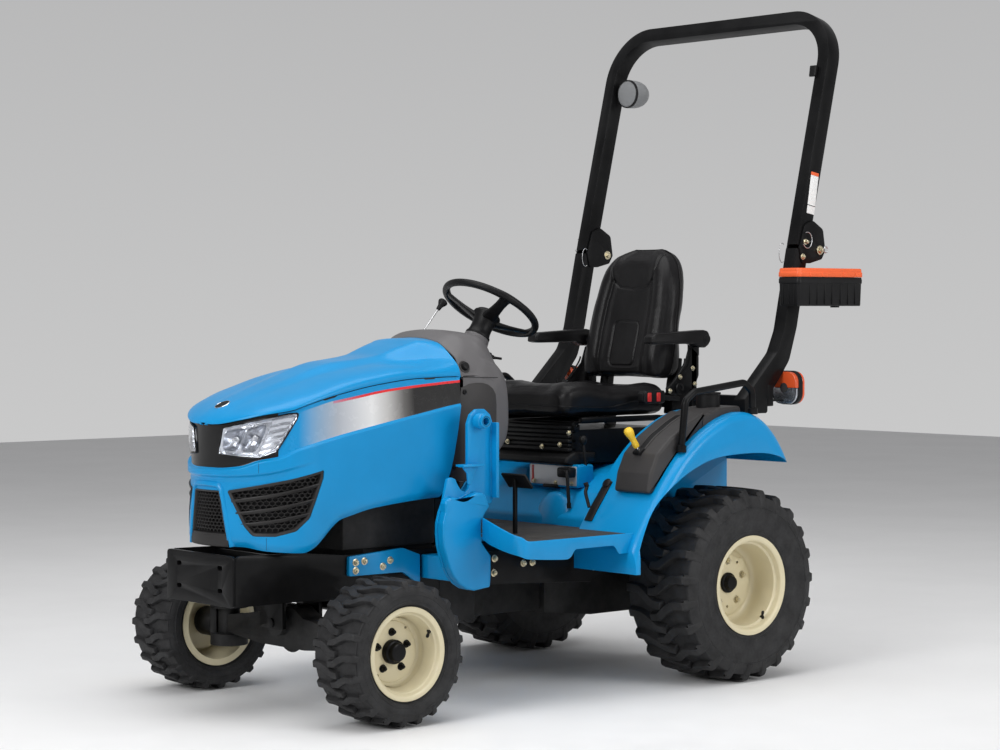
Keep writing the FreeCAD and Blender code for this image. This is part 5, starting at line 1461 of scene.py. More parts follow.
# ---- shield: raised blue blade round the centre grille
sb = MB()
pts = [(s_of_x(112), 531), (s_of_x(106), 566), (s_of_x(90), 640), (s_of_x(76), 700), (s_of_x(72), 712), (s_of_x(60), 722), (0, 724)]
cl = resample([(-s, z) for s, z in pts] + [(s, z) for s, z in reversed(pts[:-1])], 72)
cl = [(cl[max(0, i - 1)][0] * 0.25 + p[0] * 0.5 + cl[min(len(cl) - 1, i + 1)][0] * 0.25, cl[max(0, i - 1)][1] * 0.25 + p[1] * 0.5 + cl[min(len(cl) - 1, i + 1)][1] * 0.25) for i, p in enumerate(cl)]
rows = []
for i, (s, z) in enumerate(cl):
    a, b = cl[max(0, i - 1)], cl[min(len(cl) - 1, i + 1)]
    dx, dz = b[0] - a[0], b[1] - a[1]
    L = math.hypot(dx, dz)
    nx_, nz_ = -dz / L, dx / L                      # towards the outside of the shield
    row = []
    for w_, of in ((-8, -14), (-7.6, -3.0), (-6.0, 0.0), (-2.5, 2.2), (2.5, 1.4), (7.5, -2.5), (11.0, -6.5), (12.0, -12)):
        row.append(hpo(s + nx_ * w_, z + nz_ * w_, of - 3.0))
    rows.append(row)
grid(sb, rows, 0, caps=True)
mk("shield_rim_v", sb, "blue", "hood", (), ang=40)

# ---- headlights
for sd, nm in ((1, "left"), (-1, "right")):
    bez = MB()
    lens = MB()
    inn = MB()
    blk = MB()
    # housing rim
    ring_frame(bez, inset(lamp_r, 0.6), 4.2, -6.5, -8.5, 26, 0, rnd=1.2)
    # lens surface
    top_e = [(s_of_x(77), 900), (s_of_x(118), 910), (s_of_y(-905), 946), (s_of_y(-872), 948)]
    bot_e = [(s_of_x(57), 815), (s_of_x(136), 808), (s_of_x(189), 804), (s_of_y(-940), 822)]
    C = coons([(s_of_x(57), 815), (s_of_x(77), 900)], [(s_of_y(-940), 822), (s_of_y(-880), 925), (s_of_y(-872), 948)], bot_e, top_e, 30, 14)
    cs = sum(p[0] for r in C for p in r) / (31 * 15)
    cz_ = sum(p[1] for r in C for p in r) / (31 * 15)
    rows = []
    for j, r in enumerate(C):
        row = []
        for i, (s, z) in enumerate(r):
            e = min(i, 30 - i, j * 2.1, (14 - j) * 2.1) / 7.0
            bulge = -7.5 + 4.5 * sm(e)
            s2 = cs + (s - cs) * 0.975
            z2 = cz_ + (z - cz_) * 0.955
            row.append(hpo(s2, z2, bulge))
        rows.append(row)
    grid(lens, rows)
    # reflector housing: two square-ish bowls and a ribbed outer part
    back = []
    rows = []
    for j, r in enumerate(coons([(s_of_x(57), 815), (s_of_x(77), 900)], [(s_of_y(-940), 822), (s_of_y(-880), 925), (s_of_y(-872), 948)], bot_e, top_e, 120, 52)):
        row = []
        for i, (s, z) in enumerate(r):
            u, v = i / 120, j / 52
            e = min(u / 0.05, (1 - u) / 0.04, v / 0.10, (1 - v) / 0.10)
            depth = -12 - 8 * sm(e)
            for (uc, vc, ru, rv, dd) in ((0.19, 0.50, 0.155, 0.36, 34), (0.50, 0.50, 0.135, 0.36, 32)):
                q = (abs((u - uc) / ru) ** 4 + abs((v - vc) / rv) ** 4) ** 0.25
                if q < 1:
                    depth -= dd * (1 - q * q) ** 0.55
                elif q < 1.16:
                    depth += 2.2 * sm((1.16 - q) / 0.10)
            if u > 0.68 and e > 0.7:
                ph = (v * 6.0) % 1.0
                depth += 1.0 + 4.2 * (1 - abs(2 * ph - 1))
            s2 = cs + (s - cs) * 0.97
            z2 = cz_ + (z - cz_) * 0.94
            row.append(hpo(s2, z2, depth))
        rows.append(row)
    grid(inn, rows)
    # bulbs with caps
    for (uc, vc) in ((0.19, 0.50), (0.50, 0.50)):
        r_ = coons([(s_of_x(57), 815), (s_of_x(77), 900)], [(s_of_y(-940), 822), (s_of_y(-880), 925), (s_of_y(-872), 948)], bot_e, top_e, 60, 26)
        s, z = r_[int(vc * 26)][int(uc * 60)]
        p = Vector(hpo(s, z, -46))
        q = Vector(hpo(s, z, -20))
        d = (q - p).normalized()
        lathe(blk, [(0, 0), (9, 0), (9, 4), (6.5, 5), (6.5, 14), (5.5, 20), (3.0, 23), (0, 24)], p, d, 20)
    if sd < 0:
        bez, lens, inn, blk = bez.mir(), lens.mir(), inn.mir(), blk.mir()
    mk("lamp_bezel_" + nm, bez, "gloss_black", "hood", (), ang=35)
    ob = mk("lamp_reflector_" + nm, inn, "reflector", "hood", (), ang=22)
    mk("lamp_bulbs_" + nm, blk, "bulb", "hood", (), ang=35)
    lo_b = mk("lamp_lens_" + nm, lens, "lens", "hood", "headlights" if sd > 0 else (), ang=40)
    md = lo_b.modifiers.new("sol", "SOLIDIFY")
    md.thickness = 0.002
    md.offset = -1
    apply_mods(lo_b)
    lo_b.data.shade_smooth()
# chrome strip along the top edge of each lamp and a bright brow at the outer end
ch = MB()
for sd in (1, -1):
    one = MB()
    path = resample([(s_of_x(70), 872), (s_of_x(78), 896), (s_of_x(118), 907), (s_of_y(-905), 943), (s_of_y(-880), 944), (s_of_y(-884), 925), (s_of_y(-938), 829), (s_of_x(189), 809), (s_of_x(136), 813), (s_of_x(64), 819), (s_of_x(70), 872)], 80)
    rows = []
    for i, (s, z) in enumerate(path):
        a, b = path[max(0, i - 1)], path[min(len(path) - 1, i + 1)]
        dx, dz = b[0] - a[0], b[1] - a[1]
        L = math.hypot(dx, dz)
        nx_, nz_ = -dz / L, dx / L
        rows.append([hpo(s + nx_ * w_, z + nz_ * w_, of) for w_, of in ((-1.8, -22), (-1.6, -11), (0, -10), (1.6, -11), (1.8, -22))])
    grid(one, rows)
    ch.join(one if sd > 0 else one.mir())
mk("lamp_trim_v", ch, "chrome", "hood", (), ang=40)


# ------------------------------------------------------------------ dash cowl
CRD = [(0, 0), (31, 0.3), (60, 1.8), (93, 4), (120, 7), (140, 10.5), (160, 19), (175, 29), (196, 49), (211, 70), (226, 94), (236, 113), (244, 124)]
CRC = [(-240, 1180), (-222, 1186), (-200, 1192), (-177, 1195.5), (-150, 1197), (-127, 1196), (-100, 1194), (-74, 1190), (-44, 1181.5), (-13, 1170), (14, 1159), (60, 1135), (110, 1110)]
CRR = [(690, -110), (720, -90), (735, -60), (755, -26), (783, 9), (800, 27), (827, 49), (848, 58), (869, 63), (919, 65), (959, 63.5), (990, 60), (1013, 55), (1030, 49), (1044, 41), (1064, 25), (1083, 3), (1092, -14), (1098, -30)]


def cowl_shift(x):
    x = abs(x)
    if x <= 100:
        return 53 + (100 - x) * 0.50 - 0.0022 * (100 - x) ** 2 * 1.2
    if x <= 218:
        return 0.88 * (160 - x)
    return 0.88 * (160 - 218) - (x - 218) * 1.5 - 0.05 * (x - 218) ** 2


def cowl_top(x, y):
    k = (slut(CRC, y) - 1042) / 126
    return slut(CRC, y) - slut(CRD, abs(x)) * k


def cowl_line(x):
    """outline from the front lip over the top and down the back, at one x"""
    sh = cowl_shift(x)
    lipy = -221 + 9 * sm((abs(x) - 150) / 60)
    rear = [(slut(CRR, z) + sh, z) for z in (1080, 1070, 1055, 1040, 1020, 995, 960, 920, 880, 850, 825, 800, 775, 750, 728, 702)]
    ax_ = abs(x)
    # where the top hands over to the back
    ztop = cowl_top(x, -120)
    keep = [p for p in rear if p[1] < min(ztop - 26, 1084)]
    y_end = keep[0][0]
    tops = []
    # the lip comes down to just above the hood's rear edge
    over = max(0.0, cowl_top(x, lipy + 2) - (top_z(x, -222) + 3.0)) * (1 - sm((ax_ - 205) / 30))
    for y in (lipy + 2, -205, -185, -160, -135, -110, -85, -60, -35, -12, 10, 32):
        if y > y_end - 52 or (y < lipy + 1):
            continue
        tops.append((y, cowl_top(x, y) - over * (1 - sm((y - lipy) / 62))))
    pts = tops + keep
    sp_ = spline([Vector((p[0], p[1], 0)) for p in pts], 6)
    pts = [(p.x, p.y) for p in sp_]
    z0 = pts[0][1]
    pre = [(-204, z0 - 14), (-206, z0 - 11), (lipy + 3, z0 - 8.0), (lipy + 0.6, z0 - 6.5), (lipy, z0 - 4), (lipy + 0.5, z0 - 1.4)]
    return pre, pts


xs_ = [0, 18, 36, 54, 72, 90, 106, 120, 133, 145, 155, 164, 173, 182, 191, 199, 206, 212.5, 218, 223, 227.5, 231.5, 235, 238, 240.3, 242.2, 243.4, 244]
cm = MB()
rows = []
for x in [-v for v in reversed(xs_[1:])] + xs_:
    pre, pts = cowl_line(x)
    L = [0.0]
    for a, b in zip(pts, pts[1:]):
        L.append(L[-1] + math.hypot(b[0] - a[0], b[1] - a[1]))
    N_ = 64
    row = [(x, p[0], p[1]) for p in pre]
    q = resample(pts, N_)
    row += [(x, p[0], p[1]) for p in q]
    rows.append(row)
grid(cm, rows)
last = rows[-1]
# side walls
for sd in (1, -1):
    out_ = [(p[1], p[2]) for p in last[6:]]
    poly = [(-206, 702)] + [(-206, z) for z in (760, 830, 900, 970, 1020)] + [(p[0], p[1]) for p in out_]
    n = len(out_)
    wall = []
    for j in range(n):
        y, z = out_[j]
        wall.append([(sd * 244, y, z), (sd * 244.0, -206 + (y + 206) * 0.66, min(z, 1035 - (1035 - 702) * (j / (n - 1)) * 1.0) if 0 else z),
                     (sd * 244.0, -206 + (y + 206) * 0.33, z), (sd * 244.0, -206, z)])
    grid(cm, wall)
cw_ = mk("dash_cowl_v", cm, "grey_plastic", "chassis", "dash_cowl", ang=40, weld=0.3)
# seam across the side at the foot of the top shell, drawn as a thin dark strip: painted shade standing in for a fine
# groove
gr = MB()
for sd in (1, -1):
    rows = []
    for i in range(15):
        y = -205 + (150) * i / 14
        z = 1042 - 3 * i / 14
        rows.append([(sd * 243.0, y, z + 1.2), (sd * 244.35, y, z + 0.9), (sd * 244.35, y, z - 0.9), (sd * 243.0, y, z - 1.2)])
    grid(gr, rows, caps=True)
mk("cowl_seam_v", gr, "gap_dark", "chassis", (), ang=40)
# darker side panels, standing 2 mm proud with a rolled edge
pm = MB()
ol = [(-214, 1014), (-180, 1021), (-150, 1024), (-122, 1023), (-98, 1017), (-78, 1004), (-66, 985), (-62, 950), (-63, 900), (-66, 830), (-78, 780), (-96, 735), (-120, 705)]
fr_ = [(704, -284), (717, -262), (744, -272 + 12), (768, -249), (800, -243), (872, -235), (953, -223), (990, -218), (1008, -216)]
left_ = [(-262, 705), (-258, 740), (-249, 780), (-241, 830), (-232, 880), (-226, 930), (-221, 975), (-217, 1008)]
poly = round_poly(left_ + ol[1:], 3, 2)
for sd in (1, -1):
    one = MB()
    rows = []
    for ins_, dx in ((0, -6), (0, 0.4), (0.6, 1.6), (1.8, 2.1)):
        rows.append([(244 + dx, y, z) for y, z in inset(poly, ins_)])
    grid(one, rows, wrap=True)
    q = inset(poly, 1.8)
    one.add([(246.1, y, z) for y, z in q], [tuple(range(len(q)))])
    pm.join(one if sd > 0 else one.mir())
mk("dash_panels_v", pm, "dark_plastic", "chassis", "dash_panels", ang=40)
# round switch in a dimple, and a screw low on the panel
kb = MB()
zc_ = cowl_top(228, -187)
nrm = Vector((0.90, 0.02, 0.42)).normalized()
c0 = Vector((228, -187, zc_))
lathe(kb, [(22, -1.5), (21, 1.2), (18, 1.8), (15.5, 0.6), (14, -0.5)], c0, nrm, 36)
mk("cowl_knob_ring_v", kb, "dark_plastic", "chassis", (), ang=30)
kb = MB()
lathe(kb, [(13.5, -2), (13.2, 9), (12, 11.5), (8, 12.6), (0, 12.8)], c0, nrm, 36)
rbox(kb, -2, 2, -9, 9, -2, 2, 1)
kb2 = MB()
lathe(kb2, [(13.5, -2), (13.2, 9), (12, 11.5), (8, 12.6), (0, 12.8)], c0, nrm, 36)
mk("cowl_knob_v", kb2, "black_plastic", "chassis", (), ang=30)
sc_ = MB()
for sd in (1, -1):
    for (y, z) in ((-246, 752), (-90, 812), (-214 + 12, 995)):
        lathe(sc_, [(8.5, 1.5), (8.2, 4.5), (6.5, 6), (3, 6.2), (2.2, 4.8), (0, 4.6)], (sd * 244, y, z), (sd, 0, 0), 24)
mk("cowl_screws_v", sc_, "black_plastic", "chassis", (), ang=30)

# ------------------------------------------------------------------ steering column and wheel
TILT = math.radians(32)
AXW = Vector((0, math.sin(TILT), math.cos(TILT)))
WC = Vector((0, 126, 1268))
bo = MB()
# boot: widens downwards into the cowl
B0 = WC + AXW * (-118)
rows = []
u, w, d = basis(AXW)
Ey = Vector((0, math.cos(TILT), -math.sin(TILT)))
for t, r, sx in ((0, 40, 1.0), (0.3, 43.5, 1.0), (-4, 45, 1.0), (-16, 46, 1.02), (-34, 48, 1.05), (-54, 52, 1.12), (-72, 60, 1.22), (-86, 72, 1.32), (-98, 88, 1.40)):
    row = []
    for k in range(56):
        a = 2 * math.pi * k / 56
        p = B0 + AXW * t + Vector((1, 0, 0)) * math.cos(a) * r * sx + Ey * math.sin(a) * r * (1.0 if t > -50 else 0.96)
        row.append(p)
    rows.append(row)
grid(bo, rows, wrap=True)
lathe(bo, [(0, 0.3), (40, 0.3)], B0, AXW, 56)
mk("column_boot_v", bo, "grey_plastic", "chassis", "steering_column", ang=50)
kl = MB()
c = Vector((52, 62, 1108))
dr = (Ey * 0.80 + Vector((0.58, 0, 0)) + AXW * 0.1).normalized()
lathe(kl, [(14, -8), (13.5, 12), (12, 15), (9, 16), (8, 24), (6.5, 26), (0, 26.4)], c, dr, 24)
pipe(kl, spline([c + dr * 24, c + dr * 34 + AXW * 3, c + dr * 52 + AXW * 7], 4), [5.0] * 4 + [4.4] * 4 + [4.0], 12)
mk("column_lever_v", kl, "black_plastic", "chassis", (), ang=35)

sw = MB()
RM = 165.5
# rim with a grip pattern
rows = []
for i in range(144):
    a = 2 * math.pi * i / 144
    e = Vector((math.cos(a), 0, 0)) + Ey * math.sin(a)
    da = min(abs((math.degrees(a) - q + 180) % 360 - 180) for q in (218, 336, 72))
    grip = 1.0 + 0.10 * (1 - sm(abs(da - 0) / 20))
    rows.append([WC + e * (RM + 12.6 * grip * math.cos(b)) + AXW * (12.2 * grip * math.sin(b) - (0.9 * (1 if (k % 4 == 0) else 0)) * (1 if math.sin(b) < -0.3 else 0))
                 for k, b in enumerate([2 * math.pi * k / 24 for k in range(24)])])
rows.append(rows[0])
grid(sw, rows, wrap=True)
# hub cup
lathe(sw, [(0, -117.0), (38, -117.0), (43, -116.4), (44, -114), (43.2, -108), (40, -104), (37.5, -92), (37.0, -78), (38.5, -64), (42, -50), (47, -38), (49, -32), (47, -27), (42, -24), (40, -20), (36, -17.5), (20, -16), (0, -15.6)], WC, AXW, 56)
for adeg in (218, 336, 72):
    a = math.radians(adeg)
    e = Vector((math.cos(a), 0, 0)) + Ey * math.sin(a)
    sv = AXW.cross(e).normalized()
    rows = []
    for u_, r, t, wd, th in ((0, 22, -44, 25, 15), (0.1, 34, -43, 25, 14.5), (0.25, 52, -39, 24, 12), (0.45, 84, -29, 20.5, 9), (0.65, 114, -18.5, 18.5, 7.5), (0.85, 140, -9.5, 19, 7.2), (0.95, 153, -4.0, 22, 8), (1.0, 163, 0, 26, 8)):
        row = []
        for k in range(20):
            b = 2 * math.pi * k / 20
            cx, cy_ = math.cos(b), math.sin(b)
            px = wd * (abs(cx) ** 0.6) * (1 if cx >= 0 else -1)
            py = th * (abs(cy_) ** 0.75) * (1 if cy_ >= 0 else -1)
            row.append(WC + e * r + sv * px + AXW * (t + py * (1.0 if py < 0 else 0.55)))
        rows.append(row)
    grid(sw, rows, wrap=True, caps=True)
mk("steering_wheel_v", sw, "black_plastic", "steering_wheel", "steering_wheel", ang=50)


# ------------------------------------------------------------------ loader brackets
BX0, BX1 = 340.0, 352.0
LOWB = [(-190, 638), (-210, 627), (-229, 611), (-245, 587), (-247, 552), (-245, 518), (-229, 497), (-206, 471), (-206, 411), (-210, 370), (-275, 363),
        (-307, 370), (-336, 387), (-361, 413), (-380, 444), (-393, 479), (-403, 513), (-407, 552), (-406, 586), (-396, 620)]
BRP = [(-169, 656), (-171, 893), (-184, 925), (-208, 943), (-243, 943), (-267, 926), (-279, 897), (-279, 762), (-268, 738), (-269, 710), (-276, 686), (-289, 678),
       (-309, 688), (-321, 704), (-331, 722), (-347, 728), (-363, 724), (-382, 650)] + LOWB[::-1] + [(-179, 638)]
BOXP = [(-397, 648), (-391, 660), (-375, 667), (-359, 666), (-343, 661), (-324, 657), (-308, 659), (-292, 667), (-276, 674), (-259, 678), (-243, 676), (-230, 668),
        (-212, 630)] + LOWB[2:]
bp = MB()
prism(bp, round_poly(BRP, 5, 3), "x", BX0, BX1, 1.2)
bo = mk("bracket_plate", bp.both(), "blue", "chassis", "loader_brackets", ang=35)
hc = MB()
lathe(hc, [(0, 0), (24, 0), (24, 40), (0, 40)], (BX0 - 15, -233, 905), (1, 0, 0), 36)
cut(bo, [hc, hc.mir()])
bo.data.shade_smooth()
bo.data.set_sharp_from_angle(angle=math.radians(35))
bp = MB()
box_o = round_poly(BOXP, 5, 3)
prism(bp, box_o, "x", BX1 - 0.5, BX1 + 32, 6.5, 0, 4)
mk("bracket_box", bp.both(), "blue", "chassis", (), ang=38)
bp = MB()
# standing flange, shelf with its curved web, hook plate
rbox(bp, BX1 - 1, BX1 + 26, -179, -167, 656, 899, 1.5, 0, "z")
rbox(bp, BX1 - 1, BX1 + 30, -321, -233, 760, 768, 2.0, 0, "z")
prism(bp, [(-320, 762), (-320, 768), (-279, 768), (-266, 742), (-274, 740), (-286, 757)], "x", BX0 + 1, BX1 - 0.2, 0.8)
prism(bp, round_poly([(-318, 762), (-250, 762), (-270, 735), (-280, 700), (-292, 705), (-296, 740)], 4, 3), "x", BX1 + 12, BX1 + 18, 0.8)
# weld beads along the box and the flange
for pts in ([(BX1 + 0.5, y, z) for y, z in [(-382, 662), (-359, 668), (-324, 659), (-292, 669), (-259, 679), (-232, 670)]],
            [(BX1 + 0.5, -180.5, 662), (BX1 + 0.5, -180.5, 780), (BX1 + 0.5, -180.5, 895)], [(BX0 - 0.5, -330, 392), (BX0 - 0.5, -330, 468)]):
    ln = spline(pts, 8)
    pipe(bp, ln, [2.2 + 0.5 * math.sin(i * 2.3) for i in range(len(ln))], 8)
rbox(bp, 218, BX0 + 0.5, -330, -215, 392, 468, 6, 0, "x", 1.5)
rbox(bp, 178.4, 221, -330, -215, 392, 468, 6, 0, "x", 1.5)
mk("bracket_ribs", bp.both(), "blue", "chassis", (), ang=35)
bp = MB()
# bored boss with a collar
lathe(bp, [(12.75, 0), (12.75, 64), (13.4, 64.6), (20.5, 64.6), (22, 63.4), (22.4, 56), (25.5, 55), (26, 54), (26, 1.2), (25, 0), (12.75, 0)], (BX0 - 14, -233, 905), (1, 0, 0), 48)
mk("bracket_boss", bp.both(), "blue", "chassis", (), ang=35)
bp = MB()
lathe(bp, [(12.9, 1), (12.9, 63.5), (15.5, 64.9), (16.5, 64.9), (16.8, 63), (12.9, 62)], (BX0 - 14, -233, 905), (1, 0, 0), 48)
mk("boss_bush", bp.both(), "black_cast", "chassis", (), ang=35)
bp = MB()
for y, z in ((-300, 410), (-300, 450), (-245, 410), (-245, 450)):
    hexbolt(bp, (222, y, z), (1, 0, 0), 8, 7)
mk("bracket_bolts", bp.both(), "zinc", "chassis", (), ang=30)

# ------------------------------------------------------------------ foot plate with a folded, rising front edge
DZ = 527.0
ZT = [(384, 597), (440, 587), (500, 573), (550, 558), (590, 547), (600, 537)]
ZB = [(384, 529), (430, 517), (490, 506), (540, 496), (580, 489), (600, 479)]
SB_ = [(-226, 477), (-137, 470), (-71, 467), (-51, 478), (-38, 497), (132, 498), (160, 469), (222, 469)]
outl = [(600, 222), (600, 60), (600, -100)] + round_poly([(600, -100), (600, -270), (500, -275), (440, -265), (389, -249)], [0, 42, 40, 40, 0], 10)[1:]
path = []
for a, b in zip(outl, outl[1:]):
    n = max(1, int(math.hypot(b[0] - a[0], b[1] - a[1]) / 9))
    for k in range(n):
        path.append((a[0] + (b[0] - a[0]) * k / n, a[1] + (b[1] - a[1]) * k / n))
path.append(outl[-1])
rows = []
for i, (x, y) in enumerate(path):
    a, b = path[max(0, i - 1)], path[min(len(path) - 1, i + 1)]
    dx, dy = b[0] - a[0], b[1] - a[1]
    L = math.hypot(dx, dy)
    nx_, ny_ = dy / L, -dx / L          # inward
    if nx_ > 0 and x > 590:
        nx_, ny_ = -nx_, -ny_
    if ny_ < 0 and x < 590:
        nx_, ny_ = -nx_, -ny_
    w = min(1.0, max(0.0, (-226 - y) / 30.0)) if x > 560 else 1.0
    zt = 533.5 + (slut(ZT, x) - 533.5) * w
    zb = slut(SB_, y) * (1 - w) + slut(ZB, x) * w
    up = zt - 533.5
    prof = [(3.0, zb), (0.6, zb), (0.0, zb + 1.0), (0.0, zt - 3.5), (0.5, zt - 1.4), (1.7, zt - 0.2), (3.6, zt), (5.6, zt - 1.0), (7.5, zt - 3.5),
            (8.5, min(zt - 4.5, DZ + 8)), (10.0, DZ + 1.0), (14, DZ - 0.2), (14, DZ - 3.0), (9, DZ - 3.0), (5.0, min(zt - 8.0, DZ + 3)), (3.0, min(zt - 8.0, DZ + 3))]
    rows.append([(x + nx_ * o, y + ny_ * o, z) for o, z in prof])
rm = MB()
grid(rm, rows, 0, wrap=True, caps=True)
dk = MB()
hp_ = [(597, 222), (597, -226), (585, -256), (560, -268), (500, -272), (440, -262), (389, -246), (389, -184), (331, -184), (331, -299), (263, -299), (263, -120)]
dpl = [(x, y) for x, y in hp_] + [(-x, y) for x, y in hp_[::-1]]
dpl += [(-338.5, 222), (-338.5, 261), (338.5, 261), (338.5, 222)]
prism(dk, dpl, "z", DZ - 3, DZ, 0.4)
dk.join(rm.both())
# folded lip along the inner front cut-outs
lip = MB()
rbox(lip, 263, 331, -300, -297, 505, DZ - 1, 1.0, 0, "z")
rbox(lip, 262, 265, -299, -121, 505, DZ - 1, 1.0, 0, "z")
dk.join(lip.both())
mk("platform_v", dk, "blue", "chassis", "platform", ang=40)

# rubber mats with diagonal brick treads
mt = MB()
mo = [(3, 258), (338, 258), (338, 221), (588, 221), (588, -224), (576, -250), (556, -260), (500, -263), (440, -253), (391, -239), (391, -182), (329, -182), (329, -296), (266, -296), (266, -112), (3, -112)]
prism(mt, round_poly(mo, 4, 3), "z", DZ + 0.05, DZ + 2.6, 0.8)


def inpoly(p, poly):
    x, y = p
    c = False
    for i in range(len(poly)):
        x1, y1 = poly[i]
        x2, y2 = poly[i - 1]
        if (y1 > y) != (y2 > y) and x < (x2 - x1) * (y - y1) / (y2 - y1) + x1:
            c = not c
    return c


c45, s45 = math.cos(math.radians(45)), math.sin(math.radians(45))
for iu in range(-30, 31):
    for iv in range(-60, 61):
        u = iu * 44.0 + (22.0 if iv % 2 else 0.0)
        v = iv * 15.5
        cx, cy = 430 + u * c45 - v * s45, 0 + u * s45 + v * c45
        cr = [(cx + du * c45 - dv * s45, cy + du * s45 + dv * c45) for du, dv in ((-19, -5.6), (19, -5.6), (19, 5.6), (-19, 5.6))]
        if not all(inpoly(q, mo) for q in [(cx + (x - cx) * 1.25, cy + (y - cy) * 1.25) for x, y in cr]):
            continue
        if any(317 < q[0] < 343 and -72 < q[1] < -40 for q in cr):
            continue
        prism(mt, cr, "z", DZ + 2.3, DZ + 4.0, 0.7)
mtb = mt.both()
mo_ = mk("floor_mats_v", mtb, "rubber_mat", "chassis", "floor_mats", ang=35)
ph = MB()
rbox(ph, 317, 343, -70, -42, 520, 540, 2, 0, "z")
pr_ = MB()
rbox(pr_, -408, -390, -204, -178, 520, 540, 2, 0, "z")
cut(mo_, [ph, pr_])

# black side plates under the deck, with their bolts
sp_ = MB()
prism(sp_, round_poly([(-173, 371), (-174, 476), (354, 451), (354, 368), (286, 347), (-66, 366)], [14, 14, 14, 20, 20, 20], 5), "x", 322, 330, 1.2)
rbox(sp_, 107, 323, -30, 20, 405, 450, 4, 0, "x", 1.2)
mk("support_plates", sp_.both(), "black_paint", "chassis", "platform_supports", ang=35)
sb_ = MB()
for y, z in ((-146, 454), (-149, 407), (20, 430), (-20, 430), (300, 430), (300, 395)):
    hexbolt(sb_, (330, y, z), (1, 0, 0), 9, 8)
mk("support_bolts", sb_.both(), "zinc", "chassis", (), ang=30)

# brake pedal with a ribbed pad, and the two travel pedals on the right
pd = MB()
prism(pd, round_poly([(-61, 727.5), (-26, 682.5), (-32.5, 677.5), (-67.5, 722.5)], 1.5, 2), "x", 271, 389, 2.5)
ux, uz = 35 / 57.0, -45 / 57.0
nx2, nz2 = 45 / 57.0, 35 / 57.0
for k in range(7):
    t = 5 + k * 7.6
    cy, cz = -61 + ux * t, 727.5 + uz * t
    prism(pd, [(cy - ux * 2 - nx2 * 0.5, cz - uz * 2 - nz2 * 0.5), (cy + ux * 2 - nx2 * 0.5, cz + uz * 2 - nz2 * 0.5), (cy + ux * 1.4 + nx2 * 0.4, cz + uz * 1.4 + nz2 * 0.4), (cy - ux * 1.4 + nx2 * 0.4, cz - uz * 1.4 + nz2 * 0.4)], "x", 277, 383, 0.3)
mk("brake_pad", pd, "black_plastic", "chassis", (), ang=35)
pd = MB()
prism(pd, round_poly([(-62, 527.5), (-62, 712), (-50, 698), (-50, 527.5)], 1.0, 2), "x", 324, 336, 1.2)
mk("brake_arm", pd, "black_paint", "chassis", "pedals", ang=35)
pd = MB()
prism(pd, round_poly([(-239, 590), (-232, 603), (-213, 597), (-192, 584), (-168, 576), (-141, 566), (-148, 553), (-190, 572)], 3, 2), "x", -429, -371, 2.5)
for k in range(4):
    for y0 in (-228, -162):
        yy = y0 + k * 5.5
        zz = 603 - (yy + 232) * 0.404
        prism(pd, [(yy - 1.5, zz - 2), (yy + 1.5, zz - 2), (yy + 1.2, zz - 0.2), (yy - 1.2, zz - 0.2)], "x", -425, -375, 0.3)
prism(pd, round_poly([(-198, 527.5), (-198, 573), (-184, 568), (-184, 527.5)], 1.0, 2), "x", -404, -394, 1.2)
mk("travel_pedals", pd, "black_plastic", "chassis", (), ang=35)


# ------------------------------------------------------------------ seat: padded parts inflated as cloth
def pad(name, mb, mat, body, rep, cap=22.0, voxel=6.0, pressure=4.0, box=None, smooth=22):
    ob = mk(name, mb, mat, body, rep, ang=180)
    md = ob.modifiers.new("rm", "REMESH")
    md.mode = "VOXEL"
    md.voxel_size = voxel * 0.001
    apply_mods(ob)
    base = [v.co.copy() for v in ob.data.vertices]
    sc = bpy.context.scene
    cl = ob.modifiers.new("cloth", "CLOTH")
    st = cl.settings
    st.quality = 4
    st.mass = 0.3
    st.tension_stiffness = st.compression_stiffness = 18
    st.shear_stiffness = 8
    st.bending_stiffness = 6
    st.use_pressure = True
    st.uniform_pressure_force = pressure
    st.effector_weights.gravity = 0
    cl.point_cache.frame_start = 1
    cl.point_cache.frame_end = 20
    for f in range(1, 21):
        sc.frame_set(f)
    apply_mods(ob)
    sc.frame_set(1)
    nv = len(base)
    disp = []
    for v, b in zip(ob.data.vertices, base):
        d = v.co - b
        if d.length > cap * 0.001:
            d = d * (cap * 0.001 / d.length)
        disp.append(d)
    ed = [tuple(e.vertices) for e in ob.data.edges]
    for _ in range(smooth):
        acc = [Vector((0, 0, 0)) for _k in range(nv)]
        cnt = [0] * nv
        for i, j in ed:
            acc[i] += disp[j]
            acc[j] += disp[i]
            cnt[i] += 1
            cnt[j] += 1
        disp = [disp[k] * 0.3 + acc[k] * (0.7 / max(1, cnt[k])) for k in range(nv)]
    for v, b, d in zip(ob.data.vertices, base, disp):
        v.co = b + d
    md = ob.modifiers.new("sub", "SUBSURF")
    md.levels = 1
    apply_mods(ob)
    if box:
        lo_, hi_ = P(box[0], box[2], box[4]), P(box[1], box[3], box[5])
        for v in ob.data.vertices:
            for i in range(3):
                v.co[i] = min(max(v.co[i], lo_[i]), hi_[i])
    ob.data.materials.clear()
    ob.data.materials.append(MATS[mat])
    ob.data.shade_smooth()
    return ob


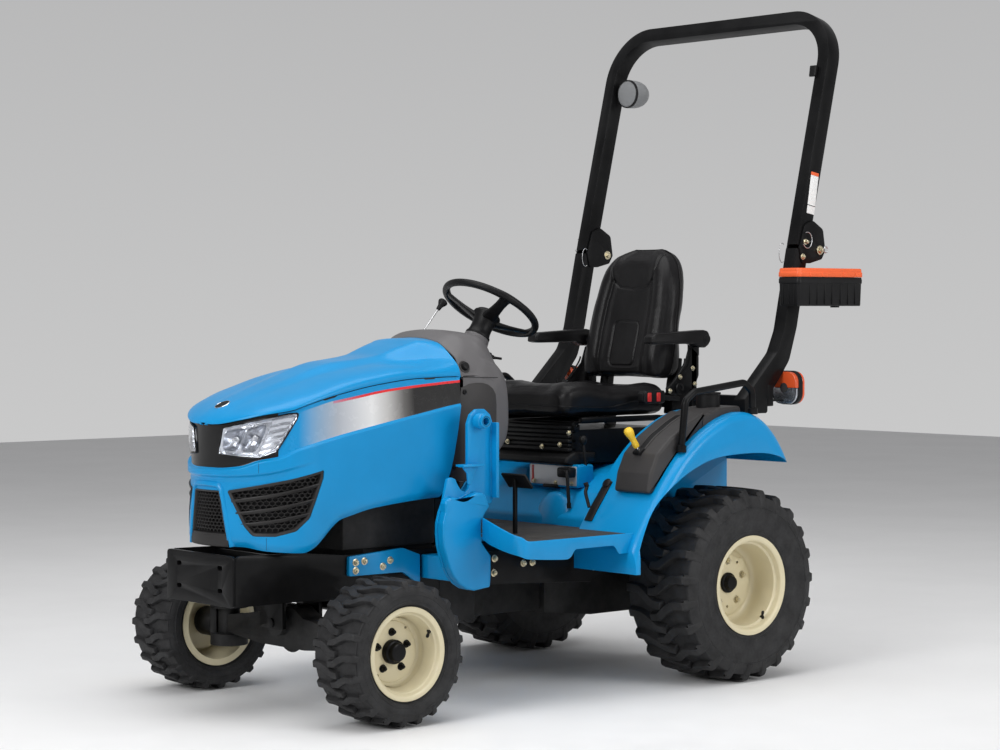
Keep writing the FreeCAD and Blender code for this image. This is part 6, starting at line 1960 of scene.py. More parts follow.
def groove(ob, pts, width, depth, axis, front=None):
    """sewn channel: pushes the surface in along a drawn line; pts in the two other axes"""
    o = [1, 2] if axis == 0 else ([0, 2] if axis == 1 else [0, 1])
    pl = [(P(*[q if k in o else 0 for k, q in enumerate(p3)])) for p3 in pts]
    seg = [((a[o[0]], a[o[1]]), (b[o[0]], b[o[1]])) for a, b in zip(pl, pl[1:])]
    ob.data.update()
    nrm = [v.normal.copy() for v in ob.data.vertices]
    w = width * 0.001
    for v, n in zip(ob.data.vertices, nrm):
        if front is not None and n[axis] * front < 0.15:
            continue
        px, py = v.co[o[0]], v.co[o[1]]
        best = 1e9
        for (ax, ay), (bx, by) in seg:
            dx, dy = bx - ax, by - ay
            L2 = dx * dx + dy * dy
            t = 0 if L2 == 0 else max(0.0, min(1.0, ((px - ax) * dx + (py - ay) * dy) / L2))
            d = math.hypot(px - ax - dx * t, py - ay - dy * t)
            if d < best:
                best = d
        if best < 3 * w:
            v.co -= n * (depth * 0.001 * math.exp(-(best / w) ** 2))


def bvh_of(ob):
    from mathutils.bvhtree import BVHTree
    return BVHTree.FromPolygons([v.co.copy() for v in ob.data.vertices], [tuple(p.vertices) for p in ob.data.polygons])


def piping(mb, bv, pts, cen, r=2.0, sink=0.6):
    """welt laid on the surface; each point is cast from outside toward its centre"""
    out = []
    for p, c in zip(pts, cen):
        a, b = Vector(P(*p)), Vector(P(*c))
        d = (b - a).normalized()
        hit = bv.ray_cast(a, d)
        if hit[0] is not None and hit[3] < 0.115:
            q = hit[0] - d * ((r - sink) * 0.001)
            out.append((q.x * 1000, q.y * 1000 - YS * 1000, q.z * 1000))
    if len(out) > 3:
        pipe(mb, out, r, 8)
    return mb


# cushion
CW = [(262, 165), (275, 200), (300, 217), (360, 221), (560, 221), (700, 216), (760, 206), (778, 186)]
CT = [(262, 950), (268, 972), (280, 988), (310, 1003), (360, 1006), (430, 996), (520, 983), (600, 984), (700, 993), (760, 997), (778, 985)]
CB = [(262, 928), (275, 914), (310, 906), (500, 903), (760, 903), (778, 910)]
cm = MB()
rows = []
for i in range(41):
    t = i / 40
    y = 270 + (780 - 270) * (t if 0.06 < t < 0.94 else (0.06 * sm(t / 0.06) if t <= 0.06 else 0.94 + 0.06 * sm((t - 0.94) / 0.06)))
    w, zt, zb = slut(CW, y), slut(CT, y), slut(CB, y)
    mid = (zt + zb) / 2
    sect = []
    up = [(0.0, -0.16), (0.25, -0.15), (0.45, -0.11), (0.60, -0.03), (0.72, 0.03), (0.82, 0.04), (0.90, -0.02), (0.96, -0.14), (0.99, -0.30), (1.0, -0.52)]
    H = zt - zb
    for u, dz in up:
        sect.append((u * w, zt + dz * H * 0.75))
    lowp = [(0.99, zb + 0.22 * H), (0.95, zb + 0.08 * H), (0.85, zb + 0.02 * H), (0.5, zb), (0.0, zb)]
    sect += [(u * w, z) for u, z in lowp]
    loop = sect + [(-x, z) for x, z in sect[-2:0:-1]]
    rows.append([(x, y, z) for x, z in loop])
grid(cm, rows, 0, wrap=True, caps=True)
cu = pad("seat_cushion_pad", cm, "vinyl", "seat", "seat_cushion", cap=12, voxel=6.0, box=(-228, 228, 263, 789, 893, 1013))
# sewn lines: one round the front bulge, two along the bolsters
groove(cu, [(-120, 470, 0), (-60, 452, 0), (0, 447, 0), (60, 452, 0), (120, 470, 0)], 4.0, 4.0, 2, 1)
for s in (1, -1):
    groove(cu, [(s * 120, 470, 0), (s * 134, 560, 0), (s * 138, 700, 0), (s * 130, 775, 0)], 4.0, 4.0, 2, 1)
bv = bvh_of(cu)
pm = MB()
per = []
for k in range(97):
    a = 2 * math.pi * k / 96
    ca, sa = math.cos(a), math.sin(a)
    q = (abs(ca) ** 4 + abs(sa) ** 4) ** -0.25
    x, y = 205 * ca * q, 525 + 245 * sa * q
    z = lut([(262, 936), (408, 926), (501, 925), (596, 942), (700, 950), (790, 952)], y)
    per.append((x, y, z, ca, sa))
piping(pm, bv, [(x + 70 * ca, y + 70 * sa, z) for x, y, z, ca, sa in per], [(x, y, z) for x, y, z, ca, sa in per], 2.0)
mk("seat_cushion_welt", pm, "vinyl", "seat", (), ang=60)

# back rest with side bolsters, head rest crease and lumbar pad
BF = [(1018, 748), (1030, 726), (1060, 724), (1160, 745), (1300, 780), (1400, 808), (1440, 826), (1470, 846), (1490, 874)]
BR = [(1018, 800), (1030, 835), (1060, 855), (1200, 872), (1300, 892), (1400, 912), (1440, 916), (1470, 912), (1490, 900)]
BW = [(1018, 180), (1030, 196), (1060, 203), (1150, 206), (1260, 202), (1330, 192), (1400, 171), (1440, 148), (1470, 118), (1490, 76)]
bm_ = MB()
rows = []
for i in range(49):
    t = i / 48
    z = 1020 + 468 * (t if 0.05 < t < 0.95 else (0.05 * sm(t / 0.05) if t <= 0.05 else 0.95 + 0.05 * sm((t - 0.95) / 0.05)))
    yf, yr, w = slut(BF, z), slut(BR, z), slut(BW, z)
    k = sm((1470 - z) / 160.0) * sm((z - 1015) / 60.0)
    dpt = yr - yf
    sect = [(0.0, 34), (0.25, 33), (0.42, 30), (0.54, 22), (0.64, 9), (0.74, 0), (0.84, 2), (0.92, 15), (0.975, 36)]
    sc_ = [(u * w, yf + d * (0.35 + 0.65 * k)) for u, d in sect]
    sc_ += [(w, yf + dpt * 0.5), (w * 0.99, yf + dpt * 0.75), (w * 0.95, yr - dpt * 0.1), (w * 0.86, yr), (w * 0.5, yr + 2), (0.0, yr + 2)]
    loop = sc_ + [(-x, y) for x, y in sc_[-2:0:-1]]
    rows.append([(x, y, z) for x, y in loop])
grid(bm_, rows, 0, wrap=True, caps=True)
bk = pad("seat_back_pad", bm_, "vinyl", "seat", "seat_back", cap=12, voxel=6.0, box=(-212, 212, 715, 934, 1004, 1500))
groove(bk, [(-104, 0, 1480), (-112, 0, 1420), (-98, 0, 1368), (-70, 0, 1345), (0, 0, 1338), (70, 0, 1345), (98, 0, 1368), (112, 0, 1420), (104, 0, 1480)], 5.0, 5.0, 1, -1)
for s in (1, -1):
    groove(bk, [(s * 98, 0, 1368), (s * 110, 0, 1290), (s * 114, 0, 1180), (s * 110, 0, 1030)], 6.0, 5.5, 1, -1)
lum = round_poly([(-62, 1062), (62, 1062), (62, 1222), (-62, 1222)], 22, 5)
groove(bk, [(x, 0, z) for x, z in lum + lum[:1]], 4.5, 4.5, 1, -1)
bv = bvh_of(bk)
pm = MB()
a_, c_ = [], []
for k in range(90):
    t = k / 89
    if t < 0.38:
        z = 1030 + (1400 - 1030) * t / 0.38
        x = -slut(BW, z)
    elif t > 0.62:
        z = 1030 + (1400 - 1030) * (1 - t) / 0.38
        x = slut(BW, z)
    else:
        q = (t - 0.38) / 0.24
        ang = math.pi * (1 - q)
        x = 158 * math.cos(ang)
        z = 1400 + 92 * math.sin(ang) ** 0.8
    yy = slut(BF, z) + (slut(BR, z) - slut(BF, z)) * 0.62
    zc = min(z, 1380)
    L = math.hypot(x, z - zc) or 1
    dx, dz = x / L, (z - zc) / L
    a_.append((x + dx * 90, yy, z + dz * 90))
    c_.append((x * 0.5, yy, zc))
piping(pm, bv, a_, c_, 2.2)
mk("seat_back_welt", pm, "vinyl", "seat", (), ang=60)
# two legs of the back rest down to the pan
sh_ = MB()
for s in (1, -1):
    prism(sh_, round_poly([(812, 892), (842, 892), (858, 1010), (866, 1090), (846, 1090), (826, 1000)], 6, 3), "x", min(s * 150, s * 192), max(s * 150, s * 192), 2)
mk("seat_back_legs", sh_, "black_paint", "seat", (), ang=35)

# recliner plates with their bolts and hinge ring
rc = MB()
prism(rc, round_poly([(836, 1128), (860, 1112), (871, 1096), (871, 1030), (850, 988), (800, 966), (748, 960), (712, 978), (748, 1018), (800, 1068), (822, 1128)], 8, 4), "x", 262, 268, 1.2)
prism(rc, round_poly([(740, 905), (850, 905), (852, 985), (800, 968), (752, 962)], 6, 3), "x", 256, 262.2, 1.0)
pipe(rc, spline([(270, 705, 985), (271, 742, 1012), (270, 790, 1066), (268, 800, 1090)], 8), 3.2, 10)
pipe(rc, spline([(268, 830, 1100), (269, 812, 1062), (269, 780, 1036)], 8), 2.4, 10)
lathe(rc, [(0, 0), (19, 0), (20, 1), (20, 5), (17, 6.5), (11, 6.5), (10, 5), (10, 3.5), (0, 3.5)], (267.5, 771, 985), (1, 0, 0), 36)
rb_ = MB()
for y, z in ((839, 1056), (776, 1026), (850, 1000), (726, 978)):
    hexbolt(rb_, (268, y, z), (1, 0, 0), 6.5, 5)
mk("recliner_v", rc.both(), "black_paint", "seat", (), ang=35)
mk("recliner_bolts", rb_.both(), "zinc", "seat", (), ang=30)

# belt buckle with its stalk, retractor on the other side
bb = MB()
prism(bb, round_poly([(592, 937), (686, 937), (690, 944), (690, 974), (684, 981), (596, 981), (590, 972), (589, 944)], 5, 3), "x", 247, 281, 4.0, 0, 3)
prism(bb, round_poly([(686, 948), (772, 941), (772, 957), (686, 966)], 3, 2), "x", 258, 272, 1.5)
prism(bb, round_poly([(584, 944), (592, 944), (592, 975), (584, 972)], 2, 2), "x", 252, 276, 1.0)
mk("buckle_v", bb, "black_plastic", "seat", (), ang=35)
bb = MB()
for y in (612, 656):
    prism(bb, round_poly([(y - 9, 943), (y + 9, 943), (y + 9, 974), (y - 9, 974)], 2, 2), "x", 279, 283.2, 1.2)
mk("buckle_buttons", bb, "red_plastic", "seat", (), ang=35)
rt = MB()
prism(rt, round_poly([(700, 915), (770, 915), (776, 925), (776, 968), (766, 978), (716, 978), (700, 960)], 8, 4), "x", -296, -258, 3.0)
mk("belt_reel", rt, "black_plastic", "seat", (), ang=35)

# armrests
for nm, s in (("left", 1), ("right", -1)):
    am = MB()
    ol = round_poly([(583.5, 1146), (586, 1168), (602, 1179), (842, 1191.5), (864, 1187), (873.5, 1164), (868, 1140), (848, 1128.5), (826, 1130), (788, 1143), (606, 1142)], [6, 10, 12, 20, 18, 18, 16, 14, 12, 30, 10], 5)
    prism(am, ol, "x", min(s * 276, s * 324), max(s * 276, s * 324), 7.0, 0, 4)
    ao = mk("armrest_pad_" + nm, am, "vinyl", "armrest_" + nm, "armrest_" + nm, ang=50)
    dm = MB()
    x0 = 324.0
    lathe(dm, [(0, -1.0), (16.5, -1.0), (17, 0.6), (16, 1.4), (13.5, 1.4), (12.5, 0.4), (8.5, 0.2), (8, 1.2), (0, 1.6)], (s * x0, 854, 1159), (s, 0, 0), 36)
    lathe(dm, [(0, 0), (18, 0), (18, 8), (0, 8)], (s * 268.5, 854, 1148), (s, 0, 0), 32)
    mk("armrest_disc_" + nm, dm, "black_plastic", "armrest_" + nm, (), ang=35)


# ------------------------------------------------------------------ consoles on the fenders
def ring_rows(x0, x1, y0, y1, r, prof):
    rows_ = []
    for d, z in prof:
        pl = round_poly([(x0 + d, y0 + d), (x1 - d, y0 + d), (x1 - d, y1 - d), (x0 + d, y1 - d)], max(1.0, r - d * 0.7), 5)
        rows_.append([(x, y, z) for x, y in pl])
    return rows_


con_p = [(293, 656), (306, 722), (338, 786), (400, 838), (480, 884), (566, 922), (558, 868), (443, 794), (370, 720), (318, 658)]
con_q = [(452, 806), (459, 848), (562, 910), (633, 930), (738, 936), (744, 900), (709, 906), (640, 897), (560, 864)]
cm_ = MB()
prism(cm_, round_poly(con_p, [12, 26, 30, 40, 40, 6, 1, 1, 1, 4], 4), "x", 431, 595, 11.0, 0, 4)
prism(cm_, round_poly(con_q, [2, 14, 40, 30, 12, 2, 1, 1, 1], 4), "x", 432, 594, 9.0, 0, 4)
# raised frame of the lever slot
mk("consoles_v", cm_.both(), "dark_plastic", "chassis", "fender_consoles", ang=50)
top_l = [(352, 799), (400, 838), (440, 861), (480, 884), (530, 906)]
sm_ = MB()
lip_ = MB()
tl_ = spline([(505, y, z) for y, z in top_l], 6)
for mbx, prof in ((sm_, [(-12, -3), (-12, 0.9), (12, 0.9), (12, -3)]), (lip_, [(12, -3), (12, 2.0), (13, 2.6), (16, 2.6), (17.5, 1.6), (18, -3)]), (lip_, [(-18, -3), (-17.5, 1.6), (-16, 2.6), (-13, 2.6), (-12, 2.0), (-12, -3)])):
    sweep(mbx, tl_, prof, (0, -0.5, 0.86))
mk("console_slot", sm_.both(), "black_plastic", "chassis", (), ang=40)
mk("console_slot_rim", lip_.both(), "dark_plastic", "chassis", (), ang=40)
# cup holders
cp = MB()
lathe(cp, [(0, 6), (34, 6), (36.5, 8), (38, 64), (39.5, 66), (43, 66), (44, 64.5), (44, 60), (41.5, 58), (40.5, 0), (0, 0)], (510, 665, 915), (0, 0, 1), 48)
rbox(cp, 462, 470, 645, 685, 950, 981, 4, 0, "x")
mk("cup_holder", cp.both(), "black_plastic", "chassis", (), ang=35)
# yellow lever, black lever with its ball, and the throttle
yl = MB()
prism(yl, round_poly([(326, 778), (352, 792), (352, 806), (326, 792)], 4, 3), "x", 488, 522, 2)
mk("lever_boot", yl.both(), "black_plastic", "chassis", (), ang=40)
yd = Vector((0, -0.587, 0.810))
yl = MB()
rod(yl, Vector((505, 345, 786)), yd, 5, 34, 20)
mk("yellow_lever_rod", yl, "chrome", "chassis", (), ang=40)
yl = MB()
lathe(yl, [(0, 0), (9.5, 0), (10.6, 2), (10.8, 12), (10.2, 26), (11.0, 38), (14.0, 50), (16.0, 60), (15.6, 68), (12.4, 74), (6, 77), (0, 77.5)], Vector((505, 345, 786)) + yd * 26, yd, 36)
mk("yellow_lever_knob", yl, "yellow_plastic", "chassis", (), ang=60)
lv = MB()
rod(lv, Vector((224, 371, 670)), Vector((0, -0.15, 0.99)).normalized(), 5, 132, 18)
lathe(lv, [(0, 0), (6.5, 0), (8, 4), (12, 10), (14, 18), (13, 26), (8, 31.5), (0, 33)], Vector((224, 352, 800)), Vector((0, -0.15, 0.99)).normalized(), 28)
mk("ball_lever", lv, "black_plastic", "chassis", "control_levers", ang=45)
tb_ = Vector((-89, -100, 1190))
td = Vector((0.0, 0.666, 0.746)).normalized()
th = MB()
rod(th, tb_ - td * 34, td, 3.2, 142, 18)
mk("throttle_rod", th, "steel", "chassis", (), ang=40)
th = MB()
lathe(th, [(0, 0), (6.4, 0), (7.4, 2), (8.2, 10), (9.6, 18), (13.6, 25), (16.4, 31), (16.6, 35.5), (13.6, 39.5), (7.0, 41.6), (0, 42)], tb_ + td * 98, td, 32)
mk("throttle_knob", th, "black_plastic", "chassis", (), ang=45)

# ------------------------------------------------------------------ front of the seat base
dm = MB()
# domed cover over the gearbox top
rows = []
for i in range(15):
    a = math.pi / 2 * i / 14
    row = []
    for k in range(33):
        b = math.pi * k / 32
        row.append((150 + 98 * math.cos(b) * math.cos(a), 296 - 38 * math.sin(a) ** 1.0 * (0.98), 532 + 108 * math.sin(b) * math.cos(a) ** 1.0))
    rows.append(row)
grid(dm, rows)
mk("tunnel_dome", dm, "blue", "chassis", (), ang=60)
pl_ = MB()
rbox(pl_, -20, 230, 322, 392, 654, 733, 8, 0, "y", 2.0)
mk("plate_housing", pl_, "blue", "chassis", (), ang=40)
pl_ = MB()
rbox(pl_, -12, 222, 319, 322.5, 660, 727, 3, 0, "y", 0.6)
mk("blank_plate", pl_, "silver_label", "chassis", (), ang=40)
pl_ = MB()
rbox(pl_, -4, 8, 318.4, 319.4, 663, 724, 1, 0, "y", 0.2)
mk("plate_strip", pl_, "red_stripe", "chassis", (), ang=40)
hn = MB()
rbox(hn, 160, 222, 286, 320, 690, 724, 8, 0, "y", 3.0)
rbox(hn, 172, 206, 280, 290, 698, 716, 5, 0, "y", 2.0)
pipe(hn, spline([(214, 282, 716), (222, 278, 690), (228, 276, 650), (233, 275, 604)], 8), 6.0, 14)
pipe(hn, [(233, 275, 606), (234, 275, 588)], 8.0, 14)
rod(hn, Vector((60, 320, 655)), Vector((1, 0, 0)), 7, 70, 18)
mk("latch_handle", hn, "black_plastic", "chassis", (), ang=40)
hb_ = MB()
for x in (10, 120, 200):
    hexbolt(hb_, (x, 319, 668), (0, -1, 0), 6, 5)
mk("plate_bolts", hb_, "zinc", "chassis", (), ang=30)
# black mask under the seat front: rounded lip between base and pedestal
ms = MB()
prism(ms, round_poly([(286, 736), (330, 728), (430, 742), (430, 772), (330, 776), (290, 756)], [8, 10, 4, 4, 14, 10], 4), "x", -205, 205, 8, 0, 3)
rbox(ms, -178, 178, 322, 345, 770, 866, 10, 0, "x", 5)
# scissor suspension boots
for i in range(6):
    z0 = 776 + i * 15
    prism(ms, round_poly([(318 - (3 if i % 2 else 7), z0), (350, z0), (350, z0 + 14), (318 - (3 if i % 2 else 7), z0 + 14)], 5, 3), "x", -186 - (0 if i % 2 else 4), 186 + (0 if i % 2 else 4), 5)
mk("seat_mask", ms, "black_plastic", "chassis", (), ang=40)
sbm = MB()
for x, z in ((150, 800), (196, 842), (60, 790), (-120, 800)):
    hexbolt(sbm, (x, 311, z), (0, -1, 0), 7, 6)
mk("mask_bolts", sbm, "zinc", "chassis", (), ang=30)
# slotted quadrant and short lever on the inner fender face
TOPF = [(222, 520), (240, 556), (271, 600), (303, 640), (336, 683)]
sl = MB()
sweep(sl, spline([(366, y - 1.2, z + 1.0) for y, z in TOPF[1:]], 6), [(-18, -2), (-18, 1.6), (-15, 3.4), (15, 3.4), (18, 1.6), (18, -2)], (0, -0.8, 0.6))
pipe(sl, spline([(336, 262, 668), (342, 250, 650), (356, 246, 622), (366, 244, 602)], 8), 6.0, 12)
rod(sl, Vector((336, 263, 667)), Vector((-0.2, -0.3, 0.93)).normalized(), 8, 16, 18)
lathe(sl, [(0, 0), (15, 0), (17, 2), (17, 4), (14, 6), (0, 7)], (366, 327, 678), (0, -0.8, 0.6), 28)
mk("side_lever", sl, "black_plastic", "chassis", (), ang=40)
mk("side_lever_r", sl.mir(), "black_plastic", "chassis", (), ang=40)

# ------------------------------------------------------------------ roll-over frame hardware
for s, nm in ((1, "left"), (-1, "right")):
    hw = MB()
    # hinge bolt, lock pin and latch pin
    for x, sg in ((571.2 * s, s), (508.0 * s, -s)):
        hexbolt(hw, (x, 1168, 1472), (sg, 0, 0), 12, 8)
    hexbolt(hw, (571.2 * s, 1078, 1448), (s, 0, 0), 8, 6)
    lathe(hw, [(0, 0), (10, 0), (10, 3), (6.5, 4), (6.5, 13), (5, 15), (0, 15)], (571.2 * s, 1090, 1500), (s, 0, 0), 24)
    mk("hinge_bolts_" + nm, hw, "zinc", "chassis", (), ang=30)
    wr = MB()
    ring = [(582 * s, 1090 + 24 * math.cos(a), 1506 + 28 * math.sin(a)) for a in [math.radians(t) for t in range(-150, 121, 12)]]
    pipe(wr, ring, 1.6, 8)
    loop = [(577 * s, 1192 + 10 * math.cos(a), 1474 + 11 * math.sin(a)) for a in [math.radians(t) for t in range(0, 361, 20)]]
    pipe(wr, loop, 2.2, 8)
    loop = [(503 * s, 1046 + 16 * math.cos(a), 1462 + 34 * math.sin(a)) for a in [math.radians(t) for t in range(60, 301, 12)]]
    pipe(wr, loop, 1.2, 8)
    mk("hinge_wires_" + nm, wr, "steel", "chassis", (), ang=60)
# blank label on the left leg, clips for the lamp cable
rk = Vector((0, 1151 - 1122, 1595 - 1751)).normalized()
lb = MB()
qd = [(1122, 1751), (1168, 1744), (1151, 1595), (1095, 1600)]
cy_, cz0 = sum(q[0] for q in qd) / 4, sum(q[1] for q in qd) / 4
up_ = Vector((0, 0.165, 0.986))
sd_ = Vector((0, 0.986, -0.165))
L0 = Vector((564.5, 1137 - 0, 1672))


def tag(mb, u0, u1, v0, v1, t):
    pts_ = [L0 + sd_ * u0 + up_ * v0, L0 + sd_ * u1 + up_ * v0, L0 + sd_ * u1 + up_ * v1, L0 + sd_ * u0 + up_ * v1]
    prism(mb, [(p.y, p.z) for p in pts_], "x", 564.0, 564.4 + t, 0.1)


tag(lb, -20, 20, -74, 62, 0.35)
mk("leg_label", lb, "white_label", "rops_upper", (), ang=30)
lb = MB()
tag(lb, -20, 20, 62.5, 74, 0.35)
mk("leg_label_top", lb, "orange_plastic", "rops_upper", (), ang=30)
lb = MB()
tag(lb, -20, 20, -46, -43.5, 0.6)
mk("leg_label_line", lb, "black_plastic", "rops_upper", (), ang=30)
cl_ = MB()
prism(cl_, round_poly([(1186, 2088), (1200, 2088), (1206, 2126), (1192, 2128)], 3, 3), "x", 500, 528, 2.0)
mk("cable_clip", cl_, "black_plastic", "rops_upper", (), ang=35)

# ------------------------------------------------------------------ tool box
X0, X1, Y0, Y1 = 565.4, 668.0, 950.0, 1292.0
bx = MB()
grid(bx, ring_rows(X0, X1 - 0.5, Y0, Y1, 14, [(9, 1275.2), (6.5, 1276), (5.5, 1279), (3.2, 1350), (3.0, 1353), (0.8, 1355), (0.6, 1368), (2.0, 1370), (2.2, 1375.6), (5.0, 1375.6), (6.0, 1372), (8.5, 1283), (11, 1280.5)]), 0, wrap=True, caps=True)
for y in [1012, 1050, 1088, 1128, 1172, 1212, 1250]:
    rbox(bx, 662, 665.6, y - 1.6, y + 1.6, 1281, 1352, 1.2, 0, "z", 0.6)
for x in (590, 616, 642):
    rbox(bx, x - 1.6, x + 1.6, Y0 + 2.2, Y0 + 6, 1281, 1352, 1.2, 0, "z", 0.6)
    rbox(bx, x - 1.6, x + 1.6, Y1 - 6, Y1 - 2.2, 1281, 1352, 1.2, 0, "z", 0.6)
rbox(bx, 600, 630, 1190, 1206, 1270, 1277, 2, 0, "z", 1.0)
mk("toolbox_v", bx, "black_plastic", "chassis", "toolbox", ang=40)
lb = MB()
grid(lb, ring_rows(X0 + 0.1, 668.4, Y0, Y1, 15, [(12, 1400.5), (5.5, 1399.5), (4.0, 1396), (3.6, 1377.2), (3.2, 1376.6), (0.6, 1376.6), (0, 1377.4), (0, 1391), (0.8, 1393), (2.4, 1394), (2.6, 1402), (4.4, 1405.6), (7.5, 1406.8), (13, 1406.8), (15, 1405.6), (17, 1403.6), (24, 1403.2)]), 0, wrap=True, caps=True)
for y in (1020, 1084, 1196, 1262):
    rbox(lb, 666.4, 670.0, y - 14, y + 14, 1377.0, 1392, 2, 0, "x", 0.8)
rbox(lb, 596, 640, 1040, 1200, 1402.6, 1405.6, 6, 0, "z", 1.2)
mk("toolbox_lid_v", lb, "orange_plastic", "toolbox_lid", "toolbox_lid", ang=40)

# ------------------------------------------------------------------ tail lamps and work lamp
for s, nm in ((1, "left"), (-1, "right")):
    xa, xb = (510, 624) if s > 0 else (-624, -510)

    def shell(d, y0, y1, zl=None, zh=None, bev=2.0):
        m_ = MB()
        z0, z1 = 932 + d, 1050 - d
        pl = round_poly([(xa + d, z0), (xb - d, z0), (xb - d, z1), (xa + d, z1)], 40 - d, 10)
        if zl is not None:
            pl = clip(pl, 1, zl, 1)
        if zh is not None:
            pl = clip(pl, 1, zh, -1)
        prism(m_, pl, "y", y0, y1, bev, 0, 3)
        return m_

    def clip(pl, ax, val, sg):
        out = []
        for i in range(len(pl)):
            a, b = pl[i - 1], pl[i]
            ia, ib = (a[ax] - val) * sg >= 0, (b[ax] - val) * sg >= 0
            if ia != ib:
                t = (val - a[ax]) / (b[ax] - a[ax])
                out.append((a[0] + (b[0] - a[0]) * t, a[1] + (b[1] - a[1]) * t))
            if ib:
                out.append(b)
        return out

    mk("tail_front_amber_" + nm, shell(3, 985.5, 1003, zl=991.5), "amber_lens", "chassis", "tail_lights" if s > 0 else (), ang=40)
    mk("tail_front_clear_" + nm, shell(3, 985.5, 1003, zh=990.5), "clear_lens", "chassis", (), ang=40)
    mk("tail_reflector_" + nm, shell(6, 992, 1004, zh=989, bev=1.0), "reflector", "chassis", (), ang=40)
    m_ = MB()
    lathe(m_, [(0, 0), (17, 0), (18, 1), (18, 6), (0, 6)], ((xa + xb) / 2, 985.2, 991), (0, 1, 0), 32)
    mk("tail_centre_" + nm, m_, "dark_plastic", "chassis", (), ang=40)
    mk("tail_body_" + nm, shell(0, 1002, 1022, bev=2.0), "black_plastic", "chassis", (), ang=40)
    mk("tail_rear_red_" + nm, shell(2, 1021, 1034.8, bev=4.0), "tail_lens", "chassis", (), ang=40)
    m_ = MB()
    rbox(m_, min(s * 520, s * 560), max(s * 520, s * 560), 906, 990, 944, 951, 2, 0, "z")
    rbox(m_, min(s * 512, s * 566), max(s * 512, s * 566), 906, 934, 928, 1004, 4, 0, "y")
    mk("tail_bracket_" + nm, m_, "black_paint", "chassis", (), ang=40)

wl = MB()
lathe(wl, [(0, 0), (44, 0), (50, 2), (53.6, 6), (54, 12), (53, 40), (50, 58), (44, 74), (34, 88), (20, 97), (0, 100)], (-452, 1216, 2092), (0, 1, 0), 56)
mk("work_light_v", wl, "lamp_grey", "rops_upper", "work_light", ang=45)
wl = MB()
lathe(wl, [(50, -0.2), (53.9, 1.5), (54.3, 9), (53.0, 10)], (-452, 1216, 2092), (0, 1, 0), 56)
rbox(wl, -517, -492, 1228, 1250, 2078, 2106, 5, 0, "x")
mk("work_light_mount", wl, "black_plastic", "rops_upper", (), ang=40)

# hand rail end shoes
hs = MB()
for s in (1, -1):
    for (y, z, h) in ((430, 790, 22), (778, 906, 20)):
        lathe(hs, [(12.4, 0), (17, 0), (18, 2), (17, h), (14, h + 2), (12.4, h + 2)], (s * 612, y, z), (0, 0.06 if y < 500 else 0, 1), 28)
mk("rail_shoes", hs, "black_paint", "chassis", (), ang=40)

# steering rod with slim eyes
sr = MB()
rod(sr, Vector((-331, -591, 318)), Vector((1, 0, 0)), 11.6, 662, 24)
for s in (1, -1):
    lathe(sr, [(0, 0), (13.5, 0), (14.5, 1), (14.5, 23), (13.5, 24), (0, 24)], (s * 345, -591, 306), (0, 0, 1), 32)
mk("steering_rod_v", sr, "steel", "steering_rod", "steering_rod", ang=40)
# bolts of the side rails
fb = MB()
for y, z in ((-610, 462), (-575, 464), (-500, 442), (-470, 460), (-610, 436)):
    hexbolt(fb, (192, y, z), (1, 0, 0), 9, 8)
mk("rail_bolts", fb.both(), "zinc", "chassis", (), ang=30)


# ------------------------------------------------------------------ plain metal and plastic parts
SOFT = [
    ("frame_rails", 1.5, "black_paint"), ("front_bumper", 2.0, "black_paint"), ("front_axle", 4.0, "black_cast"),
    ("knuckle_left", 3.0, "black_cast"), ("knuckle_right", 3.0, "black_cast"), ("steering_cylinder", 1.2, "black_paint"), ("steering_rod", 1.0, "steel"),
    ("engine", 3.0, "black_cast"), ("radiator", 2.0, "black_plastic"), ("mid_housing", 4.0, "black_cast"), ("rear_axle", 3.0, "black_cast"),
    ("pto_shield", 1.2, "black_paint"), ("drawbar", 1.5, "black_paint"), ("loader_rails", 1.5, "blue"), ("platform_supports", 1.5, "black_paint"),
    ("firewall", 1.5, "black_paint"), ("dash_cowl", 2.0, "grey_plastic"), ("dash_panels", 1.5, "dark_plastic"), ("steering_column", 1.2, "black_plastic"),
    ("steering_wheel", 1.0, "black_plastic"), ("loader_brackets", 1.6, "blue"), ("platform", 1.5, "blue"), ("floor_mats", 0.8, "rubber_mat"),
    ("fenders", 1.5, "blue"), ("fender_consoles", 2.5, "dark_plastic"), ("hand_rails", 1.0, "black_paint"), ("seat_base", 4.0, "blue"),
    ("seat_pedestal", 2.0, "black_paint"), ("seat_pan", 2.0, "black_paint"), ("armrest_left", 4.0, "vinyl"), ("armrest_right", 4.0, "vinyl"),
    ("rops_lower", 3.0, "black_paint"), ("rops_upper", 3.0, "black_paint"), ("rops_hinge_pins", 1.0, "zinc"), ("work_light", 1.5, "lamp_grey"),
    ("tail_lights", 2.0, "tail_lens"), ("toolbox", 2.0, "black_plastic"), ("toolbox_lid", 3.0, "orange_plastic"), ("pedals", 1.5, "black_paint"),
    ("control_levers", 1.0, "black_plastic"), ("lift_arms", 2.0, "black_paint"), ("lower_links", 2.0, "black_paint"), ("lift_rods", 1.5, "black_paint"),
    ("hood", 1.0, "blue"), ("headlights", 1.0, "lens"), ("seat_cushion", 3.0, "vinyl"), ("seat_back", 3.0, "vinyl"),
]
DONE = set()
for _o in bpy.data.objects:
    if "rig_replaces" in _o:
        DONE.update(_o["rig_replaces"])
for nm, w_, mt in SOFT:
    if nm in NODES and nm not in DONE:
        soft(nm, w_, mt)
        DONE.add(nm)
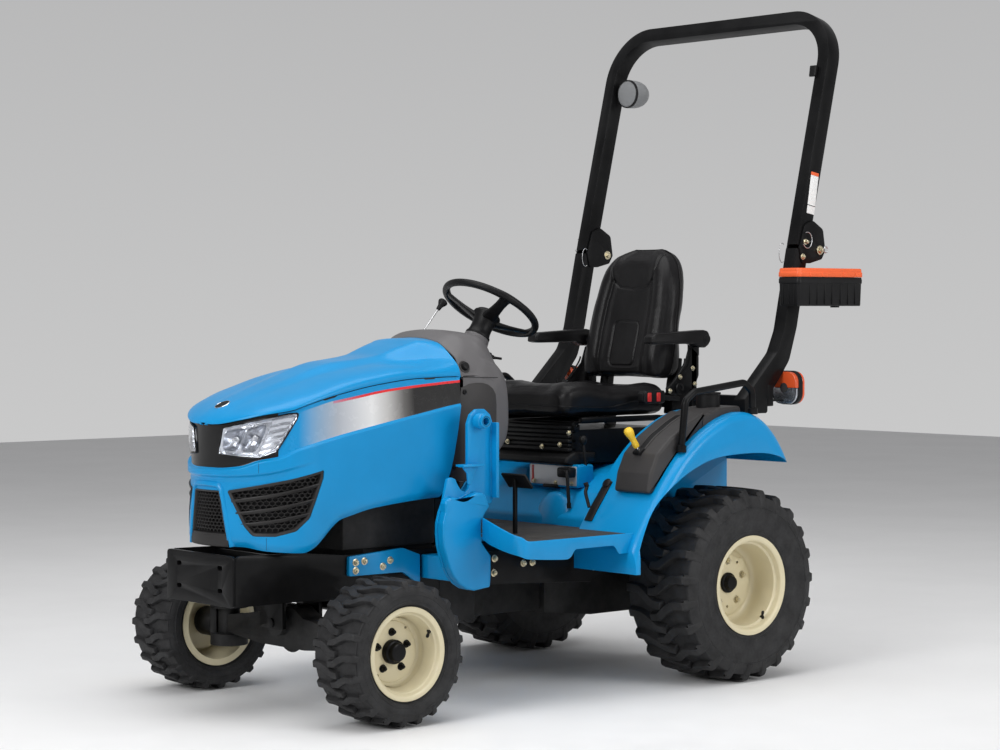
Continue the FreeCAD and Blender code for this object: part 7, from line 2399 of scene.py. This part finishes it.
for nm in NODES:
    if nm not in DONE:
        mt = [m.get("slot") for m in frame["record"].get("materials", []) if nm in (m.get("nodes") or [])]
        # CAD nodes with mesh in their name fall back to the painted gap shade
        mt = SLOT_MAT.get(mt[0], "black_paint") if mt else ("gap_dark" if "mesh" in nm else "black_paint")
        node_mat(nm, mt)
        print("plain CAD node shown:", nm, mt)


# ------------------------------------------------------------------ floor, light, camera
def stage_material():
    g = Graph("floor")
    c = g.ramp(g.noise(1.2, 4), [(0.3, (0.80, 0.80, 0.80)), (0.7, (0.84, 0.84, 0.84))])
    g.l(c, g.b.inputs["Base Color"])
    g.l(g.rng(g.noise(8, 3), 0.3, 0.7, 0.55, 0.7), g.b.inputs["Roughness"])
    g.l(g.bump(g.noise(300, 2), 0.05, 0.0003), g.b.inputs["Normal"])
    MATS["floor"] = g.m


stage_material()
fm = bpy.data.meshes.new("floor")
rows = []
fmb = MB()
N = 24
fv = []
for i in range(N + 1):
    for j in range(N + 1):
        fv.append((-14 + 28 * i / N, -14 + 28 * j / N, -0.0005))
ff = [(i * (N + 1) + j, (i + 1) * (N + 1) + j, (i + 1) * (N + 1) + j + 1, i * (N + 1) + j + 1) for i in range(N) for j in range(N)]
fm.from_pydata(fv, [], ff)
fm.materials.append(MATS["floor"])
floor = bpy.data.objects.new("floor", fm)
bpy.context.scene.collection.objects.link(floor)

world = bpy.data.worlds.new("studio")
world.use_nodes = True
wt = world.node_tree
bg = wt.nodes.get("Background") or wt.nodes.new("ShaderNodeBackground")
tcw = wt.nodes.new("ShaderNodeTexCoord")
sp = wt.nodes.new("ShaderNodeSeparateXYZ")
wt.links.new(tcw.outputs["Generated"], sp.inputs[0])
rp = wt.nodes.new("ShaderNodeValToRGB")
rp.color_ramp.elements[0].position = 0.44
rp.color_ramp.elements[0].color = (1.0, 1.0, 1.0, 1)
rp.color_ramp.elements[1].position = 0.72
rp.color_ramp.elements[1].color = (0.50, 0.50, 0.51, 1)
mr = wt.nodes.new("ShaderNodeMapRange")
mr.inputs["From Min"].default_value = -1
mr.inputs["From Max"].default_value = 1
wt.links.new(sp.outputs["Z"], mr.inputs["Value"])
wt.links.new(mr.outputs["Result"], rp.inputs["Fac"])
wt.links.new(rp.outputs["Color"], bg.inputs["Color"])
bg.inputs["Strength"].default_value = 0.62
bpy.context.scene.world = world


def area(name, loc, target, size, power, sy=None):
    L = bpy.data.lights.new(name, "AREA")
    L.shape = "RECTANGLE"
    L.size = size
    L.size_y = sy or size
    L.energy = power
    o = bpy.data.objects.new(name, L)
    bpy.context.scene.collection.objects.link(o)
    o.location = loc
    o.rotation_euler = (Vector(target) - Vector(loc)).to_track_quat("-Z", "Y").to_euler()
    return o


area("top", (0.5, -0.5, 6.0), (0, 0, 0.6), 6.0, 260)
area("key", (1.5, -6.5, 4.2), (0, 0, 0.9), 3.2, 230)
area("side", (7.0, 2.0, 3.4), (0, 0.2, 0.9), 3.0, 170)

cam = bpy.data.cameras.new("camera")
cam.sensor_width = 36
cam.lens = 86.86
cam.clip_start = 0.1
cam.clip_end = 100
co = bpy.data.objects.new("camera", cam)
bpy.context.scene.collection.objects.link(co)
R_ = Vector((0.6605, 0.7508, 0.0)).normalized()
B_ = Vector((0.7505, -0.6603, 0.0276)).normalized()
U_ = B_.cross(R_).normalized()
R_ = U_.cross(B_).normalized()
mw = Matrix((R_, U_, B_)).transposed().to_4x4()
mw.translation = Vector((6.219, -5.303 + YS, 1.267))
co.matrix_world = mw
bpy.context.scene.camera = co
bpy.context.scene.view_settings.view_transform = "Standard"
bpy.context.scene.view_settings.look = "None"

# ------------------------------------------------------------------ sizes
bpy.context.view_layer.update()
lo = Vector((1e9,) * 3)
hi = Vector((-1e9,) * 3)
hidden = set()
for o in bpy.data.objects:
    if "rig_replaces" in o:
        hidden.update(o["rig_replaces"])
for o in bpy.data.objects:
    if o.type != "MESH" or o == floor or o.name in hidden:
        continue
    mwo = o.matrix_world
    for v in o.data.vertices:
        p = mwo @ v.co
        for i in range(3):
            lo[i] = min(lo[i], p[i])
            hi[i] = max(hi[i], p[i])
